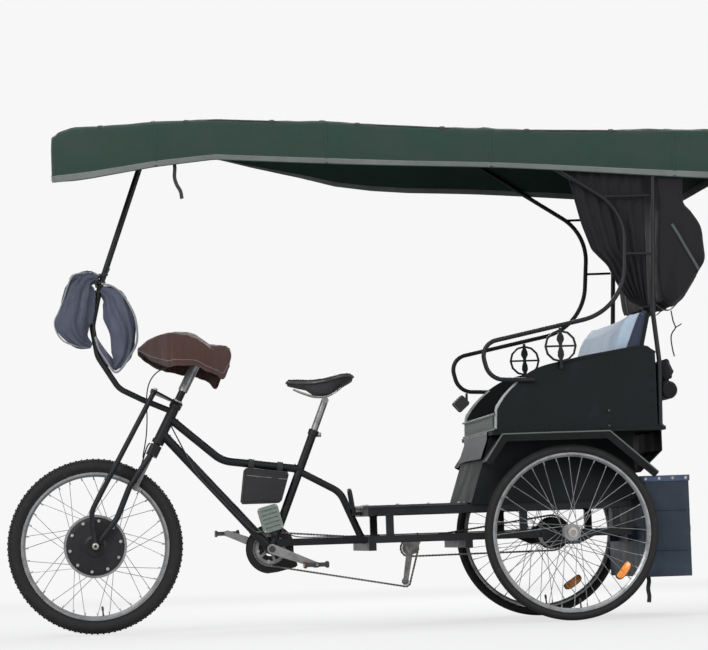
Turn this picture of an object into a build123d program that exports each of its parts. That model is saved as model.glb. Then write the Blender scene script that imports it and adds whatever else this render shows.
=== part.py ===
from build123d import *
from math import atan2, cos, radians, sin, tan
import os

# A three-wheeled cycle rickshaw: a bicycle front end, a ladder chassis with a cabin over
# the two rear wheels, and a long canopy held by a pole on the head tube and by scrolled
# side tubes. Millimetres, +Z up, wheels on Z 0. It faces -X, so its left side is at -Y.
os.makedirs("parts", exist_ok=True)

# Overall layout, X measured back from the front axle
wheelbase = 1773.0
track = 880.0
front_wheel_radius = 336.0
rear_wheel_radius = 328.0
canopy_front = -125.0
canopy_rear = 2400.0
body_half_width = 470.0
canopy_half_width = body_half_width - 10.0

# The origin is under the middle of the whole length, from tyre to canopy
axle_x = -(canopy_rear - front_wheel_radius) / 2
rear_axle_x = axle_x + wheelbase

# Gaps between pieces
seat_gap = 0.3
shaft_gap = 0.05
cloth_gap = 0.4

# Wheels
front_tyre_section = 28.0
front_rim_seat = 283.0
front_rim_inner = 266.0
front_rim_half = 15.0
rear_tyre_section = 18.5
rear_rim_seat = 298.0
rear_rim_inner = 283.0
rear_rim_half = 12.0
spoke_count = 36
spoke_radius = 1.3
motor_radius = 121.0
motor_flange_half = 30.0
motor_half = 42.0
motor_wall = 9.0
front_axle_radius = 6.0
hub_radius = 21.0
hub_flange_radius = 31.0
hub_half = 36.0
half_shaft_radius = 10.0
half_shaft_inner = 75.0
half_shaft_outer = 484.0

# Steering axis: the front axle stands ahead of it by the rake
steering_lean = 27.5
fork_rake = 42.0
head_tube_from = 460.0
head_tube_to = 620.0
head_tube_radius = 20.0
steerer_radius = 14.3
crown_from = 405.0
crown_to = 448.0
yoke_from = 626.0
yoke_to = 634.0
stem_top = 800.0
blade_half_spacing = 60.0
blade_radius = 11.0
strut_radius = 10.0
strut_top_half_spacing = 85.0
strut_bottom_half_spacing = 84.0
strut_reach = 97.0
bar_radius = 11.0
bar_half_width = 290.0
grip_length = 125.0
grip_radius = 15.5

# Pedal drive
bottom_bracket = (axle_x + 673.0, 303.0)
bracket_radius = 21.0
bracket_half = 34.0
crank_axle_radius = 8.5
crank_length = 175.0
crank_drop = 21.9
crank_inner = 62.0
crank_outer = 75.0
chainring_radius = 62.0
chainring_y = 45.0
chain_width = 7.0
chain_thickness = 4.0
jack_x = axle_x + 1214.0
jack_z = 288.0
jack_ring_radius = 30.0
jack_out_y = 78.0
axle_ring_radius = 66.0
idler_radius = 17.0
idler_drop = 128.0
pedal_spindle_radius = 5.0
pedal_width = 90.0
pedal_length = 92.0
pedal_thick = 22.0

# Frame
top_tube_radius = 16.0
down_tube_radius = 18.0
seat_tube_radius = 16.0
seat_post_radius = 13.6
rail_size = 28.0
rail_half_spacing = 330.0
lower_rail_z = 326.0
upper_rail_z = 431.0
rail_front = axle_x + 1020.0
rail_rear = axle_x + 2020.0
floor_front = axle_x + 1005.0
floor_rear = axle_x + 1408.0
floor_thick = 8.0
floor_half_width = 350.0

# Cabin
board = 15.0
deck_z = 700.0
seat_front = axle_x + 1490.0
box_front_low = axle_x + 1408.0
box_rear = axle_x + 2034.0
box_half_width = 356.0
box_floor = upper_rail_z + rail_size / 2 + seat_gap
deck_rear = axle_x + 2140.0
guard_thick = 2.5
guard_outer = body_half_width + 16.0
cushion_height = 84.0
cushion_depth = 440.0
back_top = (axle_x + 2085.0, 1140.0)

# Side tubes and canopy frame
side_tube_radius = 8.5
side_tube_y = body_half_width + side_tube_radius + seat_gap
roof_rail_radius = 9.0
post_radius = 9.0
canopy_skin = 8.0
roof_rail_y = canopy_half_width - canopy_skin - roof_rail_radius - cloth_gap
canopy_crown = 42.0
pole_radius = 11.5


def from_axle(x, z):
    """A point in the side view, given from under the front axle."""
    return (axle_x + x, z)


def on_axis(along, ahead=0.0):
    """A point of the side view along the steering axis, and ahead of it by a distance."""
    lean = radians(steering_lean)
    foot_x = axle_x + fork_rake * cos(lean)
    foot_z = front_wheel_radius - fork_rake * sin(lean)
    x = foot_x + along * sin(lean) - ahead * cos(lean)
    z = foot_z + along * cos(lean) + ahead * sin(lean)
    return (x, z)


def tube(points, radius, bend=40.0):
    """A round bar through the points, with its corners bent to a radius."""
    with BuildPart() as run:
        with BuildLine() as path:
            if len(points) > 2:
                FilletPolyline(*points, radius=bend)
            else:
                Line(*points)
        with BuildSketch(Plane(path.line @ 0, z_dir=path.line % 0)):
            Circle(radius)
        sweep(path=path.line)
    return run.part


def side_tube_line(points, radius, bend=40.0):
    """A round bar in the middle plane, through points of the side view."""
    return tube([(x, 0, z) for x, z in points], radius, bend)


def across(x, z, radius, y_from, y_to):
    """A round bar that lies across the vehicle."""
    with BuildPart() as bar:
        with BuildSketch(Plane.XZ.offset(-y_from)):
            with Locations((x, z)):
                Circle(radius)
        extrude(amount=-(y_to - y_from))
    return bar.part


def block(x_from, x_to, y_from, y_to, z_from, z_to):
    """A square-cornered block between two corners."""
    with BuildPart() as solid:
        with BuildSketch(Plane.XY.offset(z_from)):
            with Locations(((x_from + x_to) / 2, (y_from + y_to) / 2)):
                Rectangle(x_to - x_from, y_to - y_from)
        extrude(amount=z_to - z_from)
    return solid.part


def side_plate(points, y_from, y_to):
    """A flat plate cut to points of the side view."""
    with BuildPart() as plate:
        with BuildSketch(Plane.XZ.offset(-y_from)):
            with BuildLine():
                Polyline(*points, close=True)
            make_face()
        extrude(amount=-(y_to - y_from))
    return plate.part


def wheel_plane(x, y, z):
    """The upright plane of a wheel, facing the right side of the vehicle."""
    return Plane(origin=(x, y, z), x_dir=(1, 0, 0), z_dir=(0, 1, 0))


def spoke_planes(flange_radius, flange_half, rim_radius, cross):
    """Start planes of the spokes of a wheel that lies in the XY plane, and their length."""
    planes = []
    for number in range(spoke_count):
        side = 1 if number % 2 else -1
        lean = cross if (number // 2) % 2 else -cross
        rim_angle = radians(360 / spoke_count * number)
        hub_angle = rim_angle + radians(lean)
        start = Vector(flange_radius * cos(hub_angle), flange_radius * sin(hub_angle), side * flange_half)
        end = Vector(rim_radius * cos(rim_angle), rim_radius * sin(rim_angle), side * 2.0)
        planes.append(Plane(start, z_dir=end - start))
    return planes, (end - start).length


def laced_rim(rim_inner, rim_seat, rim_half, hub_profile, flange_radius, flange_half, cross):
    """A rim laced to its hub, in the XY plane with the axle along Z."""
    web = (rim_inner + rim_seat) / 2
    with BuildPart() as wheel:
        with BuildSketch(Plane.XZ):
            with BuildLine():
                Polyline(
                    (rim_inner, -rim_half * 0.55),
                    (web, -rim_half),
                    (rim_seat, -rim_half),
                    (rim_seat, rim_half),
                    (web, rim_half),
                    (rim_inner, rim_half * 0.55),
                    close=True,
                )
            make_face()
            with BuildLine():
                Polyline(*hub_profile, close=True)
            make_face()
        revolve(axis=Axis.Z)
        planes, length = spoke_planes(flange_radius, flange_half, rim_inner + 3, cross)
        with BuildSketch(*planes):
            RegularPolygon(spoke_radius, 6)
        extrude(amount=length)
    return wheel.part


def tyre(outer, section, seat, sides):
    """A tyre in the XY plane, a rounded section cut flat where it sits on the rim."""
    with BuildPart() as ring:
        with BuildSketch(Plane.XZ):
            with Locations((outer - section, 0)):
                RegularPolygon(section, sides)
            with Locations((seat / 2, 0)):
                Rectangle(seat, 3 * section, mode=Mode.SUBTRACT)
        revolve(axis=Axis.Z)
    return ring.part


def chain_loop(stations, width, y):
    """A closed chain round toothed rings: x, z and radius of each."""
    with BuildPart() as loop:
        with BuildSketch(Plane.XZ.offset(-y)):
            for x, z, radius in stations:
                with Locations((x, z)):
                    Circle(radius + chain_thickness)
            make_hull()
            with BuildSketch(mode=Mode.SUBTRACT):
                for x, z, radius in stations:
                    with Locations((x, z)):
                        Circle(radius)
                make_hull()
        extrude(amount=width / 2, both=True)
    return loop.part


def toothed_ring(x, z, y, radius, thick, bore, teeth):
    """A sprocket whose teeth stop inside the chain."""
    with BuildPart() as ring:
        with BuildSketch(Plane.XZ.offset(-y)):
            with Locations((x, z)):
                Circle(radius - 3.5)
                with PolarLocations(radius - 4.0, teeth):
                    RegularPolygon(3.4, 3)
                Circle(bore, mode=Mode.SUBTRACT)
        extrude(amount=thick / 2, both=True)
    return ring.part


# Front wheel: a wide tyre and a rim laced to the shell of the hub motor
front_center = wheel_plane(axle_x, 0, front_wheel_radius)

with BuildPart() as front_tyre:
    add(front_center.location * tyre(front_wheel_radius, front_tyre_section, front_rim_seat + seat_gap, 8))
front_tyre.part.label = "front_tyre"
export_step(front_tyre.part, "parts/front_tyre.step")

motor_shell = [
    (motor_radius - motor_wall, -motor_flange_half),
    (motor_radius, -motor_flange_half),
    (motor_radius, -motor_flange_half + 5),
    (motor_radius - 4, -motor_flange_half + 6),
    (motor_radius - 4, motor_flange_half - 6),
    (motor_radius, motor_flange_half - 5),
    (motor_radius, motor_flange_half),
    (motor_radius - motor_wall, motor_flange_half),
]
with BuildPart() as front_rim:
    add(
        front_center.location
        * laced_rim(
            front_rim_inner,
            front_rim_seat,
            front_rim_half,
            motor_shell,
            motor_radius - 3,
            motor_flange_half - 2.5,
            24,
        )
    )
front_rim.part.label = "front_rim"
export_step(front_rim.part, "parts/front_rim.step")

with BuildPart() as hub_motor:
    with BuildSketch(Plane.XZ):
        with BuildLine():
            Polyline(
                (front_axle_radius + shaft_gap, -motor_half),
                (34, -motor_half),
                (44, -motor_half + 5),
                (motor_radius - motor_wall - 14, -motor_half + 9),
                (motor_radius - motor_wall - seat_gap, -motor_flange_half),
                (motor_radius - motor_wall - seat_gap, motor_flange_half),
                (motor_radius - motor_wall - 14, motor_half - 9),
                (44, motor_half - 5),
                (34, motor_half),
                (front_axle_radius + shaft_gap, motor_half),
                close=True,
            )
        make_face()
    revolve(axis=Axis.Z)
hub_motor.part = front_center.location * hub_motor.part
hub_motor.part.label = "hub_motor"
export_step(hub_motor.part, "parts/hub_motor.step")

# Rear wheels: narrow tyres and rims laced to hubs that are keyed on the half shafts
rear_hub = [
    (half_shaft_radius + shaft_gap, -hub_half),
    (hub_radius - 4, -hub_half),
    (hub_radius - 4, -hub_half + 6),
    (hub_flange_radius, -hub_half + 6),
    (hub_flange_radius, -hub_half + 10),
    (hub_radius, -hub_half + 12),
    (hub_radius, hub_half - 12),
    (hub_flange_radius, hub_half - 10),
    (hub_flange_radius, hub_half - 6),
    (hub_radius - 4, hub_half - 6),
    (hub_radius - 4, hub_half),
    (half_shaft_radius + shaft_gap, hub_half),
]
rear_laced = laced_rim(
    rear_rim_inner, rear_rim_seat, rear_rim_half, rear_hub, hub_flange_radius - 2.5, hub_half - 8, 62
)
rear_rubber = tyre(rear_wheel_radius, rear_tyre_section, rear_rim_seat + seat_gap, 6)
# Columns: side name, sign of Y
sides = [("left", -1), ("right", 1)]
for side_name, side in sides:
    rear_center = wheel_plane(rear_axle_x, side * track / 2, rear_wheel_radius)
    with BuildPart() as rear_tyre:
        add(rear_center.location * rear_rubber)
    rear_tyre.part.label = "rear_tyre_" + side_name
    export_step(rear_tyre.part, f"parts/rear_tyre_{side_name}.step")

    with BuildPart() as rear_rim:
        add(rear_center.location * rear_laced)
    rear_rim.part.label = "rear_rim_" + side_name
    export_step(rear_rim.part, f"parts/rear_rim_{side_name}.step")

    with BuildPart() as half_shaft:
        add(across(
            rear_axle_x,
            rear_wheel_radius,
            half_shaft_radius,
            side * half_shaft_inner,
            side * half_shaft_outer,
        ))
    half_shaft.part.label = "half_shaft_" + side_name
    export_step(half_shaft.part, f"parts/half_shaft_{side_name}.step")

# Rear axle: a housing round the half shafts, its plates on the rails, and the drive case
housing_radius = 24.0
case_radius = 58.0
case_half = 56.0
plate_half = 100.0
with BuildPart() as rear_axle:
    add(across(
        rear_axle_x, rear_wheel_radius, housing_radius, -rail_half_spacing - 40, rail_half_spacing + 40
    ))
    add(across(rear_axle_x, rear_wheel_radius, case_radius, -case_half, case_half))
    for side_name, side in sides:
        with BuildSketch(Plane.XZ.offset(-side * (rail_half_spacing + rail_size / 2 + seat_gap))):
            with BuildLine():
                Polyline(
                    (rear_axle_x - plate_half, lower_rail_z + rail_size / 2),
                    (rear_axle_x - plate_half, lower_rail_z - rail_size / 2),
                    (rear_axle_x - 40, rear_wheel_radius - 44),
                    (rear_axle_x + 40, rear_wheel_radius - 44),
                    (rear_axle_x + plate_half, lower_rail_z - rail_size / 2),
                    (rear_axle_x + plate_half, lower_rail_z + rail_size / 2),
                    close=True,
                )
            make_face()
        extrude(amount=-side * 8)
    add(toothed_ring(
        rear_axle_x, rear_wheel_radius, jack_out_y, axle_ring_radius, 4, housing_radius - 1, 38
    ))
    with BuildSketch(Plane.XZ):
        with Locations((rear_axle_x, rear_wheel_radius)):
            Circle(half_shaft_radius + shaft_gap)
    extrude(amount=2 * track, both=True, mode=Mode.SUBTRACT)
rear_axle.part.label = "rear_axle"
export_step(rear_axle.part, "parts/rear_axle.step")

# Front frame: head tube, top tube, down tube, seat tube and bottom bracket
head_low = on_axis(head_tube_from)
head_high = on_axis(head_tube_to)
seat_clamp = from_axle(854, 755)
seat_lean = atan2(seat_clamp[0] - bottom_bracket[0], seat_clamp[1] - bottom_bracket[1])


def up_seat_tube(height):
    """A point of the seat tube's axis at a height."""
    return (bottom_bracket[0] + (height - bottom_bracket[1]) * tan(seat_lean), height)


top_tube_head = on_axis(565)
down_tube_head = on_axis(500)
cup_radius = head_tube_radius + 3.5
cup_height = 12.0
cup_stand = 4.0
collar_radius = seat_tube_radius + 4.0
with BuildPart() as front_frame:
    add(side_tube_line([head_low, head_high], head_tube_radius))
    for cup_low, cup_high in (
        (head_tube_from - cup_stand, head_tube_from + cup_height),
        (head_tube_to - cup_height, head_tube_to + cup_stand),
    ):
        add(side_tube_line([on_axis(cup_low), on_axis(cup_high)], cup_radius))
    add(side_tube_line([up_seat_tube(seat_clamp[1] - 20), seat_clamp], collar_radius))
    add(side_tube_line([top_tube_head, from_axle(495, 648), up_seat_tube(607)], top_tube_radius, 120))
    add(side_tube_line([down_tube_head, bottom_bracket], down_tube_radius))
    add(side_tube_line([bottom_bracket, seat_clamp], seat_tube_radius))
    add(across(*bottom_bracket, bracket_radius, -bracket_half, bracket_half))
    with BuildSketch(Plane.XZ):
        with Locations(bottom_bracket):
            Circle(crank_axle_radius + shaft_gap)
    extrude(amount=2 * bracket_half, both=True, mode=Mode.SUBTRACT)
    steering_top = on_axis(head_tube_to + 10)
    steering_low = on_axis(head_tube_from - 10)
    add(
        side_tube_line([steering_low, steering_top], steerer_radius + shaft_gap),
        mode=Mode.SUBTRACT,
    )
    add(
        side_tube_line([up_seat_tube(700), up_seat_tube(780)], seat_post_radius + shaft_gap),
        mode=Mode.SUBTRACT,
    )
front_frame.part.label = "front_frame"
export_step(front_frame.part, "parts/front_frame.step")

# Centre beam: from the bottom bracket back to the rear axle, with its bent brace
brace_radius = 14.0
beam_front = bottom_bracket[0] + bracket_radius + seat_gap
beam_rear = rear_axle_x - case_radius - seat_gap
with BuildPart() as centre_beam:
    add(block(
        beam_front,
        beam_rear,
        -rail_size / 2,
        rail_size / 2,
        lower_rail_z - rail_size / 2 + seat_gap,
        lower_rail_z + rail_size / 2,
    ))
    add(side_tube_line(
        [up_seat_tube(598), from_axle(946, 513), from_axle(1026, lower_rail_z)], brace_radius, 90
    ))
    add(
        side_tube_line([bottom_bracket, seat_clamp], seat_tube_radius + seat_gap),
        mode=Mode.SUBTRACT,
    )
centre_beam.part.label = "centre_beam"
export_step(centre_beam.part, "parts/centre_beam.step")

# Ladder chassis: lower and upper rails on each side, struts between them and cross members
strut_stations = [1102.0, 1608.0, 1960.0]
# Columns: X from the front axle, height; the lower two run under the rails and carry the beam
cross_stations = [
    (1034.0, lower_rail_z - rail_size),
    (1398.0, lower_rail_z - rail_size),
    (2006.0, lower_rail_z),
    (1034.0, upper_rail_z),
    (1398.0, upper_rail_z),
    (2006.0, upper_rail_z),
]
with BuildPart() as chassis_rails:
    for side_name, side in sides:
        for z in (lower_rail_z, upper_rail_z):
            add(block(
                rail_front,
                rail_rear,
                side * rail_half_spacing - rail_size / 2,
                side * rail_half_spacing + rail_size / 2,
                z - rail_size / 2,
                z + rail_size / 2,
            ))
        for station in strut_stations:
            add(block(
                axle_x + station - rail_size / 2,
                axle_x + station + rail_size / 2,
                side * rail_half_spacing - rail_size / 2,
                side * rail_half_spacing + rail_size / 2,
                lower_rail_z,
                upper_rail_z,
            ))
    for station, z in cross_stations:
        add(block(
            axle_x + station - rail_size / 2,
            axle_x + station + rail_size / 2,
            -rail_half_spacing - rail_size / 2,
            rail_half_spacing + rail_size / 2,
            z - rail_size / 2,
            z + rail_size / 2,
        ))
    add(
        across(rear_axle_x, rear_wheel_radius, housing_radius + seat_gap, -track, track),
        mode=Mode.SUBTRACT,
    )
chassis_rails.part.label = "chassis_rails"
export_step(chassis_rails.part, "parts/chassis_rails.step")

# Footboard on the upper rails
floor_low = upper_rail_z + rail_size / 2 + seat_gap
with BuildPart() as floor_plate:
    add(block(
        floor_front,
        floor_rear,
        -floor_half_width,
        floor_half_width,
        floor_low,
        floor_low + floor_thick,
    ))
    fillet(floor_plate.edges().filter_by(Axis.Z), 30)
floor_plate.part.label = "floor_plate"
export_step(floor_plate.part, "parts/floor_plate.step")

# Hoop ahead of the footboard, with its feet on the front cross member
hoop_radius = 6.0
hoop_half_width = 45.0
hoop_top = 520.0
hoop_x = floor_front - hoop_radius - 3
member_front = axle_x + cross_stations[0][0] - rail_size / 2 - seat_gap
with BuildPart() as floor_hoop:
    add(tube(
        [
            (hoop_x, -hoop_half_width, upper_rail_z - 6),
            (hoop_x - 14, -hoop_half_width, hoop_top),
            (hoop_x - 14, hoop_half_width, hoop_top),
            (hoop_x, hoop_half_width, upper_rail_z - 6),
        ],
        hoop_radius,
        24,
    ))
    for y in (-hoop_half_width, hoop_half_width):
        add(block(hoop_x - 9, member_front, y - 12, y + 12, upper_rail_z - 10, upper_rail_z + 2))
floor_hoop.part.label = "floor_hoop"
export_step(floor_hoop.part, "parts/floor_hoop.step")

# Seat post and its clamp, saddle on top
post_low_z = 702.0
clamp_radius = 13.0
clamp_half = 22.0
saddle_clamp = up_seat_tube(868)
with BuildPart() as seat_post:
    add(side_tube_line([up_seat_tube(post_low_z), saddle_clamp], seat_post_radius))
    add(across(*saddle_clamp, clamp_radius, -clamp_half, clamp_half))
seat_post.part.label = "seat_post"
export_step(seat_post.part, "parts/seat_post.step")

saddle_nose = axle_x + 747
saddle_low = saddle_clamp[1] + clamp_radius + seat_gap
# Columns: distance behind the nose, half width, height of the underside and of the top over the clamp
saddle_stations = [
    (0.0, 13.0, 46.0, 62.0),
    (16.0, 19.0, 40.0, 73.0),
    (80.0, 24.0, 24.0, 71.0),
    (112.0, 30.0, 0.0, 71.0),
    (160.0, 52.0, 0.0, 78.0),
    (182.0, 68.0, 6.0, 84.0),
    (215.0, 79.0, 28.0, 92.0),
    (245.0, 80.0, 44.0, 94.0),
    (265.0, 66.0, 56.0, 84.0),
]
with BuildPart() as saddle:
    for along, half, low, high in saddle_stations:
        with BuildSketch(Plane.YZ.offset(saddle_nose + along)):
            with Locations((0, saddle_low + (low + high) / 2)):
                RectangleRounded(2 * half, high - low, min(half, (high - low) / 2) * 0.7)
    loft(ruled=True)
saddle.part.label = "saddle"
export_step(saddle.part, "parts/saddle.step")

# Battery bag under the top tube, between the down tube and the seat tube
bag_half_width = 48.0
bag_drop = top_tube_radius + 1.2
with BuildPart() as battery_bag:
    add(side_plate(
        [
            from_axle(580, 636 - bag_drop),
            from_axle(750, 613.7 - bag_drop),
            from_axle(714, 478),
            from_axle(562, 478),
        ],
        -bag_half_width,
        bag_half_width,
    ))
    fillet(battery_bag.edges().filter_by(Axis.Y), 14)
battery_bag.part.label = "battery_bag"
export_step(battery_bag.part, "parts/battery_bag.step")

# Motor controller on the left of the seat tube, with cooling slots in its face
controller_size = (80.0, 100.0)
controller_deep = 34.0
controller_slots = 5
controller_turn = 15.0
controller_place = Location(from_axle(672, 420), controller_turn)
controller_back = seat_tube_radius + seat_gap
with BuildPart() as controller:
    with BuildSketch(Plane.XZ.offset(controller_back)):
        with Locations(controller_place):
            RectangleRounded(*controller_size, 14)
    extrude(amount=controller_deep)
    with BuildSketch(Plane.XZ.offset(controller_back + controller_deep)):
        with Locations(controller_place):
            with GridLocations(0, controller_size[1] / (controller_slots + 1), 1, controller_slots):
                SlotOverall(controller_size[0] - 20, 6)
    extrude(amount=-4, mode=Mode.SUBTRACT)
controller.part.label = "controller"
export_step(controller.part, "parts/controller.step")

# Cranks: axle, two arms and the chainring
crank_boss_radius = 19.0
crank_eye_radius = 12.0
crank_angle = radians(crank_drop)
crank_way = Vector(cos(crank_angle), 0, -sin(crank_angle))
bracket_point = Vector(bottom_bracket[0], 0, bottom_bracket[1])
pedal_points = {
    "left": bracket_point + crank_way * crank_length,
    "right": bracket_point - crank_way * crank_length,
}
with BuildPart() as crank_set:
    add(across(*bottom_bracket, crank_axle_radius, -crank_outer, crank_outer))
    for side_name, side in sides:
        eye = pedal_points[side_name]
        with BuildSketch(Plane.XZ.offset(-side * crank_inner)):
            with Locations(bottom_bracket):
                Circle(crank_boss_radius)
            with Locations((eye.X, eye.Z)):
                Circle(crank_eye_radius)
            make_hull()
        extrude(amount=-side * (crank_outer - crank_inner))
        with BuildSketch(Plane.XZ.offset(-side * crank_outer)):
            with Locations((eye.X, eye.Z)):
                Circle(pedal_spindle_radius)
        extrude(amount=-side * (pedal_width + 12))
    with BuildSketch(Plane.XZ.offset(-chainring_y + 2)):
        with Locations(bottom_bracket):
            Circle(chainring_radius - 3.5)
            with PolarLocations(chainring_radius - 4.0, 36):
                RegularPolygon(3.4, 3)
            Circle(chainring_radius - 16, mode=Mode.SUBTRACT)
            with PolarLocations(chainring_radius / 2, 5):
                Rectangle(chainring_radius - 14, 11)
            Circle(20)
    extrude(amount=-4)
    with BuildSketch(Plane.XZ.offset(-chainring_y - 2)):
        with Locations(bottom_bracket):
            Circle(16)
    extrude(amount=-(crank_inner - chainring_y - 2))
crank_set.part.label = "crank_set"
export_step(crank_set.part, "parts/crank_set.step")

# Pedals: a cage of two side plates and a core that turns on the spindle
for side_name, side in sides:
    eye = pedal_points[side_name]
    y_inner = side * (crank_outer + 5)
    y_outer = side * (crank_outer + 5 + pedal_width)
    with BuildPart() as pedal:
        for x_sign in (-1, 1):
            x_mid = eye.X + x_sign * (pedal_length / 2 - 4)
            add(block(
                x_mid - 4,
                x_mid + 4,
                min(y_inner, y_outer),
                max(y_inner, y_outer),
                eye.Z - pedal_thick / 2,
                eye.Z + pedal_thick / 2,
            ))
        for y_mid in (y_inner + side * 7, y_outer - side * 7):
            add(block(
                eye.X - pedal_length / 2 + 4,
                eye.X + pedal_length / 2 - 4,
                y_mid - 5,
                y_mid + 5,
                eye.Z - pedal_thick / 2 + 3,
                eye.Z + pedal_thick / 2 - 3,
            ))
        add(across(eye.X, eye.Z, 11, min(y_inner, y_outer), max(y_inner, y_outer)))
        add(
            across(eye.X, eye.Z, pedal_spindle_radius + shaft_gap, -2 * track, 2 * track),
            mode=Mode.SUBTRACT,
        )
    pedal.part.label = "pedal_" + side_name
    export_step(pedal.part, f"parts/pedal_{side_name}.step")

# Jack shaft under the beam, with its two rings, hangers and the tensioner
idler = (jack_x - 22, jack_z - idler_drop)
hanger_y = 32.0
hanger_half_top = 34.0
hanger_half_low = 14.0
hanger_top = lower_rail_z - rail_size / 2 - seat_gap
jack_radius = 8.0
with BuildPart() as jack_shaft:
    add(across(jack_x, jack_z, jack_radius, -hanger_y - 8, jack_out_y + 6))
    for y in (-hanger_y, hanger_y - 10):
        with BuildSketch(Plane.XZ.offset(-y)):
            with BuildLine():
                Polyline(
                    (jack_x - hanger_half_top, hanger_top),
                    (jack_x + hanger_half_top, hanger_top),
                    (jack_x + hanger_half_low, jack_z - 22),
                    (jack_x - hanger_half_low, jack_z - 22),
                    close=True,
                )
            make_face()
        extrude(amount=-6)
    add(block(
        jack_x - hanger_half_top,
        jack_x + hanger_half_top,
        -hanger_y,
        hanger_y - 4,
        hanger_top - 4,
        hanger_top,
    ))
    add(toothed_ring(jack_x, jack_z, chainring_y, jack_ring_radius, 4, 6, 18))
    add(toothed_ring(jack_x, jack_z, jack_out_y, jack_ring_radius, 4, 6, 18))
    with BuildSketch(Plane.XZ.offset(-chainring_y + 11)):
        with Locations((jack_x, jack_z)):
            Circle(13)
        with Locations(idler):
            Circle(10)
        make_hull()
    extrude(amount=-4)
    add(across(*idler, 5, chainring_y - 10, chainring_y + 3))
    add(toothed_ring(*idler, chainring_y, idler_radius, 4, 3, 11))
jack_shaft.part.label = "jack_shaft"
export_step(jack_shaft.part, "parts/jack_shaft.step")

# Chains: one from the cranks to the jack shaft, one from there to the rear axle
front_stations = [
    (*bottom_bracket, chainring_radius + seat_gap),
    (jack_x, jack_z, jack_ring_radius + seat_gap),
    (*idler, idler_radius + seat_gap),
]
rear_stations = [
    (jack_x, jack_z, jack_ring_radius + seat_gap),
    (rear_axle_x, rear_wheel_radius, axle_ring_radius + seat_gap),
]
with BuildPart() as chains:
    add(chain_loop(front_stations, chain_width, chainring_y))
    add(chain_loop(rear_stations, chain_width, jack_out_y))
chains.part.label = "chains"
export_step(chains.part, "parts/chains.step")

# Fork: steerer, crown, bent blades, dropouts and the fixed axle of the hub motor
blade_line = [
    on_axis(crown_to - 12),
    from_axle(138, 561),
    from_axle(86, 440),
    from_axle(0, front_wheel_radius),
]
with BuildPart() as fork:
    add(side_tube_line([on_axis(crown_from + 5), on_axis(stem_top - 60)], steerer_radius))
    with BuildSketch(Plane(
        origin=(on_axis(crown_from)[0], 0, on_axis(crown_from)[1]),
        x_dir=(0, 1, 0),
        z_dir=(sin(radians(steering_lean)), 0, cos(radians(steering_lean))),
    )):
        RectangleRounded(2 * blade_half_spacing + 34, 44, 14)
    extrude(amount=crown_to - crown_from)
    for side_name, side in sides:
        add(tube(
            [(x, side * blade_half_spacing, z) for x, z in blade_line],
            blade_radius,
            90,
        ))
        add(across(
            axle_x,
            front_wheel_radius,
            16,
            side * (blade_half_spacing - 9),
            side * (blade_half_spacing + 7),
        ))
    add(across(
        axle_x,
        front_wheel_radius,
        front_axle_radius,
        -strut_bottom_half_spacing - 22,
        strut_bottom_half_spacing + 22,
    ))
fork.part.label = "fork"
export_step(fork.part, "parts/fork.step")

# Truss struts ahead of the fork, from a yoke over the head tube down to the axle
strut_high = on_axis(yoke_to, strut_reach)
strut_line = [strut_high, from_axle(-13, 466), from_axle(0, front_wheel_radius)]
with BuildPart() as fork_struts:
    for side_name, side in sides:
        (top_x, top_z), (mid_x, mid_z), (low_x, low_z) = strut_line
        add(tube(
            [
                (top_x, side * strut_top_half_spacing, top_z),
                (mid_x, side * strut_bottom_half_spacing, mid_z),
                (low_x, side * strut_bottom_half_spacing, low_z),
            ],
            strut_radius,
            90,
        ))
        add(across(
            axle_x,
            front_wheel_radius,
            15,
            side * (strut_bottom_half_spacing - 7),
            side * (strut_bottom_half_spacing + 10),
        ))
    yoke_origin = on_axis(yoke_from)
    with BuildSketch(Plane(
        origin=(yoke_origin[0], 0, yoke_origin[1]),
        x_dir=(0, 1, 0),
        z_dir=(sin(radians(steering_lean)), 0, cos(radians(steering_lean))),
    )):
        Circle(24)
        with Locations((-strut_top_half_spacing, strut_reach), (strut_top_half_spacing, strut_reach)):
            Circle(15)
        make_hull()
        Circle(steerer_radius + seat_gap, mode=Mode.SUBTRACT)
    extrude(amount=yoke_to - yoke_from)
    add(
        across(axle_x, front_wheel_radius, front_axle_radius + seat_gap, -2 * track, 2 * track),
        mode=Mode.SUBTRACT,
    )
fork_struts.part.label = "fork_struts"
export_step(fork_struts.part, "parts/fork_struts.step")

# Handlebar: stem, a bar with a rise and swept ends, grips and brake levers
bar_center = on_axis(stem_top + 26)
bar_points = [
    (bar_center[0] + 62, -bar_half_width, bar_center[1] + 4),
    (bar_center[0] - 26, -140, bar_center[1] + 26),
    (bar_center[0], -50, bar_center[1]),
    (bar_center[0], 50, bar_center[1]),
    (bar_center[0] - 26, 140, bar_center[1] + 26),
    (bar_center[0] + 62, bar_half_width, bar_center[1] + 4),
]
with BuildPart() as handlebar:
    add(side_tube_line([on_axis(stem_top - 120), on_axis(stem_top + 26)], steerer_radius + 4.5))
    add(
        side_tube_line([on_axis(stem_top - 130), on_axis(stem_top - 59)], steerer_radius + seat_gap),
        mode=Mode.SUBTRACT,
    )
    add(across(*bar_center, 19, -26, 26))
    add(tube(bar_points, bar_radius, 60))
handlebar.part.label = "handlebar"
export_step(handlebar.part, "parts/handlebar.step")

with BuildPart() as grips:
    for side_name, side in sides:
        end = Vector(bar_points[0][0], side * bar_half_width, bar_points[0][2])
        inner = Vector(bar_points[1][0], side * 140, bar_points[1][2])
        way = (inner - end).normalized()
        start = end - way * 6
        add(tube([tuple(start), tuple(start + way * grip_length)], grip_radius))
        add(
            tube([tuple(start + way * 5.7), tuple(start + way * (grip_length + 5))], bar_radius + seat_gap),
            mode=Mode.SUBTRACT,
        )
grips.part.label = "grips"
export_step(grips.part, "parts/grips.step")

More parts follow.
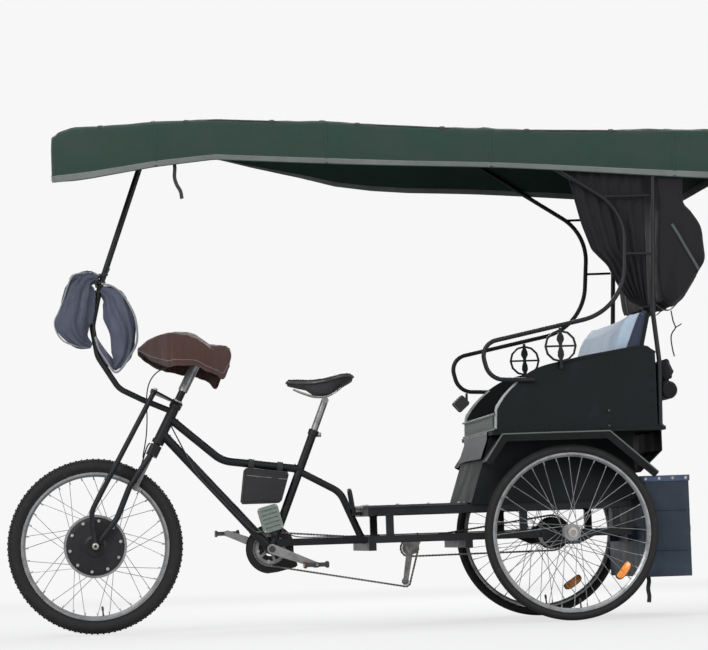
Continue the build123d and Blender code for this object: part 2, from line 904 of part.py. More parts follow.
with BuildPart() as brake_levers:
    for side_name, side in sides:
        end = Vector(bar_points[0][0], side * bar_half_width, bar_points[0][2])
        inner = Vector(bar_points[1][0], side * 140, bar_points[1][2])
        way = (inner - end).normalized()
        clamp = end + way * (grip_length + 8)
        tip = end + way * 22 + Vector(-36, 0, -26)
        add(tube([tuple(clamp), tuple(clamp + way * 16)], bar_radius + 5))
        add(tube(
            [
                tuple(clamp + way * 8 + Vector(-6, 0, -12)),
                tuple(clamp + Vector(-38, 0, -30)),
                tuple(tip),
            ],
            4.5,
            20,
        ))
        add(
            tube([tuple(clamp - way * 3), tuple(clamp + way * 20)], bar_radius + seat_gap),
            mode=Mode.SUBTRACT,
        )
brake_levers.part.label = "brake_levers"
export_step(brake_levers.part, "parts/brake_levers.step")

# Rim brake under the crown: a bridge and two arms that straddle the tyre
brake_top = on_axis(crown_from - seat_gap)
brake_plane = Plane(
    origin=(brake_top[0], 0, brake_top[1]),
    x_dir=(0, -1, 0),
    z_dir=(-cos(radians(steering_lean)), 0, sin(radians(steering_lean))),
)
brake_clear = front_tyre_section + 7
pad_top = -131.0
pad_low = -147.0
with BuildPart() as front_brake:
    with BuildSketch(brake_plane):
        with BuildLine():
            Polyline(
                (-brake_clear - 10, 0),
                (brake_clear + 10, 0),
                (brake_clear + 10, -40),
                (brake_clear + 6, pad_low),
                (front_rim_half + 6, pad_low),
                (front_rim_half + 6, pad_top),
                (brake_clear, pad_top + 4),
                (brake_clear, -18),
                (-brake_clear, -18),
                (-brake_clear, pad_top + 4),
                (-front_rim_half - 6, pad_top),
                (-front_rim_half - 6, pad_low),
                (-brake_clear - 6, pad_low),
                (-brake_clear - 10, -40),
                close=True,
            )
        make_face()
    extrude(amount=7, both=True)
front_brake.part.label = "front_brake"
export_step(front_brake.part, "parts/front_brake.step")

# Cloth cover over the handlebar: a soft shell, open below
cover_wall = 7.0
cover_half_width = 330.0
cover_mouth_z = 1030.0
cover_outline = [
    from_axle(186, 1080),
    from_axle(196, 1104),
    from_axle(256, 1140),
    from_axle(330, 1153),
    from_axle(400, 1140),
    from_axle(531, 1047),
    from_axle(524, 1008),
    from_axle(482, 968),
    from_axle(402, 1003),
    from_axle(300, 1010),
]
cover_plan = [
    from_axle(186, -70),
    from_axle(300, -250),
    from_axle(380, -cover_half_width),
    from_axle(540, -cover_half_width),
    from_axle(540, cover_half_width),
    from_axle(380, cover_half_width),
    from_axle(300, 250),
    from_axle(186, 70),
]


def cover_form(inset):
    """The cover's outer form, or the hollow inside it at a distance from the outside."""
    with BuildPart() as form:
        with BuildSketch(Plane.XZ.offset(cover_half_width - inset)):
            with BuildLine():
                Polyline(*cover_outline, close=True)
            make_face()
            if inset:
                offset(amount=-inset, kind=Kind.INTERSECTION)
        extrude(amount=-2 * (cover_half_width - inset))
        with BuildSketch(Plane.XY.offset(cover_mouth_z - 200)):
            with BuildLine():
                Polyline(*cover_plan, close=True)
            make_face()
            if inset:
                offset(amount=-inset, kind=Kind.INTERSECTION)
        extrude(amount=400, mode=Mode.INTERSECT)
    return form.part


with BuildPart() as handlebar_cover:
    add(cover_form(0))
    add(cover_form(cover_wall), mode=Mode.SUBTRACT)
    add(
        block(
            axle_x + 240,
            axle_x + 470,
            -cover_half_width + 90,
            cover_half_width - 90,
            cover_mouth_z - 200,
            cover_mouth_z,
        ),
        mode=Mode.SUBTRACT,
    )
handlebar_cover.part.label = "handlebar_cover"
export_step(handlebar_cover.part, "parts/handlebar_cover.step")

# Cabin: a box under the seat, its deck, side panels, back and rear panel
with BuildPart() as seat_box:
    box_outline = [
        (box_front_low, box_floor),
        (box_rear, box_floor),
        (box_rear, deck_z + seat_gap),
        (seat_front, deck_z + seat_gap),
    ]
    with BuildSketch(Plane.XZ.offset(-box_half_width)):
        with BuildLine():
            Polyline(*box_outline, close=True)
        make_face()
    extrude(amount=2 * box_half_width)
    with BuildSketch(Plane.XZ.offset(-box_half_width + board)):
        with BuildLine():
            Polyline(
                (box_front_low + board, box_floor - 5),
                (box_rear - board, box_floor - 5),
                (box_rear - board, deck_z + seat_gap),
                (seat_front + board, deck_z + seat_gap),
                close=True,
            )
        make_face()
    extrude(amount=2 * (box_half_width - board), mode=Mode.SUBTRACT)
    add(block(
        seat_front - 6,
        deck_rear,
        -body_half_width,
        body_half_width,
        deck_z + seat_gap,
        deck_z + seat_gap + board,
    ))
seat_box.part.label = "seat_box"
export_step(seat_box.part, "parts/seat_box.step")

panel_low = deck_z + board + 2 * seat_gap
panel_top = [
    from_axle(1506, panel_low + 78),
    from_axle(1534, 833),
    from_axle(1566, 873),
    from_axle(1606, 905),
    from_axle(1693, 945),
    from_axle(1846, 978),
    from_axle(2000, 1002),
]
panel_rear = axle_x + 2110.0
for side_name, side in sides:
    with BuildPart() as side_panel:
        with BuildSketch(Plane.XZ.offset(-side * (body_half_width - board))):
            with BuildLine() as edge:
                front_low = (panel_top[0][0] - 4, panel_low)
                Polyline(front_low, panel_top[0])
                ThreePointArc(panel_top[0], panel_top[2], panel_top[4])
                Polyline(
                    panel_top[4],
                    panel_top[6],
                    (panel_rear - 40, 1010),
                    (panel_rear, 985),
                    (panel_rear, panel_low),
                    front_low,
                )
            make_face()
        extrude(amount=-side * board)
    side_panel.part.label = "side_panel_" + side_name
    export_step(side_panel.part, f"parts/side_panel_{side_name}.step")

back_y = body_half_width - board - seat_gap
back_low = (axle_x + 1985.0, panel_low)
with BuildPart() as back_panel:
    add(side_plate(
        [
            back_low,
            (back_low[0] + board, panel_low),
            (back_top[0] + board, back_top[1]),
            back_top,
        ],
        -back_y,
        back_y,
    ))
back_panel.part.label = "back_panel"
export_step(back_panel.part, "parts/back_panel.step")

rear_low = 545.0
with BuildPart() as rear_panel:
    add(side_plate(
        [
            (box_rear + seat_gap, rear_low),
            (box_rear + 24, rear_low),
            (deck_rear + 4 + seat_gap, 625),
            (deck_rear + 4 + seat_gap, 790),
            (deck_rear - 10, 860),
            (deck_rear - 14, 856),
            (deck_rear + seat_gap, 786),
            (deck_rear + seat_gap, 627),
            (box_rear + 22, rear_low + 4),
            (box_rear + seat_gap, rear_low + 4),
        ],
        -box_half_width,
        box_half_width,
    ))
rear_panel.part.label = "rear_panel"
export_step(rear_panel.part, "parts/rear_panel.step")

# Seat cushion, backrest and the skirt that hangs below the cushion
cushion_low = panel_low
with BuildPart() as seat_cushion:
    add(block(
        seat_front,
        seat_front + cushion_depth,
        -back_y,
        back_y,
        cushion_low,
        deck_z + cushion_height,
    ))
    fillet(seat_cushion.edges().filter_by(Axis.Y).group_by(Axis.Z)[-1], 18)
seat_cushion.part.label = "seat_cushion"
export_step(seat_cushion.part, "parts/seat_cushion.step")

back_slope = (back_top[0] - back_low[0]) / (back_top[1] - back_low[1])
rest_low = deck_z + cushion_height + 3
rest_thick = 95.0


def back_face(height):
    """The front face of the back panel at a height."""
    return back_low[0] + (height - back_low[1]) * back_slope - 1.0


with BuildPart() as backrest:
    add(side_plate(
        [
            (back_face(rest_low), rest_low),
            (back_face(back_top[1] + 6), back_top[1] + 6),
            (back_face(back_top[1]) - rest_thick * 0.6, back_top[1] + 4),
            (back_face(1080) - rest_thick, 1080),
            (back_face(rest_low) - rest_thick, rest_low + 10),
            (back_face(rest_low) - rest_thick + 14, rest_low),
        ],
        -back_y + 4,
        back_y - 4,
    ))
backrest.part.label = "backrest"
export_step(backrest.part, "parts/backrest.step")

skirt_low = 616.0
skirt_thick = 5.0
skirt_top_x = seat_front - 6 - seat_gap
front_slope = (seat_front - box_front_low) / (deck_z - box_floor)
skirt_low_x = seat_front - (deck_z - skirt_low) * front_slope - 1.0
with BuildPart() as seat_skirt:
    add(side_plate(
        [
            (skirt_top_x, deck_z + board),
            (skirt_top_x, deck_z - 14),
            (skirt_low_x, skirt_low),
            (skirt_low_x - skirt_thick, skirt_low),
            (skirt_top_x - skirt_thick, deck_z - 14),
            (skirt_top_x - skirt_thick, deck_z + board),
        ],
        -box_half_width,
        box_half_width,
    ))
seat_skirt.part.label = "seat_skirt"
export_step(seat_skirt.part, "parts/seat_skirt.step")

# Mudguards: flat-topped arches over the rear wheels with a turned-down lip
guard_inner = box_half_width + seat_gap
guard_lip = 26.0
guard_line = [
    from_axle(1452, 600),
    from_axle(1520, deck_z),
    from_axle(1926, deck_z),
    from_axle(2104, 541.1),
]
guard_underside = [
    from_axle(2100.6, 538.6),
    from_axle(1924.9, deck_z - guard_thick),
    from_axle(1521.6, deck_z - guard_thick),
    from_axle(1454.5, 598.7),
]
guard_lip_edge = [
    from_axle(2086, 522.1),
    from_axle(1914, deck_z - guard_lip),
    from_axle(1535, deck_z - guard_lip),
    from_axle(1474, 588),
]
for side_name, side in sides:
    with BuildPart() as mudguard:
        with BuildSketch(Plane.XZ.offset(-side * guard_inner)):
            with BuildLine():
                Polyline(*guard_line, *guard_underside, close=True)
            make_face()
        extrude(amount=-side * (guard_outer - guard_inner))
        with BuildSketch(Plane.XZ.offset(-side * (guard_outer - guard_thick))):
            with BuildLine():
                Polyline(*guard_line, *guard_lip_edge, close=True)
            make_face()
        extrude(amount=-side * guard_thick)
    mudguard.part.label = "mudguard_" + side_name
    export_step(mudguard.part, f"parts/mudguard_{side_name}.step")

# Side tubes: arm loop, arm rail and the sweep up to the canopy, bent from one length
# Columns: X from the front axle, Z, share of the way in to the roof rail, bend radius
side_tube_points = [
    (1650.0, 900.0, 0.0, 0.0),
    (1480.0, 907.0, 0.0, 70.0),
    (1448.0, 1040.0, 0.0, 60.0),
    (1998.0, 1152.0, 0.0, 210.0),
    (2020.0, 1530.0, 1.0, 200.0),
    (1568.0, 0.0, 1.0, 0.0),
]

# Columns: X from the front axle, Z of the canopy's top edge, Z of the valance's lower edge
canopy_stations = [
    (-125.0, 1868.0, 1697.0),
    (-40.0, 1900.0, 1700.0),
    (480.0, 1922.0, 1754.0),
    (915.0, 1900.0, 1733.0),
    (1550.0, 1858.0, 1698.0),
    (2400.0, 1835.0, 1640.0),
]


def roof_edge(x):
    """Height of the canopy's top edge at a distance behind the front axle."""
    for (x0, z0, _), (x1, z1, _) in zip(canopy_stations, canopy_stations[1:]):
        if x <= x1:
            return z0 + (z1 - z0) * (x - x0) / (x1 - x0)
    return canopy_stations[-1][1]


bow_radius = 7.0
rail_drop = canopy_skin + roof_rail_radius + cloth_gap
bow_drop = canopy_skin + bow_radius + cloth_gap
bow_crown = canopy_crown - 2
roof_inset = side_tube_y - roof_rail_y
tube_head_z = roof_edge(side_tube_points[-1][0]) - rail_drop - roof_rail_radius - side_tube_radius
post_foot_y = body_half_width - board / 2 - 6
post_head_y = roof_rail_y - 2.5
post_foot_z = deck_z + board + 2 * seat_gap
post_head_z = roof_edge(2140.0) - rail_drop - roof_rail_radius - 1
# Columns: X from the front axle, Z of the rear posts
post_points = [
    (2122.0, post_foot_z),
    (2128.0, 960.0),
    (2112.0, 1139.0),
    (2124.0, 1415.0),
    (2134.0, 1700.0),
    (2140.0, post_head_z),
]


def post_y(z):
    """Distance of a rear post from the middle plane, which shrinks towards the roof rail."""
    share = (z - post_foot_z) / (post_head_z - post_foot_z)
    return post_foot_y + (post_head_y - post_foot_y) * share


def post_rear(z):
    """How far behind the front axle the rear of a post stands at a height, with a hair to spare."""
    for (x0, z0), (x1, z1) in zip(post_points, post_points[1:]):
        if z <= z1:
            break
    return x0 + (x1 - x0) * (z - z0) / (z1 - z0) + post_radius + 2 * seat_gap


# Columns: Z, X where the link leaves the side tube, X of the post there, share of the way in
link_stations = [(1366.0, 2010.0, 2121.5, 0.57), (1585.0, 1934.0, 2129.5, 1.0)]
link_radius = 5.0
for side_name, side in sides:
    with BuildPart() as side_tube:
        line = [
            (axle_x + x, side * (side_tube_y - roof_inset * share), z or tube_head_z)
            for x, z, share, bend in side_tube_points
        ]
        add(tube(line, side_tube_radius, [bend for x, z, share, bend in side_tube_points[1:-1]]))
        for z, tube_x, post_x, share in link_stations:
            link_from = (axle_x + tube_x, side * (side_tube_y - roof_inset * share), z)
            link_to = (axle_x + post_x - post_radius - 1, side * post_y(z), z)
            add(tube([link_from, link_to], link_radius))
    side_tube.part.label = "side_tube_" + side_name
    export_step(side_tube.part, f"parts/side_tube_{side_name}.step")


def arm_rail_low(x):
    """Height of the underside of the straight arm rail at a distance behind the front axle."""
    (x0, z0, _, _), (x1, z1, _, _) = side_tube_points[2:4]
    slope = (z1 - z0) / (x1 - x0)
    return z0 + (x - x0) * slope - side_tube_radius / cos(atan2(z1 - z0, x1 - x0))


# Medallions between the rail and the panel: a twelve-sided ring, a baluster and a bar
medallion_x = 1752.0
medallion_z = 1024.0
medallion = from_axle(medallion_x, medallion_z)
medallion_radius = 61.0
medallion_ring = 8.0
medallion_thick = 8.0
medallion_head = arm_rail_low(medallion_x - 4) - seat_gap
medallion_foot = medallion_z - 84.0
# Columns: height over the medallion's middle, half width of the baluster
baluster = [
    (medallion_foot - medallion_z, 7.0),
    (-66.0, 5.0),
    (-50.0, 6.0),
    (-36.0, 12.0),
    (-20.0, 11.0),
    (-6.0, 6.0),
    (8.0, 6.0),
    (24.0, 14.0),
    (38.0, 12.0),
    (50.0, 6.0),
    (medallion_head - medallion_z, 5.0),
]
baluster_left = [(medallion[0] - half, medallion[1] + up) for up, half in baluster]
baluster_right = [(medallion[0] + half, medallion[1] + up) for up, half in reversed(baluster)]
with BuildPart() as medallions:
    for side_name, side in sides:
        with BuildSketch(Plane.XZ.offset(-side * (side_tube_y - medallion_thick / 2))):
            with Locations(medallion):
                RegularPolygon(medallion_radius, 12)
                RegularPolygon(medallion_radius - medallion_ring, 12, mode=Mode.SUBTRACT)
                Rectangle(2 * medallion_radius - medallion_ring, 7)
            with BuildLine():
                Polyline(*baluster_left, *baluster_right, close=True)
            make_face()
        extrude(amount=-side * medallion_thick)
        with BuildSketch(Plane.XZ.offset(-side * (body_half_width + seat_gap))):
            with Locations((medallion[0], medallion_foot + 7)):
                Circle(7)
        extrude(amount=-side * (side_tube_y - body_half_width))
medallions.part.label = "medallions"
export_step(medallions.part, "parts/medallions.step")

with BuildPart() as rear_posts:
    for side_name, side in sides:
        add(tube([(axle_x + x, side * post_y(z), z) for x, z in post_points], post_radius, 200))
rear_posts.part.label = "rear_posts"
export_step(rear_posts.part, "parts/rear_posts.step")

# Canopy: a curved shell with a hanging valance all round
with BuildPart() as canopy:
    for x, top, bottom in canopy_stations:
        with BuildSketch(Plane.YZ.offset(axle_x + x)):
            with BuildLine():
                Polyline(
                    (canopy_half_width, top),
                    (canopy_half_width, bottom),
                    (-canopy_half_width, bottom),
                    (-canopy_half_width, top),
                )
                ThreePointArc((-canopy_half_width, top), (0, top + canopy_crown), (canopy_half_width, top))
            make_face()
    loft(ruled=True)
    inner_half = canopy_half_width - canopy_skin
    for x, top, bottom in canopy_stations:
        inner_x = min(max(x, canopy_front + canopy_skin), canopy_rear - canopy_skin)
        inner_top = roof_edge(inner_x) - canopy_skin
        with BuildSketch(Plane.YZ.offset(axle_x + inner_x)):
            with BuildLine():
                Polyline(
                    (inner_half, inner_top),
                    (inner_half, bottom - 60),
                    (-inner_half, bottom - 60),
                    (-inner_half, inner_top),
                )
                ThreePointArc(
                    (-inner_half, inner_top), (0, inner_top + canopy_crown), (inner_half, inner_top)
                )
            make_face()
    loft(ruled=True, mode=Mode.SUBTRACT)
canopy.part.label = "canopy"
export_step(canopy.part, "parts/canopy.step")

# Canopy frame: two side rails that follow the top edge, and bows across
bow_stations = [-95.0, 262.0, 900.0, 1520.0, 2140.0, 2370.0]
rail_stations = [-95.0, 480.0, 915.0, 1550.0, 2370.0]
with BuildPart() as canopy_frame:
    for side_name, side in sides:
        add(tube(
            [(axle_x + x, side * roof_rail_y, roof_edge(x) - rail_drop) for x in rail_stations],
            roof_rail_radius,
            400,
        ))
    for x in bow_stations:
        z = roof_edge(x) - bow_drop
        with BuildLine() as bow:
            ThreePointArc(
                (axle_x + x, -roof_rail_y, z),
                (axle_x + x, 0, z + bow_crown),
                (axle_x + x, roof_rail_y, z),
            )
        with BuildSketch(Plane(bow.line @ 0, z_dir=bow.line % 0)):
            Circle(bow_radius)
        sweep(path=bow.line)
canopy_frame.part.label = "canopy_frame"
export_step(canopy_frame.part, "parts/canopy_frame.step")

# Front pole: from the head tube forward, round and up to the second bow
pole_points = [
    (302.0, 846.0),
    (199.0, 891.0),
    (108.0, 938.0),
    (30.0, 1064.0),
    (12.0, 1180.0),
    (46.0, 1330.0),
    (262.0, roof_edge(262.0) - bow_drop + bow_crown - bow_radius - 3),
]
with BuildPart() as front_pole:
    add(tube([(axle_x + x, 0, z) for x, z in pole_points], pole_radius, 80))
    add(
        side_tube_line(
            [on_axis(head_tube_from - 20), on_axis(head_tube_to + 20)], head_tube_radius + seat_gap
        ),
        mode=Mode.SUBTRACT,
    )
front_pole.part.label = "front_pole"
export_step(front_pole.part, "parts/front_pole.step")

# Rolled rain cover tied round the pole: two soft lobes, open between them
left_lobe = [
    (52, 1376), (-60, 1386), (-92, 1290), (-137, 1194), (-108, 1128), (-40, 1104), (24, 1096), (40, 1250),
]
right_lobe = [
    (48, 1330), (112, 1322), (160, 1262), (184, 1200), (182, 1120), (118, 1012), (92, 1000),
    (62, 1056), (92, 1078), (98, 1140), (82, 1220), (30, 1260),
]
with BuildPart() as rain_cover:
    for lobe, half in ((left_lobe, 72.0), (right_lobe, 60.0)):
        add(side_plate([from_axle(x, z) for x, z in lobe], -half, half))
    add(
        tube([(axle_x + x, 0, z) for x, z in pole_points], pole_radius + seat_gap, 80),
        mode=Mode.SUBTRACT,
    )
rain_cover.part.label = "rain_cover"
export_step(rain_cover.part, "parts/rain_cover.step")

# Rolled rear curtain: a soft bulk hung behind the posts and a wing inside the left tube
curtain_back = [
    (post_rear(1190), 1190), (2200, 1152), (2262, 1220), (2330, 1340), (2316, 1490), (2250, 1560),
    (2250, 1700), (post_rear(1700), 1700), (post_rear(1415), 1415),
]
curtain_wing = [
    (1830, 1600), (1850, 1480), (1890, 1385), (1960, 1325), (1990, 1230), (2092, 1160), (2092, 1700),
    (1850, 1700),
]
curtain_half_width = roof_rail_y
wing_outer = roof_rail_y - side_tube_radius - seat_gap
wing_thick = 30.0
with BuildPart() as rear_curtain:
    add(side_plate([from_axle(x, z) for x, z in curtain_back], -curtain_half_width, curtain_half_width))
    add(side_plate([from_axle(x, z) for x, z in curtain_wing], -wing_outer, wing_thick - wing_outer))
rear_curtain.part.label = "rear_curtain"
export_step(rear_curtain.part, "parts/rear_curtain.step")

# Roll of cloth strapped to the posts behind the backrest
roll_radius = 36.0
roll_z = 850.0
roll_x = axle_x + post_rear(roll_z) + roll_radius
roll_half_width = post_y(roll_z)
with BuildPart() as back_roll:
    add(across(roll_x, roll_z, roll_radius, -roll_half_width, roll_half_width))
back_roll.part.label = "back_roll"
export_step(back_roll.part, "parts/back_roll.step")

# Box that hangs behind the rear wheels: a tub with its lid, on two brackets
rear_box_front = axle_x + 2050.0
rear_box_rear = axle_x + 2238.0
rear_box_half_width = 400.0
rear_box_low = 150.0
rear_box_high = 530.0
rear_box_wall = 8.0
lid_height = 22.0
lid_thick = 4.0
rear_box_x = (rear_box_front + rear_box_rear) / 2
rear_box_long = rear_box_rear - rear_box_front - 2 * lid_thick
tub_high = rear_box_high - lid_thick - seat_gap
with BuildPart() as rear_box:
    with BuildSketch(Plane.XY.offset(rear_box_low)):
        with Locations((rear_box_x, 0)):
            RectangleRounded(rear_box_long, 2 * (rear_box_half_width - lid_thick), 14)
    extrude(amount=tub_high - rear_box_low)
    with BuildSketch(Plane.XY.offset(rear_box_low + rear_box_wall)):
        with Locations((rear_box_x, 0)):
            RectangleRounded(
                rear_box_long - 2 * rear_box_wall,
                2 * (rear_box_half_width - lid_thick - rear_box_wall),
                8,
            )
    extrude(amount=rear_box_high, mode=Mode.SUBTRACT)
    for y in (-200, 200):
        add(block(
            rail_rear + seat_gap,
            rear_box_front + lid_thick + 2,
            y - 25,
            y + 25,
            lower_rail_z - 40,
            lower_rail_z + rail_size / 2,
        ))
rear_box.part.label = "rear_box"
export_step(rear_box.part, "parts/rear_box.step")

with BuildPart() as rear_box_cover:
    with BuildSketch(Plane.XY.offset(rear_box_high - lid_height)):
        with Locations((rear_box_x, 0)):
            RectangleRounded(rear_box_long + 2 * lid_thick, 2 * rear_box_half_width, 16)
    extrude(amount=lid_height)
    with BuildSketch(Plane.XY.offset(rear_box_high - lid_height - 1)):
        with Locations((rear_box_x, 0)):
            RectangleRounded(
                rear_box_long + 2 * seat_gap,
                2 * (rear_box_half_width - lid_thick + seat_gap),
                14,
            )
    extrude(amount=lid_height + 1 - lid_thick, mode=Mode.SUBTRACT)
rear_box_cover.part.label = "rear_box_cover"
export_step(rear_box_cover.part, "parts/rear_box_cover.step")

# Lamp under the front of the right arm loop: a box with a bezel round its glass, on a bracket
lamp = from_axle(1486, 858)
lamp_turn = 42.0
lamp_deep = 36.0
bezel_deep = 8.0
lamp_outer = side_tube_y + 6
lamp_bracket_head = side_tube_points[1][1] - side_tube_radius + 0.6
lamp_place = Location(lamp, lamp_turn)
with BuildPart() as side_lamp:
    with BuildSketch(Plane.XZ.offset(-(lamp_outer - bezel_deep))):
        with Locations(lamp_place):
            RectangleRounded(52, 44, 8)
    extrude(amount=lamp_deep)
    with BuildSketch(Plane.XZ.offset(-lamp_outer)):
        with Locations(lamp_place):
            RectangleRounded(58, 50, 9)
            RectangleRounded(48, 40, 6, mode=Mode.SUBTRACT)
    extrude(amount=bezel_deep)
    with BuildSketch(Plane.XY.offset(lamp[1] + 8)):
        with Locations((lamp[0] + 24, side_tube_y - 5)):
            Circle(5)
    extrude(amount=lamp_bracket_head - lamp[1] - 8)
side_lamp.part.label = "side_lamp"
export_step(side_lamp.part, "parts/side_lamp.step")
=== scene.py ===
"""Looks of a three-wheeled cycle rickshaw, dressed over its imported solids.

The solids give every rigid form. This file adds cloth, cushions, tyre treads, chain links,
cables, bolts and stitches, and gives each surface a finish made from shader nodes.
Lengths are metres: +X is the rear of the vehicle, +Y its right side, +Z up.
"""

import logging
import math
from dataclasses import dataclass, field
from enum import Enum
from typing import Callable, Iterable, Optional, Sequence

import bmesh
import bpy
import numpy as np
from mathutils import Matrix, Vector, noise


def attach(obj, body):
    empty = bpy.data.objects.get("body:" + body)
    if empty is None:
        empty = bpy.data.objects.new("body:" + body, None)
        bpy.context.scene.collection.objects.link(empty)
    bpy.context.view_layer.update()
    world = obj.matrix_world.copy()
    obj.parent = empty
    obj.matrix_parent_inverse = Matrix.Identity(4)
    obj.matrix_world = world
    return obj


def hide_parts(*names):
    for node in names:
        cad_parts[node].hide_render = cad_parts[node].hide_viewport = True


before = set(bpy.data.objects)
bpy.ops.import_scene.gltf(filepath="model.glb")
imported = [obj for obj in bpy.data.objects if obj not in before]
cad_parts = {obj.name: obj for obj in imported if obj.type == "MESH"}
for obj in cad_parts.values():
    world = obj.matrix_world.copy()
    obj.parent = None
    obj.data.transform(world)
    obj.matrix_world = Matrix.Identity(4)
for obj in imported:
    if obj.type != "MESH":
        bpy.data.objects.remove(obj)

LOG = logging.getLogger("rickshaw")
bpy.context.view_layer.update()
Point = Sequence[float]

# The front axle stands this far ahead of the origin, and the rear axle this far behind it
FRONT_X = -1.032
REAR_X = 0.741
# The steering axis leans back from upright by this angle
LEAN = math.radians(27.5)
# X and Z from under the front axle: the crank's axle and the top of the seat tube
BRACKET = (673.0, 303.0)
SEAT_TUBE_TOP = (854.0, 755.0)


def from_front(x: float, z: float, y: float = 0.0) -> Vector:
    """A point given from under the front axle, in millimetres.

    Args:
        x: distance behind the front axle.
        z: height over the ground.
        y: distance to the right of the middle plane.

    Returns:
        The point in metres, in the frame of the solids.
    """
    return Vector((FRONT_X + x / 1000.0, y / 1000.0, z / 1000.0))


def places(*spots: Point) -> list[Vector]:
    """Points given as (X, Z) or (X, Z, Y) from under the front axle, in millimetres."""
    return [from_front(*spot) for spot in spots]


def steering_places(*spots: Point) -> list[Vector]:
    """Points given as distances up, ahead of and beside the steering axis, in millimetres."""
    return [on_steering(*spot) for spot in spots]


def on_steering(along: float, ahead: float = 0.0, y: float = 0.0) -> Vector:
    """A point on the steering axis, in millimetres from its foot.

    Args:
        along: distance up the axis.
        ahead: distance ahead of it.
        y: distance to the right.

    Returns:
        The point in metres.
    """
    x = 42.0 * math.cos(LEAN) + along * math.sin(LEAN) - ahead * math.cos(LEAN)
    z = 336.0 - 42.0 * math.sin(LEAN) + along * math.cos(LEAN) + ahead * math.sin(LEAN)
    return from_front(x, z, y)


def behind_front(point: Point) -> float:
    """Distance of a point behind the front axle, in millimetres."""
    return (point[0] - FRONT_X) * 1000.0


def turns(count: int) -> np.ndarray:
    """Angles at even steps round a circle, in radians."""
    return np.linspace(0, math.tau, count + 1)[:-1]


def blunt(value: float, power: float) -> float:
    """A value with its size raised to a power and its sign kept."""
    return math.copysign(abs(value) ** power, value)


def read_off(rows: Sequence[Sequence[float]], place: float, column: int = 1) -> float:
    """Reads a column of a table between its rows, which rise in their first column."""
    return float(np.interp(place, [row[0] for row in rows], [row[column] for row in rows]))


def smooth_line(points: Sequence[Point], step: float = 0.02, closed: bool = False) -> list[Vector]:
    """Runs a smooth line through points.

    Args:
        points: the points to pass through.
        step: about how far apart the points of the result lie.
        closed: whether the line returns to its start.

    Returns:
        Points along the line.
    """
    pts = [Vector(p) for p in points]
    count = len(pts)
    out: list[Vector] = []
    spans = count if closed else count - 1
    for i in range(spans):
        p1, p2 = pts[i], pts[(i + 1) % count]
        p0 = pts[(i - 1) % count] if closed or i > 0 else p1 * 2 - p2
        p3 = pts[(i + 2) % count] if closed or i < count - 2 else p2 * 2 - p1
        cuts = max(2, math.ceil((p2 - p1).length / step))
        for k in range(cuts):
            t = k / cuts
            out.append(
                0.5
                * (
                    2 * p1
                    + (p2 - p0) * t
                    + (2 * p0 - 5 * p1 + 4 * p2 - p3) * t * t
                    + (3 * p1 - p0 - 3 * p2 + p3) * t**3
                )
            )
    if not closed:
        out.append(pts[-1])
    return out


def wave(point: Point, scale: float, seed: float = 0.0) -> float:
    """Soft noise at a point, from about -1 to 1, with waves of a size in metres."""
    x, y, z = point
    return noise.noise(Vector((x / scale + seed, y / scale - seed, z / scale + 0.37 * seed)))


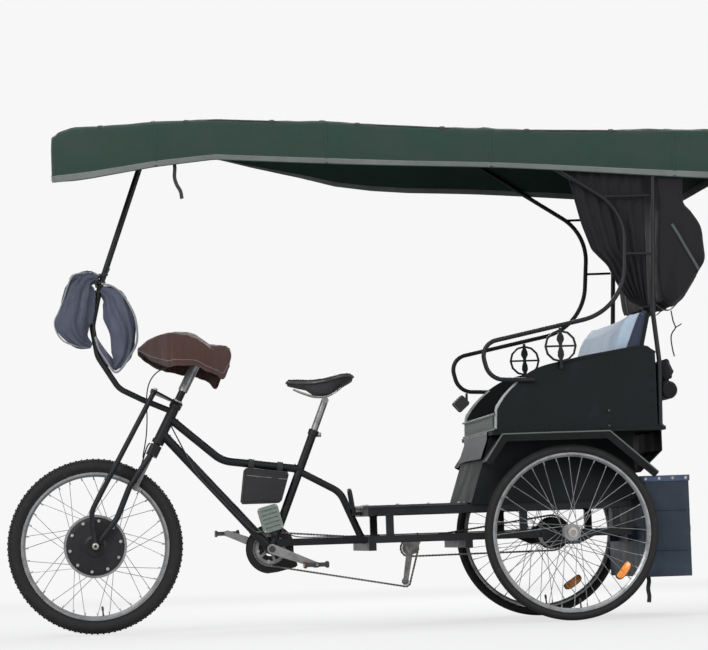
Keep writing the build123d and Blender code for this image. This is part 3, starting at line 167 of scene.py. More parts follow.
class MeshSketch:
    """Vertices and faces gathered for one piece."""

    def __init__(self) -> None:
        """Starts empty."""
        self.verts: list[Vector] = []
        self.faces: list[tuple[int, ...]] = []

    def add(self, verts: Iterable[Point], faces: Iterable[Sequence[int]]) -> "MeshSketch":
        """Adds vertices and the faces between them."""
        base = len(self.verts)
        self.verts.extend(Vector(v) for v in verts)
        self.faces.extend(tuple(base + i for i in f) for f in faces)
        return self

    def rings(self, rings: Sequence[Sequence[Point]], around: bool = True, along: bool = False,
              caps: bool = True) -> "MeshSketch":
        """Joins rows of points with four-sided faces.

        Args:
            rings: rows with the same number of points.
            around: whether each row is a closed ring.
            along: whether the last row joins the first.
            caps: whether open ends are closed with a fan.

        Returns:
            The sketch itself.
        """
        n, m = len(rings), len(rings[0])
        verts = [p for ring in rings for p in ring]
        faces: list[tuple[int, ...]] = []
        for i in range(n if along else n - 1):
            j = (i + 1) % n
            for k in range(m if around else m - 1):
                q = (k + 1) % m
                faces.append((i * m + k, i * m + q, j * m + q, j * m + k))
        if caps and around and not along:
            for row, turn in ((0, 1), (n - 1, -1)):
                middle = sum((Vector(p) for p in rings[row]), Vector()) / m
                verts.append(middle)
                hub = len(verts) - 1
                for k in range(m):
                    q = (k + 1) % m
                    pair = (row * m + q, row * m + k) if turn == 1 else (row * m + k, row * m + q)
                    faces.append((pair[0], pair[1], hub))
        return self.add(verts, faces)

    def tube(self, path: Sequence[Point], radius: float | Sequence[float], sides: int = 10,
             closed: bool = False, flat: float = 1.0, up: Point = (0, 0, 1)) -> "MeshSketch":
        """Sweeps a round or flattened section along a path.

        Args:
            path: points along the middle.
            radius: one radius, or one for each point.
            sides: points round the section.
            closed: whether the path is a loop.
            flat: thickness as a share of the width.
            up: the way the flattened side faces.

        Returns:
            The sketch itself.
        """
        pts = [Vector(p) for p in path]
        count = len(pts)
        radii = [radius] * count if isinstance(radius, (int, float)) else list(radius)
        rings = []
        side = None
        for i, p in enumerate(pts):
            a = pts[(i - 1) % count] if closed or i else p
            b = pts[(i + 1) % count] if closed or i < count - 1 else p
            way = (b - a).normalized()
            if side is None:
                side = way.cross(Vector(up))
                if side.length < 1e-3:
                    side = way.cross(Vector((1, 0, 0)))
            side = (side - way * side.dot(way)).normalized()
            lift = side.cross(way)
            ring = []
            for k in range(sides):
                turn = math.tau * k / sides
                ring.append(p + side * (math.cos(turn) * radii[i])
                            + lift * (math.sin(turn) * radii[i] * flat))
            rings.append(ring)
        return self.rings(rings, along=closed)

    def turned(self, profile: Sequence[tuple[float, float]], centre: Point, axis: Point,
               steps: int = 32, loop: bool = False) -> "MeshSketch":
        """Turns a profile of (radius, distance along) round an axis.

        Args:
            profile: the points of the outline, from one end to the other.
            centre: a point on the axis.
            axis: the axis direction.
            steps: how many points round.
            loop: whether the profile is a closed ring section.

        Returns:
            The sketch itself.
        """
        way = Vector(axis).normalized()
        side = way.cross(Vector((0, 0, 1)))
        if side.length < 1e-3:
            side = Vector((1, 0, 0))
        side.normalize()
        lift = way.cross(side)
        mid = Vector(centre)
        rings = []
        for r, h in profile:
            rings.append([
                mid + way * h + side * (math.cos(math.tau * k / steps) * r)
                + lift * (math.sin(math.tau * k / steps) * r)
                for k in range(steps)
            ])
        return self.rings(rings, along=loop)

    def prism(self, outline: Sequence[Point], way: Point) -> "MeshSketch":
        """Pushes a flat outline along a way, with both ends closed."""
        n = len(outline)
        verts = [Vector(p) for p in outline] + [Vector(p) + Vector(way) for p in outline]
        faces: list[tuple[int, ...]] = [(k, (k + 1) % n, n + (k + 1) % n, n + k) for k in range(n)]
        return self.add(verts, faces + [tuple(range(n))[::-1], tuple(range(n, 2 * n))])

    def box(self, low: Point, high: Point) -> "MeshSketch":
        """Adds a square-cornered block between two corners."""
        (x0, y0, z0), (x1, y1, z1) = low, high
        verts = [(x, y, z) for z in (z0, z1) for y in (y0, y1) for x in (x0, x1)]
        faces = [(0, 2, 3, 1), (4, 5, 7, 6), (0, 1, 5, 4), (2, 6, 7, 3), (0, 4, 6, 2), (1, 3, 7, 5)]
        return self.add(verts, faces)

    def build(self, name: str, smooth: bool = True, bevel: float = 0.0,
              merge: float = 1e-6) -> bpy.types.Object:
        """Makes an object at the origin from what was gathered.

        Args:
            name: the object's name.
            smooth: whether faces are shaded smoothly up to a sharp edge.
            bevel: width of a bevel on sharp edges, in metres.
            merge: distance at which points are joined.

        Returns:
            The new object.
        """
        mesh = bpy.data.meshes.new(name)
        mesh.from_pydata([tuple(v) for v in self.verts], [], self.faces)
        work = bmesh.new()
        work.from_mesh(mesh)
        bmesh.ops.remove_doubles(work, verts=work.verts, dist=merge)
        bmesh.ops.recalc_face_normals(work, faces=work.faces)
        work.to_mesh(mesh)
        work.free()
        obj = bpy.data.objects.new(name, mesh)
        bpy.context.scene.collection.objects.link(obj)
        if bevel:
            cut = obj.modifiers.new("edge", "BEVEL")
            cut.width = bevel
            cut.segments = 2
            cut.limit_method = "ANGLE"
            cut.angle_limit = math.radians(40)
            settle(obj)
        if smooth:
            soften(obj)
        return obj


def soften(obj: bpy.types.Object, angle: float = 40.0) -> None:
    """Shades a mesh smoothly, with creases where faces meet at more than an angle in degrees."""
    obj.data.shade_smooth()
    obj.data.set_sharp_from_angle(angle=math.radians(angle))


def settle(obj: bpy.types.Object) -> None:
    """Applies every modifier of an object to its mesh."""
    bpy.context.view_layer.update()
    graph = bpy.context.evaluated_depsgraph_get()
    old = obj.data
    mesh = bpy.data.meshes.new_from_object(obj.evaluated_get(graph))
    obj.modifiers.clear()
    obj.data = mesh
    mesh.name = obj.name
    if old.users == 0:
        bpy.data.meshes.remove(old)


def drop(obj: bpy.types.Object) -> None:
    """Removes a helper object and its mesh."""
    mesh = obj.data
    bpy.data.objects.remove(obj)
    if mesh and mesh.users == 0:
        bpy.data.meshes.remove(mesh)


def add_node(tree: bpy.types.NodeTree, kind: str, inputs: Optional[dict] = None,
             **settings) -> bpy.types.Node:
    """Adds a node to a tree: its settings first, then its values and links.

    Args:
        tree: the tree.
        kind: the node's type name.
        inputs: values or links for its inputs, by name or number.
        settings: properties set on the node itself.

    Returns:
        The new node.
    """
    made = tree.nodes.new(kind)
    for key, value in settings.items():
        setattr(made, key, value)
    for key, value in (inputs or {}).items():
        if isinstance(value, bpy.types.NodeSocket):
            tree.links.new(value, made.inputs[key])
        else:
            made.inputs[key].default_value = value
    return made


class NodeBoard:
    """The shader nodes of one material, laid out in code."""

    def __init__(self, name: str) -> None:
        """Starts a material with a principled shader and object coordinates."""
        self.material = bpy.data.materials.new(name)
        self.material.use_nodes = True
        self.tree = self.material.node_tree
        self.shader = self.tree.nodes["Principled BSDF"]
        self.coords = self.tree.nodes.new("ShaderNodeTexCoord").outputs["Object"]

    def node(self, kind: str, inputs: Optional[dict] = None, **settings) -> bpy.types.Node:
        """Adds a node to the material."""
        return add_node(self.tree, kind, inputs, **settings)

    def noise(self, scale: float, detail: float = 3.0, rough: float = 0.55,
              stretch: Point = (1, 1, 1)) -> bpy.types.NodeSocket:
        """A noise value over the surface, with waves per metre given by scale."""
        place = self.node("ShaderNodeMapping", {"Vector": self.coords, "Scale": tuple(stretch)})
        made = self.node("ShaderNodeTexNoise", {
            "Vector": place.outputs[0], "Scale": scale, "Detail": detail, "Roughness": rough})
        return made.outputs["Fac"]

    def ramp(self, value: bpy.types.NodeSocket,
             stops: Sequence[tuple[float, Sequence[float]]]) -> bpy.types.NodeSocket:
        """Turns a value into colours by stops of (place, colour)."""
        made = self.node("ShaderNodeValToRGB", {"Fac": value})
        ramp = made.color_ramp
        while len(ramp.elements) < len(stops):
            ramp.elements.new(0.5)
        for element, (place, colour) in zip(ramp.elements, stops):
            element.position = place
            element.color = (*colour, 1.0) if len(colour) == 3 else colour
        return made.outputs["Color"]

    def span(self, value: bpy.types.NodeSocket, low: float, high: float) -> bpy.types.NodeSocket:
        """Maps a value from 0.3 and 0.7 to a low and a high number."""
        made = self.node("ShaderNodeMapRange", {
            "Value": value, "From Min": 0.3, "From Max": 0.7, "To Min": low, "To Max": high})
        return made.outputs["Result"]

    def mix(self, share: bpy.types.NodeSocket, a, b) -> bpy.types.NodeSocket:
        """Mixes two colours or colour sockets by a share."""
        made = self.node("ShaderNodeMix", data_type="RGBA")
        self.tree.links.new(share, made.inputs["Factor"])
        for key, value in ((6, a), (7, b)):
            if isinstance(value, bpy.types.NodeSocket):
                self.tree.links.new(value, made.inputs[key])
            else:
                made.inputs[key].default_value = (*value, 1.0)
        return made.outputs[2]

    def sums(self, kind: str, a, b=None) -> bpy.types.NodeSocket:
        """A sum of one or two values, such as ADD, MULTIPLY or SINE."""
        inputs = {0: a} if b is None else {0: a, 1: b}
        return self.node("ShaderNodeMath", inputs, operation=kind).outputs[0]

    def bump(self, height: bpy.types.NodeSocket, depth: float, strength: float = 1.0) -> None:
        """Presses a height into the surface, its depth in metres."""
        made = self.node("ShaderNodeBump", {"Height": height, "Distance": depth, "Strength": strength})
        self.feed("Normal", made.outputs[0])

    def feed(self, name: str, value) -> None:
        """Sets or links one input of the shader."""
        if isinstance(value, bpy.types.NodeSocket):
            self.tree.links.new(value, self.shader.inputs[name])
        else:
            self.shader.inputs[name].default_value = value

    def weave(self, pitch: float, uv: bool = False) -> bpy.types.NodeSocket:
        """Crossing threads of a pitch in metres, from 0 to 1 in height."""
        source = self.node("ShaderNodeTexCoord").outputs["UV"] if uv else self.coords
        parts = self.node("ShaderNodeSeparateXYZ", {"Vector": source})
        turns = math.tau / pitch
        if uv:
            across, down = parts.outputs[0], parts.outputs[1]
        else:
            across = self.sums("ADD", parts.outputs[0], parts.outputs[1])
            down = self.sums("ADD", parts.outputs[2], self.sums("MULTIPLY", parts.outputs[1], 0.35))
        a = self.sums("SINE", self.sums("MULTIPLY", across, turns))
        b = self.sums("SINE", self.sums("MULTIPLY", down, turns))
        return self.sums("ADD", self.sums("MULTIPLY", self.sums("MULTIPLY", a, b), 0.5), 0.5)


@dataclass(frozen=True)
class Finish:
    """What every finish has.

    Attributes:
        name: the material's name.
        colour: its main colour, as linear red, green and blue.
    """

    name: str
    colour: tuple[float, float, float]

    def shade(self, board: NodeBoard) -> None:
        """Lays out the nodes of the finish."""
        board.feed("Base Color", (*self.colour, 1.0))

    def make(self) -> bpy.types.Material:
        """Returns the material, made on first use."""
        known = bpy.data.materials.get(self.name)
        if known is not None and known.get("made_here"):
            return known
        board = NodeBoard(self.name)
        self.shade(board)
        board.material["made_here"] = True
        return board.material

    def tone(self, factor: float) -> tuple[float, float, float]:
        """The main colour made lighter or darker by a factor."""
        return tuple(min(1.0, c * factor) for c in self.colour)


@dataclass(frozen=True)
class Enamel(Finish):
    """Stove enamel on steel, with dust, small chips and uneven gloss.

    Attributes:
        gloss: roughness of the clean paint.
        chips: share of the surface with bare metal showing, from 0 to 1.
        shine: strength of the paint's reflection.
    """

    gloss: float = 0.32
    chips: float = 0.12
    shine: float = 0.22

    def shade(self, board: NodeBoard) -> None:
        """Paint over metal with dust in patches."""
        dust = board.noise(9.0, 5.0)
        fine = board.noise(240.0, 4.0)
        chip = board.noise(85.0, 6.0, 0.7)
        paint = board.ramp(dust, [(0.35, self.tone(0.75)), (0.6, self.colour), (0.8, self.tone(1.7))])
        limit = 0.80 - 0.18 * self.chips
        bare = board.ramp(chip, [(limit, (0, 0, 0)), (limit + 0.02, (1, 1, 1))])
        board.feed("Base Color", board.mix(bare, paint, (0.20, 0.15, 0.12)))
        board.feed("Roughness", board.sums("ADD", board.span(dust, self.gloss, self.gloss + 0.22),
                                           board.sums("MULTIPLY", bare, 0.2)))
        board.feed("Specular IOR Level", self.shine)
        board.bump(board.sums("SUBTRACT", fine, board.sums("MULTIPLY", bare, 1.5)), 0.00012, 0.5)


@dataclass(frozen=True)
class BareMetal(Finish):
    """Bare or plated metal with fine scratches and grime.

    Attributes:
        rough: roughness of the clean metal.
        grime: colour that settles in patches.
    """

    rough: float = 0.3
    grime: tuple[float, float, float] = (0.05, 0.04, 0.035)

    def shade(self, board: NodeBoard) -> None:
        """Metal with scratches along it and grime in patches."""
        dirt = board.noise(22.0, 6.0, 0.6)
        lines = board.noise(600.0, 2.0, 0.5, (1.0, 0.04, 1.0))
        soil = board.ramp(dirt, [(0.45, (0, 0, 0)), (0.75, (0.7, 0.7, 0.7))])
        board.feed("Base Color", board.mix(soil, self.colour, self.grime))
        board.feed("Metallic", 0.92)
        board.feed("Roughness", board.span(dirt, self.rough, self.rough + 0.3))
        board.bump(lines, 0.00005, 0.4)


@dataclass(frozen=True)
class TyreRubber(Finish):
    """Vulcanised rubber, greyed by road dust."""

    def shade(self, board: NodeBoard) -> None:
        """Dark rubber with pale dust and a fine grain."""
        dust = board.noise(28.0, 6.0, 0.65)
        grain = board.noise(900.0, 3.0)
        board.feed("Base Color", board.ramp(
            dust, [(0.35, self.colour), (0.58, self.tone(1.5)), (0.85, (0.050, 0.046, 0.040))]))
        board.feed("Roughness", board.span(dust, 0.72, 0.92))
        board.feed("Specular IOR Level", 0.3)
        board.bump(grain, 0.00012, 0.5)


@dataclass(frozen=True)
class Cloth(Finish):
    """Woven cloth with sheen, fading and soiling.

    Attributes:
        thread: pitch of the weave in metres.
        depth: how far the weave stands out, in metres.
        fade: how much lighter the faded patches are.
        sheen: strength of the soft edge light.
        uv: whether the weave follows the piece's own map.
        creases: depth of small creases, in metres.
    """

    thread: float = 0.0016
    depth: float = 0.0003
    fade: float = 1.5
    sheen: float = 0.35
    uv: bool = False
    creases: float = 0.0

    def shade(self, board: NodeBoard) -> None:
        """Threads, faded patches and soft creases."""
        patch = board.noise(6.0, 5.0, 0.6)
        soil = board.noise(45.0, 5.0, 0.65)
        threads = board.weave(self.thread, self.uv)
        faded = board.ramp(patch,
                           [(0.3, self.tone(0.7)), (0.55, self.colour), (0.78, self.tone(self.fade))])
        soiled = board.mix(board.ramp(soil, [(0.5, (0, 0, 0)), (0.8, (0.45, 0.45, 0.45))]), faded,
                           self.tone(0.55))
        woven = board.mix(threads, self.tone(0.8), soiled)
        shade = board.node("ShaderNodeMix", data_type="RGBA")
        shade.inputs["Factor"].default_value = 0.45
        board.tree.links.new(soiled, shade.inputs[6])
        board.tree.links.new(woven, shade.inputs[7])
        board.feed("Base Color", shade.outputs[2])
        board.feed("Roughness", board.span(patch, 0.75, 0.95))
        board.feed("Sheen Weight", self.sheen)
        board.feed("Sheen Roughness", 0.45)
        height = threads
        if self.creases:
            folds = board.noise(38.0, 4.0, 0.6, (1.0, 1.0, 0.45))
            ratio = self.creases / self.depth
            height = board.sums("ADD", threads, board.sums("MULTIPLY", folds, ratio))
        board.bump(height, self.depth, 0.9)


@dataclass(frozen=True)
class CoatedCloth(Finish):
    """Coated tarpaulin: a faint weave under a soft gloss, with creases.

    Attributes:
        gloss: roughness of the clean coating.
        sheen: strength of the soft edge light.
        shine: strength of the coating's reflection.
    """

    gloss: float = 0.42
    sheen: float = 0.10
    shine: float = 0.35

    def shade(self, board: NodeBoard) -> None:
        """A soft gloss broken by creases and dust."""
        patch = board.noise(7.0, 5.0, 0.6)
        folds = board.noise(26.0, 5.0, 0.62, (1.0, 1.0, 0.6))
        threads = board.weave(0.0024)
        board.feed("Base Color", board.ramp(
            patch, [(0.3, self.tone(0.65)), (0.55, self.colour), (0.8, self.tone(1.5))]))
        board.feed("Roughness", board.span(patch, self.gloss, self.gloss + 0.25))
        board.feed("Sheen Weight", self.sheen)
        board.feed("Specular IOR Level", self.shine)
        board.bump(board.sums("ADD", board.sums("MULTIPLY", folds, 6.0), threads), 0.00045, 0.9)


@dataclass(frozen=True)
class Hide(Finish):
    """Vinyl with a pebbled grain and rubbed patches.

    Attributes:
        rub: colour of the rubbed patches.
    """

    rub: tuple[float, float, float] = (0.10, 0.085, 0.07)

    def shade(self, board: NodeBoard) -> None:
        """Pebbles from a cell pattern, with rubbed patches."""
        cells = board.node("ShaderNodeTexVoronoi", {"Vector": board.coords, "Scale": 420.0},
                           feature="SMOOTH_F1").outputs["Distance"]
        worn = board.noise(17.0, 5.0, 0.6)
        board.feed("Base Color", board.ramp(
            worn, [(0.4, self.colour), (0.62, self.tone(1.4)), (0.82, self.rub)]))
        board.feed("Roughness", board.span(worn, 0.38, 0.6))
        board.feed("Coat Weight", 0.1)
        board.bump(cells, 0.00035, 0.6)


@dataclass(frozen=True)
class Moulding(Finish):
    """Moulded plastic with a fine spark texture and scuffs.

    Attributes:
        gloss: roughness of the clean plastic.
    """

    gloss: float = 0.45

    def shade(self, board: NodeBoard) -> None:
        """Spark texture and scuffed patches."""
        spark = board.noise(750.0, 3.0)
        scuff = board.noise(60.0, 6.0, 0.7)
        board.feed("Base Color", board.ramp(
            scuff, [(0.3, self.tone(0.8)), (0.6, self.colour), (0.82, self.tone(1.6))]))
        board.feed("Roughness", board.span(scuff, self.gloss, self.gloss + 0.2))
        board.bump(spark, 0.0001, 0.5)


@dataclass(frozen=True)
class Prism(Finish):
    """Clear coloured lens with a grid of small prisms behind its face.

    Attributes:
        pitch: size of one prism, in metres.
    """

    pitch: float = 0.0035

    def shade(self, board: NodeBoard) -> None:
        """A glossy lens over a grid."""
        cells = board.node("ShaderNodeTexVoronoi", {"Vector": board.coords, "Scale": 1.0 / self.pitch},
                           feature="F1", distance="CHEBYCHEV").outputs["Distance"]
        board.feed("Base Color",
                   board.ramp(cells, [(0.1, self.tone(1.5)), (0.5, self.colour), (0.7, self.tone(0.5))]))
        board.feed("Roughness", board.span(cells, 0.08, 0.2))
        board.feed("Coat Weight", 0.8)
        board.feed("Coat Roughness", 0.05)
        board.bump(cells, 0.0004, 0.5)


class Paint:
    """The finishes of this vehicle, by what they are on."""

    FRAME = Enamel("frame_enamel", (0.0085, 0.0090, 0.0105), gloss=0.30, chips=0.35)
    BODY = Enamel("body_enamel", (0.0085, 0.0105, 0.0115), gloss=0.50, chips=0.2, shine=0.10)
    GUARD = Enamel("mudguard_enamel", (0.0090, 0.0094, 0.0100), gloss=0.54, chips=0.25, shine=0.09)
    BOX = Enamel("box_enamel", (0.026, 0.037, 0.054), gloss=0.42, chips=0.3, shine=0.16)
    FLOOR = Enamel("floor_enamel", (0.036, 0.036, 0.039), gloss=0.48, chips=0.9, shine=0.2)
    MOTOR = Enamel("motor_enamel", (0.014, 0.014, 0.016), gloss=0.36, chips=0.15)
    RIM = BareMetal("rim_alloy", (0.27, 0.275, 0.285), rough=0.28)
    ALLOY = BareMetal("crank_alloy", (0.24, 0.235, 0.24), rough=0.36)
    STEEL = BareMetal("oiled_steel", (0.28, 0.27, 0.26), rough=0.36, grime=(0.03, 0.022, 0.018))
    ZINC = BareMetal("zinc_bolts", (0.42, 0.41, 0.38), rough=0.38, grime=(0.12, 0.06, 0.03))
    TYRE = TyreRubber("tyre_rubber", (0.0095, 0.0095, 0.0100))
    GRIP = TyreRubber("grip_rubber", (0.022, 0.022, 0.023))
    PAD = TyreRubber("brake_rubber", (0.03, 0.028, 0.028))
    SADDLE = Hide("saddle_vinyl", (0.0125, 0.0120, 0.0120), rub=(0.05, 0.046, 0.043))
    BAG = Cloth("bag_nylon", (0.0120, 0.0120, 0.0140), thread=0.0011, depth=0.0002, sheen=0.12,
                creases=0.0012)
    CASE = Moulding("controller_case", (0.145, 0.175, 0.155))
    BLACK_PLASTIC = Moulding("black_plastic", (0.022, 0.022, 0.024), gloss=0.5)
    CABLE = Moulding("cable_sheath", (0.018, 0.018, 0.020), gloss=0.38)
    LAMP_LENS = Prism("lamp_lens", (0.55, 0.56, 0.52))
    AMBER = Prism("amber_reflector", (0.85, 0.24, 0.02))
    RED = Prism("red_reflector", (0.55, 0.02, 0.015))
    CANOPY = Cloth("canopy_canvas", (0.0070, 0.0290, 0.0195), thread=0.0022, depth=0.00035, fade=1.6,
                   sheen=0.08, creases=0.0016)
    PIPING = Cloth("canopy_piping", (0.135, 0.150, 0.145), thread=0.0018, depth=0.0003, fade=1.3, sheen=0.2)
    CUSHION = Cloth("cushion_cloth", (0.011, 0.033, 0.025), thread=0.0016, depth=0.0003, fade=1.5,
                    sheen=0.22, creases=0.0008)
    CUSHION_EDGE = Cloth("cushion_edge", (0.15, 0.20, 0.18), thread=0.0012, depth=0.0002, fade=1.2)
    BACKREST = Cloth("backrest_cloth", (0.36, 0.45, 0.56), thread=0.0016, depth=0.0003, fade=1.2,
                     sheen=0.4, creases=0.0009)
    BACK_EDGE = Cloth("backrest_edge", (0.012, 0.022, 0.050), thread=0.0014, depth=0.0003, fade=1.5)
    SKIRT = Cloth("skirt_cloth", (0.085, 0.089, 0.093), thread=0.0018, depth=0.0003, fade=1.3,
                  creases=0.0008)
    RAIN = CoatedCloth("rain_cover_cloth", (0.062, 0.070, 0.105), gloss=0.48)
    CURTAIN = CoatedCloth("curtain_cloth", (0.0105, 0.0098, 0.0120), gloss=0.62, sheen=0.03, shine=0.18)
    CURTAIN_TRIM = Cloth("curtain_binding", (0.048, 0.066, 0.060), thread=0.0015, depth=0.0003)
    BAR_COVER = Cloth("bar_cover_cloth", (0.046, 0.017, 0.012), thread=0.0022, depth=0.0004, fade=1.7,
                      sheen=0.22, creases=0.0030)
    STRAP = Cloth("strap_webbing", (0.022, 0.023, 0.023), thread=0.0013, depth=0.0004, fade=1.6, sheen=0.15)
    PALE_TRIM = Cloth("panel_trim", (0.26, 0.28, 0.30), thread=0.0014, depth=0.0002, fade=1.2, sheen=0.2)
    CHAIN = BareMetal("chain_steel", (0.16, 0.15, 0.14), rough=0.38, grime=(0.02, 0.015, 0.012))
    # The pale edge trim is a painted highlight: it stands for the light on the curved front of the side
    # panels, whose trim is otherwise as dark as the body.
    PANEL_EDGE_HIGHLIGHT = Moulding("panel_edge_trim", (0.30, 0.315, 0.30), gloss=0.35)
    MOULDING = Moulding("guard_moulding", (0.075, 0.095, 0.080), gloss=0.4)
    # The lid's blue is lighter than the box's enamel as a painted highlight: it paints in the light and sky
    # reflection on the box's top.
    LID_PAINTED_HIGHLIGHT = Enamel("box_lid_enamel", (0.050, 0.075, 0.130), gloss=0.42, chips=0.3, shine=0.2)


class Pattern:
    """A geometry node tree that sets copies of a small item along a line, built in this script."""

    def __init__(self, name: str) -> None:
        """Builds the tree.

        The line is the mesh that the tree is put on: its edges, as one open or closed run.
        Copies have their length along the line and their top towards the given side of it.

        Args:
            name: the tree's name.
        """
        self.tree = bpy.data.node_groups.new(name, "GeometryNodeTree")
        face = self.tree.interface
        self.sockets = {}
        face.new_socket(name="Line", in_out="INPUT", socket_type="NodeSocketGeometry")
        for label, kind in (("Item", "NodeSocketObject"), ("Count", "NodeSocketInt"),
                            ("Size", "NodeSocketFloat"), ("Jitter", "NodeSocketFloat"),
                            ("Centre", "NodeSocketVector"), ("Axis", "NodeSocketVector"),
                            ("Up", "NodeSocketVector"), ("Seed", "NodeSocketInt"),
                            ("Finish", "NodeSocketMaterial")):
            self.sockets[label] = face.new_socket(name=label, in_out="INPUT", socket_type=kind)
        face.new_socket(name="Copies", in_out="OUTPUT", socket_type="NodeSocketGeometry")
        start = self._node("NodeGroupInput").outputs
        line = self._node("GeometryNodeMeshToCurve", {"Mesh": start["Line"]})
        points = self._node("GeometryNodeCurveToPoints",
                            {"Curve": line.outputs[0], "Count": start["Count"]}, mode="COUNT")
        place = self._node("GeometryNodeInputPosition")
        away = self._math("SUBTRACT", place.outputs[0], start["Centre"])
        along_axis = self._math("PROJECT", away, start["Axis"])
        radial = self._math("SUBTRACT", away, along_axis)
        top = self._math("ADD", radial, start["Up"])
        turn = self._node("FunctionNodeAxesToRotation",
                          {"Primary Axis": points.outputs["Tangent"], "Secondary Axis": top},
                          primary_axis="X", secondary_axis="Z")
        chance = self._node("FunctionNodeRandomValue", {"Seed": start["Seed"]}, data_type="FLOAT")
        chance.inputs[2].default_value = -1.0
        chance.inputs[3].default_value = 1.0
        shift = self._node("ShaderNodeMath", {0: chance.outputs[1], 1: start["Jitter"]},
                           operation="MULTIPLY")
        factor = self._node("ShaderNodeMath", {0: shift.outputs[0], 1: 1.0}, operation="ADD")
        scale = self._node("ShaderNodeMath", {0: factor.outputs[0], 1: start["Size"]}, operation="MULTIPLY")
        item = self._node("GeometryNodeObjectInfo", {"Object": start["Item"]})
        copies = self._node("GeometryNodeInstanceOnPoints", {
            "Points": points.outputs["Points"], "Instance": item.outputs["Geometry"],
            "Rotation": turn.outputs[0], "Scale": scale.outputs[0]})
        real = self._node("GeometryNodeRealizeInstances", {"Geometry": copies.outputs[0]})
        dressed = self._node("GeometryNodeSetMaterial",
                             {"Geometry": real.outputs[0], "Material": start["Finish"]})
        end = self._node("NodeGroupOutput")
        self.tree.links.new(dressed.outputs[0], end.inputs[0])

    def _node(self, kind: str, inputs: Optional[dict] = None, **settings) -> bpy.types.Node:
        """Adds a node to the pattern."""
        return add_node(self.tree, kind, inputs, **settings)

    def _math(self, kind: str, a: bpy.types.NodeSocket, b: bpy.types.NodeSocket) -> bpy.types.NodeSocket:
        """A sum of two vectors."""
        return self._node("ShaderNodeVectorMath", {0: a, 1: b}, operation=kind).outputs[0]

    def lay(self, name: str, line: Sequence[Point], item: bpy.types.Object, count: int,
            finish: Finish, closed: bool = False, centre: Optional[Point] = None,
            axis: Point = (0, 0, 0), up: Point = (0, 0, 0), size: float = 1.0, jitter: float = 0.0,
            seed: int = 1) -> bpy.types.Object:
        """Lays copies of an item along a line and returns them as one plain mesh.

        Args:
            name: the new piece's name.
            line: points of the line.
            item: the small item, modelled round the origin.
            count: how many copies.
            finish: the finish of the copies.
            closed: whether the line is a loop.
            centre: a point that the copies' tops turn away from.
            axis: an axis through it that they turn away from instead.
            up: a fixed way for their tops.
            size: their scale.
            jitter: how much the scale varies.
            seed: the seed of that variation.

        Returns:
            The new piece.
        """
        mesh = bpy.data.meshes.new(name)
        edges = [(i, i + 1) for i in range(len(line) - 1)]
        if closed:
            edges.append((len(line) - 1, 0))
        mesh.from_pydata([tuple(p) for p in line], edges, [])
        obj = bpy.data.objects.new(name, mesh)
        bpy.context.scene.collection.objects.link(obj)
        work = obj.modifiers.new("pattern", "NODES")
        work.node_group = self.tree
        values = {"Item": item, "Count": count, "Size": size, "Jitter": jitter,
                  "Centre": tuple(centre or line[0]), "Axis": tuple(axis), "Up": tuple(up), "Seed": seed,
                  "Finish": finish.make()}
        if centre is None:
            values["Up"] = tuple(Vector(up) * 1000.0)
        for label, value in values.items():
            work[self.sockets[label].identifier] = value
        settle(obj)
        soften(obj, 35.0)
        return obj


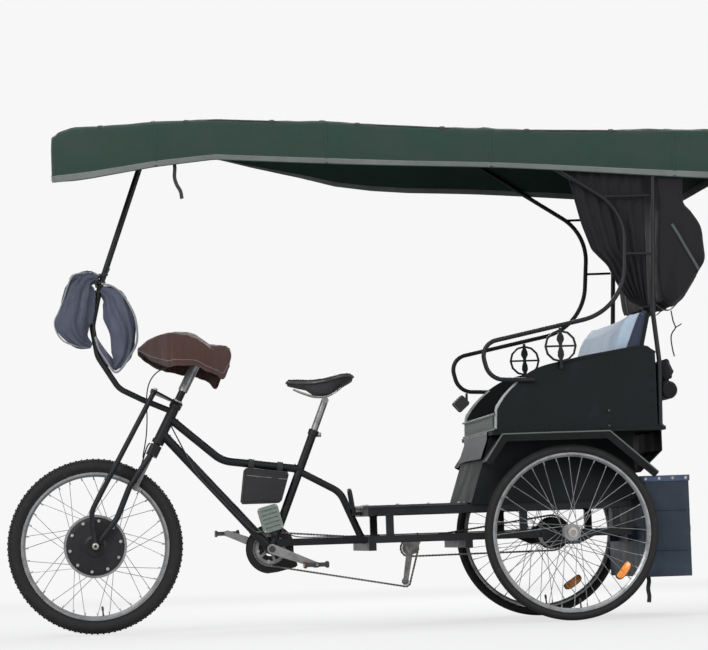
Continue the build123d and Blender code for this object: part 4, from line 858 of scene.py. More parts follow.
class Workshop:
    """Shared helpers: the pattern tree, small items and the last steps of each piece."""

    def __init__(self) -> None:
        """Builds the pattern tree and starts with no small items, which are made on first use."""
        self.pattern = Pattern("copies_along_a_line")
        self.items: dict[str, bpy.types.Object] = {}
        self.made: list[bpy.types.Object] = []

    def item(self, name: str, sketch: Callable[[], MeshSketch]) -> bpy.types.Object:
        """A small item for the pattern, made on first use."""
        if name not in self.items:
            self.items[name] = sketch().build("item_" + name)
        return self.items[name]

    def hex_bolt(self, radius: float = 0.0065, height: float = 0.005) -> bpy.types.Object:
        """A domed hexagon bolt head with its washer, top along Z."""

        def sketch() -> MeshSketch:
            """The washer, and the head on it."""
            part = MeshSketch()
            part.turned([(radius * 1.45, 0.0), (radius * 1.45, 0.0012), (radius * 0.9, 0.0012)],
                        (0, 0, 0), (0, 0, 1), 14)
            part.turned([(radius, 0.0012), (radius, height * 0.8), (radius * 0.8, height)],
                        (0, 0, 0), (0, 0, 1), 6)
            return part

        return self.item(f"bolt_{radius:.4f}", sketch)

    def rivet(self, radius: float = 0.0042) -> bpy.types.Object:
        """A round-headed rivet, top along Z."""

        def sketch() -> MeshSketch:
            """The head alone."""
            return MeshSketch().turned([(radius, -0.0004), (radius * 0.96, 0.0006), (radius * 0.6, 0.0017),
                                        (radius * 0.2, 0.0021)], (0, 0, 0), (0, 0, 1), 10)

        return self.item(f"rivet_{radius:.4f}", sketch)

    def stitch(self, length: float = 0.004, width: float = 0.0009) -> bpy.types.Object:
        """One stitch: a short thread that dives into the cloth at both ends."""

        def sketch() -> MeshSketch:
            """The thread, thinner at its ends."""
            half = length / 2
            line = [(-half, 0, -width), (-half * 0.6, 0, width * 0.5), (0, 0, width * 0.9),
                    (half * 0.6, 0, width * 0.5), (half, 0, -width)]
            return MeshSketch().tube(line, [width * 0.5, width, width, width, width * 0.5], 5)

        return self.item(f"stitch_{length:.4f}_{width:.4f}", sketch)

    def bead(self, radius: float = 0.0024) -> bpy.types.Object:
        """One ripple of a weld."""

        def sketch() -> MeshSketch:
            """A flattened ball, open at both ends."""
            profile = [(radius * math.sin(a), radius * 0.8 * -math.cos(a))
                       for a in (0.35, 0.9, 1.57, 2.24, 2.8)]
            return MeshSketch().turned(profile, (0, 0, 0), (0, 0, 1), 7)

        return self.item(f"bead_{radius:.4f}", sketch)

    def finish(self, obj: bpy.types.Object, body: str, slot: str, paint: Optional[Finish],
               replaces: Sequence[str] = ()) -> bpy.types.Object:
        """Gives a piece its finish and the body that it moves with.

        Args:
            obj: the piece.
            body: the body that carries it.
            slot: not used.
            paint: its finish, or None where it has its own already.
            replaces: the nodes that it stands for.

        Returns:
            The piece.
        """
        if paint is not None:
            obj.data.materials.clear()
            obj.data.materials.append(paint.make())
        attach(obj, body)
        if replaces:
            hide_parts(*replaces)
        self.made.append(obj)
        LOG.info("%s: %d faces on %s", obj.name, len(obj.data.polygons), body)
        return obj

    def copies(self, name: str, line: Sequence[Point], item: bpy.types.Object, count: int, paint: Finish,
               body: str, slot: str, stands_for: Sequence[str] = (), **how) -> bpy.types.Object:
        """Lays copies of a small item along a line and finishes them as one piece.

        Args:
            name: the new piece's name.
            line: points of the line.
            item: the small item.
            count: how many copies.
            paint: the finish of the copies.
            body: the body that carries them.
            slot: the record's material slot.
            stands_for: the nodes that they stand for.
            how: what else the pattern takes, such as closed, centre, axis, up, jitter and seed.

        Returns:
            The new piece.
        """
        made = self.pattern.lay(name, line, item, count, paint, **how)
        return self.finish(made, body, slot, None, stands_for)

    def weld(self, name: str, line: Sequence[Point], body: str, radius: float = 0.0022,
             slot: str = "black_metal") -> bpy.types.Object:
        """A rippled weld along a closed line round a joint of two tubes."""
        length = sum((Vector(a) - Vector(b)).length for a, b in zip(line, list(line[1:]) + [line[0]]))
        centre = sum((Vector(p) for p in line), Vector()) / len(line)
        return self.copies(name, line, self.bead(radius), max(8, int(length / (radius * 1.1))),
                           Paint.FRAME, body, slot, closed=True, centre=centre, jitter=0.18, seed=7)

    def paint_node(self, node: str, paint: Finish) -> None:
        """Gives a solid of the frame a finish."""
        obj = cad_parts[node]
        obj.data.materials.clear()
        obj.data.materials.append(paint.make())

    def clear_up(self) -> None:
        """Removes the small items once every copy is made."""
        for obj in self.items.values():
            drop(obj)
        self.items.clear()


def ring_line(centre: Point, axis: Point, radius: float, steps: int = 48) -> list[Vector]:
    """Points of a circle round an axis."""
    way = Vector(axis).normalized()
    side = way.orthogonal().normalized()
    lift = way.cross(side)
    return [Vector(centre) + side * (math.cos(math.tau * k / steps) * radius)
            + lift * (math.sin(math.tau * k / steps) * radius) for k in range(steps)]


class Tread(Enum):
    """The kinds of tyre tread on this vehicle."""

    BLOCKS = "blocks"
    RIBS = "ribs"


@dataclass
class Wheel:
    """A laced wheel: tyre with its tread, nipples, valve and reflectors.

    Attributes:
        name: what the pieces are named after.
        body: the body that it turns with.
        centre: the middle of its axle.
        outer: radius of the tread.
        seat: radius where the tyre meets the rim.
        rim_inner: inner radius of the rim.
        half: half the tyre's width.
        rim_half: half the rim's width.
        tread: the kind of tread.
        reflectors: angles of the spoke reflectors, in degrees.
        spokes: how many spokes it has.
    """

    name: str
    body: str
    centre: Vector
    outer: float
    seat: float
    rim_inner: float
    half: float
    rim_half: float
    tread: Tread
    reflectors: tuple[float, ...] = ()
    spokes: int = 36

    def build(self, shop: Workshop) -> None:
        """Makes every piece of the wheel."""
        self._tyre(shop)
        self._nipples(shop)
        self._valve(shop)
        for number, angle in enumerate(self.reflectors):
            self._reflector(shop, number, angle)

    def _at(self, angle: float, radius: float, y: float = 0.0) -> Vector:
        """A point of the wheel at an angle, a radius and a distance to the right."""
        return self.centre + Vector((math.cos(angle) * radius, y, math.sin(angle) * radius))

    def _section(self) -> list[tuple[float, float]]:
        """The tyre's closed section as (radius, distance to the right)."""
        tall = self.outer - self.seat
        casing = self.outer - (0.0035 if self.tread is Tread.BLOCKS else 0.0012)
        out = [(self.seat + 0.0006, -self.rim_half + 0.0015)]
        for k in range(17):
            a = -0.62 * math.pi + 1.24 * math.pi * k / 16
            reach = (casing - self.seat - tall * 0.46)
            out.append((self.seat + tall * 0.46 + math.cos(a) * reach, math.sin(a) * self.half))
        out.append((self.seat + 0.0006, self.rim_half - 0.0015))
        out.append((self.seat + 0.0050, self.rim_half * 0.5))
        out.append((self.seat + 0.0050, -self.rim_half * 0.5))
        return out

    def _tyre(self, shop: Workshop) -> None:
        """The casing with its bead lines, and the tread."""
        casing = MeshSketch()
        section = self._section()
        casing.turned(section, self.centre, (0, 1, 0), 128, loop=True)
        for side in (-1, 1):
            ring = ring_line(self.centre + Vector((0, side * (self.rim_half + 0.0022), 0)), (0, 1, 0),
                             self.seat + 0.004, 128)
            casing.tube(ring, 0.0012, 6, closed=True)
        casing_obj = casing.build(self.name + "_casing")
        shop.finish(casing_obj, self.body, "tyre", Paint.TYRE, (self.name,))
        if self.tread is Tread.BLOCKS:
            self._blocks(shop)
        else:
            self._ribs(shop)

    def _blocks(self, shop: Workshop) -> None:
        """Rows of square blocks, the outer ones turned down over the shoulder."""

        def block(long: float, wide: float, tall: float) -> MeshSketch:
            """One block with sloping sides and a bevelled top."""
            corners = ((-1, -1), (1, -1), (1, 1), (-1, 1))
            levels = ((1.0, -tall), (0.92, tall * 0.8), (0.8, tall))
            return MeshSketch().rings([[(x * long / 2 * keep, y * wide / 2 * keep, z) for x, y in corners]
                                       for keep, z in levels])

        count = 96
        # Name, distance to the right, length, width, and phase as a share of a step
        rows = (("mid", 0.0, 0.0100, 0.0075, 0.0), ("in_l", -0.0105, 0.0085, 0.0070, 0.5),
                ("in_r", 0.0105, 0.0085, 0.0070, 0.5), ("out_l", -0.0195, 0.0100, 0.0065, 0.0),
                ("out_r", 0.0195, 0.0100, 0.0065, 0.0))
        for label, y, long, wide, phase in rows:
            drop_in = (y / self.half) ** 2 * 0.0150
            radius = self.outer - 0.0018 - drop_in
            start = phase * math.tau / count
            line = [self._at(start + math.tau * k / 192, radius, y) for k in range(192)]
            item = shop.item(f"block_{wide:.4f}_{long:.4f}", lambda: block(long, wide, 0.0018))
            shop.copies(f"{self.name}_tread_{label}", line, item, count, Paint.TYRE, self.body, "tyre",
                        closed=True, centre=self.centre + Vector((0, y * 0.2, 0)),
                        axis=(0, 0, 0) if abs(y) > 0.001 else (0, 1, 0), jitter=0.02, seed=3)

    def _ribs(self, shop: Workshop) -> None:
        """Three ribs round the crown, with short cross cuts between them."""
        ribs = MeshSketch()
        for y, radius in ((0.0, self.outer - 0.0010), (-0.0065, self.outer - 0.0019),
                          (0.0065, self.outer - 0.0019)):
            ring = [self._at(math.tau * k / 160, radius, y) for k in range(160)]
            ribs.tube(ring, 0.0016, 6, closed=True, flat=0.6, up=(0, 1, 0))
        shop.finish(ribs.build(self.name + "_ribs"), self.body, "tyre", Paint.TYRE)
        cut = shop.item("rib_bar",
                        lambda: MeshSketch().box((-0.0009, -0.0028, -0.0006), (0.0009, 0.0028, 0.0007)))
        for label, y in (("left", -0.0108), ("right", 0.0108)):
            line = [self._at(math.tau * k / 160, self.outer - 0.0040, y) for k in range(160)]
            shop.copies(f"{self.name}_bars_{label}", line, cut, 220, Paint.TYRE, self.body, "tyre",
                        closed=True, centre=self.centre, jitter=0.05, seed=5)

    def _nipples(self, shop: Workshop) -> None:
        """Nipples where the spokes meet the rim."""

        def sketch() -> MeshSketch:
            """One nipple, its head in the rim."""
            return MeshSketch().turned([(0.0026, 0.001), (0.0026, -0.003), (0.0019, -0.0045),
                                        (0.0019, -0.013)], (0, 0, 0), (0, 0, 1), 7)

        line = [self._at(math.tau * k / self.spokes, self.rim_inner + 0.001) for k in range(self.spokes)]
        shop.copies(self.name.replace("tyre", "nipples"), line, shop.item("nipple", sketch), self.spokes,
                    Paint.ZINC, self.body, "rim", closed=True, centre=self.centre)

    def _valve(self, shop: Workshop) -> None:
        """The valve and its cap, between two spokes."""
        angle = math.tau * (self.spokes * 0.75 + 0.5) / self.spokes
        root = self._at(angle, self.rim_inner + 0.001)
        way = (self.centre - root).normalized()
        part = MeshSketch().turned([(0.0050, 0.0), (0.0050, 0.0025), (0.0031, 0.003), (0.0031, 0.020),
                                    (0.0045, 0.021), (0.0045, 0.034), (0.0028, 0.037)], root, way, 12)
        shop.finish(part.build(self.name.replace("tyre", "valve")), self.body, "rim", Paint.BLACK_PLASTIC)

    def _reflector(self, shop: Workshop, number: int, degrees: float) -> None:
        """An amber reflector clipped between the spokes."""
        angle = math.radians(degrees)
        middle = self._at(angle, self.rim_inner * 0.86)
        out = (middle - self.centre).normalized()
        side = Vector((0, 1, 0))
        along = out.cross(side)
        for label, paint, scale, thick in (("case", Paint.BLACK_PLASTIC, 1.0, 0.0052),
                                           ("lens", Paint.AMBER, 0.88, 0.0062)):
            rings = []
            for y, shrink in ((-thick, 0.94), (-thick * 0.8, 1.0), (thick * 0.8, 1.0), (thick, 0.94)):
                ring = []
                for k in range(28):
                    a = math.tau * k / 28
                    u = blunt(math.cos(a), 0.6) * 0.040 * scale * shrink
                    v = blunt(math.sin(a), 0.6) * 0.016 * scale * shrink
                    bend = -(u * u) / (2 * self.rim_inner * 0.86)
                    ring.append(middle + along * u + out * (v + bend) + side * y)
                rings.append(ring)
            name = self.name.replace("tyre", "reflector")
            obj = MeshSketch().rings(rings).build(f"{name}_{number}_{label}")
            shop.finish(obj, self.body, "rim", paint)


@dataclass
class RunningGear:
    """The three wheels, the hub motor's bolts, and the nuts on the axles.

    Attributes:
        front_centre: the middle of the front axle.
        rear_centres: the middle of each rear wheel.
    """

    front_centre: Vector = field(default_factory=lambda: Vector((FRONT_X, 0, 0.336)))
    rear_centres: dict = field(default_factory=lambda: {
        "left": Vector((REAR_X, -0.440, 0.328)), "right": Vector((REAR_X, 0.440, 0.328))})

    def build(self, shop: Workshop) -> None:
        """Makes the wheels and dresses their solids."""
        Wheel("front_tyre", "front_wheel", self.front_centre, outer=0.336, seat=0.283, rim_inner=0.266,
              half=0.0275, rim_half=0.015, tread=Tread.BLOCKS).build(shop)
        for side, centre in self.rear_centres.items():
            Wheel(f"rear_tyre_{side}", f"rear_wheel_{side}", centre, outer=0.328, seat=0.298,
                  rim_inner=0.283, half=0.018, rim_half=0.012, tread=Tread.RIBS,
                  reflectors=(-37.8,) if side == "left" else (-56.2,)).build(shop)
            shop.paint_node(f"rear_rim_{side}", Paint.RIM)
            shop.paint_node(f"half_shaft_{side}", Paint.STEEL)
            self._hub_nut(shop, side, centre)
        shop.paint_node("front_rim", Paint.RIM)
        shop.paint_node("hub_motor", Paint.MOTOR)
        self._motor_screws(shop)
        self._axle_nuts(shop)

    def _motor_screws(self, shop: Workshop) -> None:
        """Hexagon bolts round both covers of the motor."""
        for label, side in (("left", -1), ("right", 1)):
            line = ring_line(self.front_centre + Vector((0, side * 0.0395, 0)), (0, 1, 0), 0.098)
            shop.copies(f"motor_screws_{label}", line, shop.hex_bolt(0.0042, 0.0034), 10, Paint.ZINC,
                        "front_wheel", "motor", closed=True, up=(0, side, 0))

    def _axle_nuts(self, shop: Workshop) -> None:
        """Domed nuts and washers on the fixed axle of the motor."""
        part = MeshSketch()
        for side in (-1, 1):
            root = self.front_centre + Vector((0, side * 0.0945, 0))
            part.turned([(0.0062, 0.0), (0.0125, 0.0), (0.0125, 0.0015), (0.0062, 0.0015)], root,
                        (0, side, 0), 20)
            part.turned([(0.0062, 0.0015), (0.0105, 0.0015), (0.0105, 0.0085), (0.0062, 0.0110)],
                        root, (0, side, 0), 6)
        shop.finish(part.build("front_axle_nuts", bevel=0.0004), "steering", "steel", Paint.ZINC)

    def _hub_nut(self, shop: Workshop, side: str, centre: Vector) -> None:
        """A washer and a nut on the end of a half shaft."""
        way = -1 if side == "left" else 1
        root = centre + Vector((0, way * 0.0365, 0))
        part = MeshSketch()
        part.turned([(0.0102, 0.0), (0.0190, 0.0), (0.0190, 0.002), (0.0102, 0.002)], root, (0, way, 0), 24)
        part.turned([(0.0102, 0.002), (0.0155, 0.002), (0.0155, 0.0045), (0.0102, 0.006)], root,
                    (0, way, 0), 6)
        shop.finish(part.build(f"hub_nut_{side}"), f"rear_wheel_{side}", "steel", Paint.ZINC)


def resample(line: Sequence[Point], count: int) -> list[Vector]:
    """Points at even steps round a closed line."""
    pts = [Vector(p) for p in line]
    pts.append(pts[0])
    marks = [0.0]
    for a, b in zip(pts, pts[1:]):
        marks.append(marks[-1] + (b - a).length)
    at = np.linspace(0.0, marks[-1], count, endpoint=False)
    return [Vector(tuple(float(np.interp(s, marks, [p[axis] for p in pts])) for axis in range(3)))
            for s in at]


def cable(name: str, points: Sequence[Point], diameter: float, body: str) -> bpy.types.Object:
    """A sheathed cable whose two ends go into the vehicle: a smooth curve through control points.

    Args:
        name: the piece's name.
        points: the route's points in metres.
        diameter: its thickness in metres.
        body: the body that it moves with.

    Returns:
        The cable.
    """
    data = bpy.data.curves.new(name, "CURVE")
    data.dimensions = "3D"
    run = data.splines.new("NURBS")
    run.points.add(len(points) - 1)
    for knot, p in zip(run.points, points):
        knot.co = (*p, 1.0)
    run.order_u = 3
    run.use_endpoint_u = True
    run.resolution_u = 8
    obj = bpy.data.objects.new(name, data)
    bpy.context.scene.collection.objects.link(obj)
    bpy.context.view_layer.update()
    bare = bpy.data.meshes.new_from_object(obj.evaluated_get(bpy.context.evaluated_depsgraph_get()))
    bpy.data.meshes.remove(bare)
    data.bevel_depth = diameter / 2
    data.bevel_resolution = 3
    data.use_fill_caps = True
    data.materials.append(Paint.CABLE.make())
    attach(obj, body)
    tuple(points[0])
    return obj


@dataclass
class Drive:
    """Roller chains, crank caps, chainring bolts, and the pedals' teeth, caps and reflectors.

    Attributes:
        pitch: distance between two chain pins, in metres.
        bracket: X and Z of the crank axle, in millimetres.
        pedals: X and Z of each pedal, and its side.
    """

    pitch: float = 0.0127
    bracket: tuple[float, float] = BRACKET
    pedals: tuple = (("left", -1, 835.4, 237.7), ("right", 1, 510.6, 368.3))

    def build(self, shop: Workshop) -> None:
        """Makes every piece of the drive."""
        # X, Z and pitch radius of each toothed ring that a chain goes round
        jack_ring = (1214.0, 288.0, 32.3)
        front = ((*self.bracket, 64.3), jack_ring, (1192.0, 160.0, 19.3))
        rear = (jack_ring, (1773.0, 328.0, 68.3))
        self._chain(shop, "front_chain", front, 45.0, ("chains",))
        self._chain(shop, "rear_chain", rear, 78.0, ())
        self._crank(shop)
        for side, sign, x, z in self.pedals:
            self._pedal(shop, side, sign, x, z)

    def _plate(self, level: float, thick: float) -> MeshSketch:
        """Two waisted link plates, one each side of the middle."""
        half = self.pitch / 2
        outline = [(half + 0.0040, 0.0), (half + 0.0028, 0.0029), (half - 0.001, 0.0040), (0.0, 0.0027),
                   (-half + 0.001, 0.0040), (-half - 0.0028, 0.0029), (-half - 0.0040, 0.0),
                   (-half - 0.0028, -0.0029), (-half + 0.001, -0.0040), (0.0, -0.0027),
                   (half - 0.001, -0.0040), (half + 0.0028, -0.0029)]
        part = MeshSketch()
        for low in (level, -level - thick):
            part.prism([(x, y, low) for x, y in outline], (0, 0, thick))
        return part

    def _pins(self, part: MeshSketch, radius: float, half: float, sides: int) -> MeshSketch:
        """A round pin or roller at each end of a link."""
        for x in (-self.pitch / 2, self.pitch / 2):
            ring = [(x + radius * math.cos(math.tau * k / sides), radius * math.sin(math.tau * k / sides),
                     -half) for k in range(sides)]
            part.prism(ring, (0, 0, 2 * half))
        return part

    def _chain(self, shop: Workshop, name: str, stations: Sequence[tuple], y: float,
               stands_for: tuple) -> None:
        """A roller chain held tight round toothed rings, inner and outer links by turns."""
        line = []
        for k in range(1440):
            a = math.tau * k / 1440
            x, z, r = max(stations, key=lambda s: s[0] * math.cos(a) + s[1] * math.sin(a) + s[2])
            line.append(from_front(x + r * math.cos(a), z + r * math.sin(a), y))
        length = sum((a - b).length for a, b in zip(line, line[1:] + line[:1]))
        links = 2 * round(length / self.pitch / 2)
        even = resample(line, links * 4)
        outer = shop.item("outer_link", lambda: self._pins(self._plate(0.0030, 0.0009), 0.0017, 0.0043, 6))
        inner = shop.item("inner_link", lambda: self._pins(self._plate(0.0019, 0.0009), 0.0039, 0.0019, 8))
        for label, item, shift in (("outer", outer, 0), ("inner", inner, 4)):
            shop.copies(f"{name}_{label}_links", even[shift:] + even[:shift], item, links // 2,
                        Paint.CHAIN, "chassis", "steel", stands_for if label == "outer" else (),
                        closed=True, up=(0, 1, 0))

    def _crank(self, shop: Workshop) -> None:
        """Caps on the crank axle, and the bolts that hold the chainring."""
        part = MeshSketch()
        for side in (-1, 1):
            part.turned([(0.0125, 0.0), (0.0125, 0.0016), (0.0105, 0.0026), (0.0060, 0.0026),
                         (0.0052, 0.0014)], from_front(*self.bracket, side * 75.0), (0, side, 0), 24)
        shop.finish(part.build("crank_caps"), "crank", "black_metal", Paint.BLACK_PLASTIC)
        for label, y, way in (("outer", 47.0, 1), ("inner", 43.0, -1)):
            line = ring_line(from_front(*self.bracket, y), (0, 1, 0), 0.0475)
            shop.copies(f"chainring_bolts_{label}", line, shop.hex_bolt(0.0042, 0.0034), 5, Paint.ZINC,
                        "crank", "alloy", closed=True, up=(0, way, 0))

    def _pedal(self, shop: Workshop, side: str, sign: int, x: float, z: float) -> None:
        """Teeth on the cage, a bearing cap and two amber reflectors."""
        body = f"{side}_pedal"
        corners = ((-1, -1), (1, -1), (1, 1), (-1, 1))
        levels = ((0.0019, -0.0004), (0.0009, 0.0020))
        tooth = shop.item("pedal_tooth", lambda: MeshSketch().rings(
            [[(half * x, half * y, z) for x, y in corners] for half, z in levels]))
        for number, (dx, up) in enumerate(((-42, 1), (42, 1), (-42, -1), (42, -1))):
            line = [from_front(x + dx, z + up * 11.0, sign * 85.0),
                    from_front(x + dx, z + up * 11.0, sign * 165.0)]
            shop.copies(f"pedal_{side}_teeth_{number}", line, tooth, 14, Paint.BLACK_PLASTIC, body,
                        "black_metal", up=(0, 0, up))
        lens = MeshSketch()
        for dx in (-47.2, 47.2):
            low = from_front(x + dx - 1.2, z - 6.5, sign * 125.0 - 27.0)
            lens.box(low, low + Vector((0.0024, 0.054, 0.013)))
        shop.finish(lens.build(f"pedal_{side}_reflectors", bevel=0.0006), body, "black_metal", Paint.AMBER)
        cap = MeshSketch().turned([(0.0098, 0.0), (0.0098, 0.0014), (0.0080, 0.0030), (0.0030, 0.0036)],
                                  from_front(x, z, sign * 170.0), (0, sign, 0), 20)
        shop.finish(cap.build(f"pedal_{side}_cap"), body, "black_metal", Paint.BLACK_PLASTIC)


@dataclass
class FrontEnd:
    """What is on the fork, the head tube and the frame tubes: pads, welds, bolts and cables."""

    def build(self, shop: Workshop) -> None:
        """Makes every piece of the front end."""
        self._brake(shop)
        self._welds(shop)
        self._fasteners(shop)
        self._cables()

    def _brake(self, shop: Workshop) -> None:
        """The two brake blocks in their shoes."""
        pads, shoes = MeshSketch(), MeshSketch()
        for side in (-1, 1):
            for part, near, far, long, tall in ((pads, 17.4, 21.0, 27.0, 5.5),
                                                (shoes, 20.8, 23.4, 24.0, 6.5)):
                ring = [on_steering(265.7 + up * tall, ahead * long, side * near)
                        for ahead, up in ((-1, -0.6), (-0.9, -1), (0.9, -1), (1, -0.6), (1, 0.6),
                                          (0.9, 1), (-0.9, 1), (-1, 0.6))]
                part.prism(ring, (0, side * (far - near) / 1000.0, 0))
        shop.finish(pads.build("brake_pads", bevel=0.0006), "steering", "black_metal", Paint.PAD)
        shop.finish(shoes.build("brake_shoes", bevel=0.0005), "steering", "alloy", Paint.ALLOY)

    def _welds(self, shop: Workshop) -> None:
        """Rippled welds where the tubes meet."""
        bracket = from_front(*BRACKET)
        seat_way = (from_front(*SEAT_TUBE_TOP) - bracket).normalized()
        bend = from_front(495, 648)
        joint = bracket + seat_way * ((0.607 - 0.303) / seat_way.z)
        # Name, joint, a point further along the tube, the weld's radius and its distance from the joint
        rows = (
            ("weld_top_head", on_steering(565), bend, 0.0165, 0.027),
            ("weld_down_head", on_steering(500), bracket, 0.0185, 0.027),
            ("weld_top_seat", joint, bend, 0.0165, 0.021),
            ("weld_seat_bracket", bracket, from_front(*SEAT_TUBE_TOP), 0.0165, 0.022),
            ("weld_down_bracket", bracket, on_steering(500), 0.0185, 0.022),
            ("weld_brace_beam", from_front(1026, 326), from_front(946, 513), 0.0145, 0.017),
        )
        for name, root, far, radius, stand in rows:
            way = (Vector(far) - Vector(root)).normalized()
            shop.weld(name, ring_line(Vector(root) + way * stand, way, radius, 40), "chassis")
        for height, z, up in (("low", 326.0, 1), ("high", 431.0, -1)):
            for hand, side in (("left", -1), ("right", 1)):
                for x in (1102.0, 1608.0, 1960.0):
                    ring = [from_front(x + dx, z + up * 14.5, side * (330.0 + dy))
                            for dx, dy in ((-14, -14), (14, -14), (14, 14), (-14, 14))]
                    shop.weld(f"weld_strut_{height}_{hand}_{int(x)}", ring, "chassis", 0.0024)

    def _fasteners(self, shop: Workshop) -> None:
        """Nuts on the yoke, the seat collar's bolt and the clips of the cable under the beam."""
        part = MeshSketch()
        for side in (-1, 1):
            part.turned([(0.0100, 0.0), (0.0100, 0.0050), (0.0070, 0.0075)],
                        on_steering(634.0, 97.0, side * 85.0), on_steering(700) - on_steering(600), 6)
        part.turned([(0.0200, 0.0), (0.0200, 0.0060), (0.0165, 0.0070)], on_steering(634.0, 0.0, 0.0),
                    on_steering(700) - on_steering(600), 8)
        shop.finish(part.build("yoke_nuts", bevel=0.0005), "steering", "steel", Paint.ZINC)
        collar = MeshSketch()
        bracket = from_front(*BRACKET)
        way = (from_front(*SEAT_TUBE_TOP) - bracket).normalized()
        top = from_front(*SEAT_TUBE_TOP) - way * 0.010
        behind = Vector((way.z, 0, -way.x))
        for side in (-1, 1):
            ear = top + behind * 0.024 + Vector((0, side * 0.0045, 0))
            collar.box(ear - Vector((0.008, 0.003, 0.009)), ear + Vector((0.008, 0.003, 0.009)))
        pin = top + behind * 0.026
        collar.tube([pin + Vector((0, -0.015, 0)), pin + Vector((0, 0.015, 0))], 0.0032, 8)
        collar.turned([(0.0055, 0.0), (0.0055, 0.004), (0.0030, 0.005)], pin + Vector((0, -0.013, 0)),
                      (0, -1, 0), 6)
        shop.finish(collar.build("seat_collar_bolt", bevel=0.0004), "chassis", "steel", Paint.STEEL)
        guide = MeshSketch()
        for x in (1090.0, 1240.0, 1390.0, 1540.0, 1690.0):
            ring = [from_front(x, 341.6 + 4.2 * math.sin(a), -6.0 + 5.0 * math.cos(a))
                    for a in turns(13)]
            guide.add(*CanopyCover._loop(ring, 0.005, along=(1, 0, 0), thick=0.0010))
        shop.finish(guide.build("cable_clips"), "chassis", "black_metal", Paint.BLACK_PLASTIC)

    def _cables(self) -> None:
        """The motor, brake and control cables that the vehicle holds along their way."""
        motor = places((2, 336, 106), (2, 338, 118), (6, 352, 122), (22, 380, 112), (56, 412, 96),
                       (90, 450, 92), (116, 500, 92), (142, 552, 91), (168, 606, 90), (190, 650, 84))
        cable("motor_cable", motor + steering_places((440, 33, 44), (446, 26, 8)), 0.0055, "steering")
        cable("front_brake_cable", steering_places(
            (770, 60, -70), (745, 86, -62), (700, 124, -46), (650, 132, -26), (590, 112, -10),
            (530, 78, -4), (470, 52, -2), (425, 38, -2), (398, 31, -2), (384, 26, -2)), 0.0048, "steering")
        cable("beam_cable",
              places((712, 372, -24), (752, 350, -22), (800, 343, -14), (880, 342.6, -6),
                     (1000, 342.6, -6), (1120, 342.6, -6), (1240, 342.6, -6), (1360, 342.6, -6),
                     (1480, 342.6, -6), (1600, 342.6, -6), (1680, 343, -6), (1716, 350, -6),
                     (1736, 366, -6), (1750, 377, -6)), 0.0046, "chassis")
        head = steering_places((540, -19, -14), (528, -34, -18), (512, -56, -21))
        down = places((392, 602, -21), (448, 542, -21), (504, 482, -21), (560, 422, -21), (608, 371, -21),
                      (634, 366, -26), (650, 378, -32))
        cable("down_tube_cable", head + down, 0.0052, "chassis")


# Columns: X from the front axle, Z of the canopy's top edge, Z of the valance's lower edge
CANOPY_STATIONS = (
    (-125.0, 1868.0, 1697.0), (-40.0, 1900.0, 1700.0), (480.0, 1922.0, 1754.0),
    (915.0, 1900.0, 1733.0), (1550.0, 1858.0, 1698.0), (2400.0, 1835.0, 1640.0),
)
BOW_STATIONS = (-95.0, 262.0, 900.0, 1520.0, 2140.0, 2370.0)
SEAM_STATIONS = (262.0, 900.0, 1520.0, 2216.0)
# The ends of the roof cloth, and its distance from the middle plane at the rails
ROOF_FRONT = -112.0
ROOF_REAR = 2388.0
ROOF_EDGE = 442.6


def station_height(x: float, column: int) -> float:
    """Height read from the canopy's stations at a distance behind the front axle.

    Args:
        x: distance behind the front axle, in millimetres.
        column: 1 for the top edge, 2 for the valance's lower edge.

    Returns:
        The height in millimetres.
    """
    rows = CANOPY_STATIONS
    for a, b in zip(rows, rows[1:]):
        if x <= b[0]:
            return a[column] + (b[column] - a[column]) * (max(x, a[0]) - a[0]) / (b[0] - a[0])
    return rows[-1][column]


def hem_columns(top: Callable[[float, float], Vector],
                cuts: tuple[int, int]) -> list[tuple[Vector, Vector, float]]:
    """The head of each column of a hem, with its outward way and its share round.

    Args:
        top: gives a point of the top from two shares from 0 to 1.
        cuts: faces of the top along and across.

    Returns:
        One row for each column, once round the edge of the top.
    """
    nu, nv = cuts
    loop = [(i, 0) for i in range(nu + 1)] + [(nu, j) for j in range(1, nv + 1)]
    loop += [(i, nv) for i in range(nu - 1, -1, -1)] + [(0, j) for j in range(nv - 1, 0, -1)]
    heads = [top(i / nu, j / nv) for i, j in loop]
    columns = []
    for k, head in enumerate(heads):
        way = heads[(k + 2) % len(heads)] - heads[k - 2]
        columns.append((head, Vector((way.y, -way.x, 0.0)).normalized(), k / len(heads)))
    return columns


def hood(top: Callable[[float, float], Vector], drop: Callable[[Vector, Vector, float, float], Vector],
         cuts: tuple[int, int], rows: int) -> MeshSketch:
    """A sheet with a flat top and a hem that hangs all round it.

    Args:
        top: gives a point of the top from two shares from 0 to 1.
        drop: gives a point of the hem from its head, its outward way, its share round and its share down.
        cuts: faces of the top along and across.
        rows: rows of faces in the hem.

    Returns:
        The sheet as one layer of faces.
    """
    nu, nv = cuts
    grid = [[top(i / nu, j / nv) for j in range(nv + 1)] for i in range(nu + 1)]
    sketch = MeshSketch().rings(grid, around=False, caps=False)
    columns = hem_columns(top, cuts)
    hem = [[drop(head, out, share, r / rows) if r else head for head, out, share in columns]
           for r in range(rows + 1)]
    return sketch.rings(hem, around=True, caps=False)


def thicken(obj: bpy.types.Object, thick: float, levels: int = 0) -> None:
    """Gives a single layer of cloth its thickness and rounds it off.

    Args:
        obj: the layer.
        thick: its thickness in metres.
        levels: levels of subdivision.
    """
    body = obj.modifiers.new("thick", "SOLIDIFY")
    body.thickness = thick
    body.offset = 0.0
    body.use_even_offset = False
    if levels:
        more = obj.modifiers.new("round", "SUBSURF")
        more.levels = levels
        more.render_levels = levels
    settle(obj)
    soften(obj, 60.0)


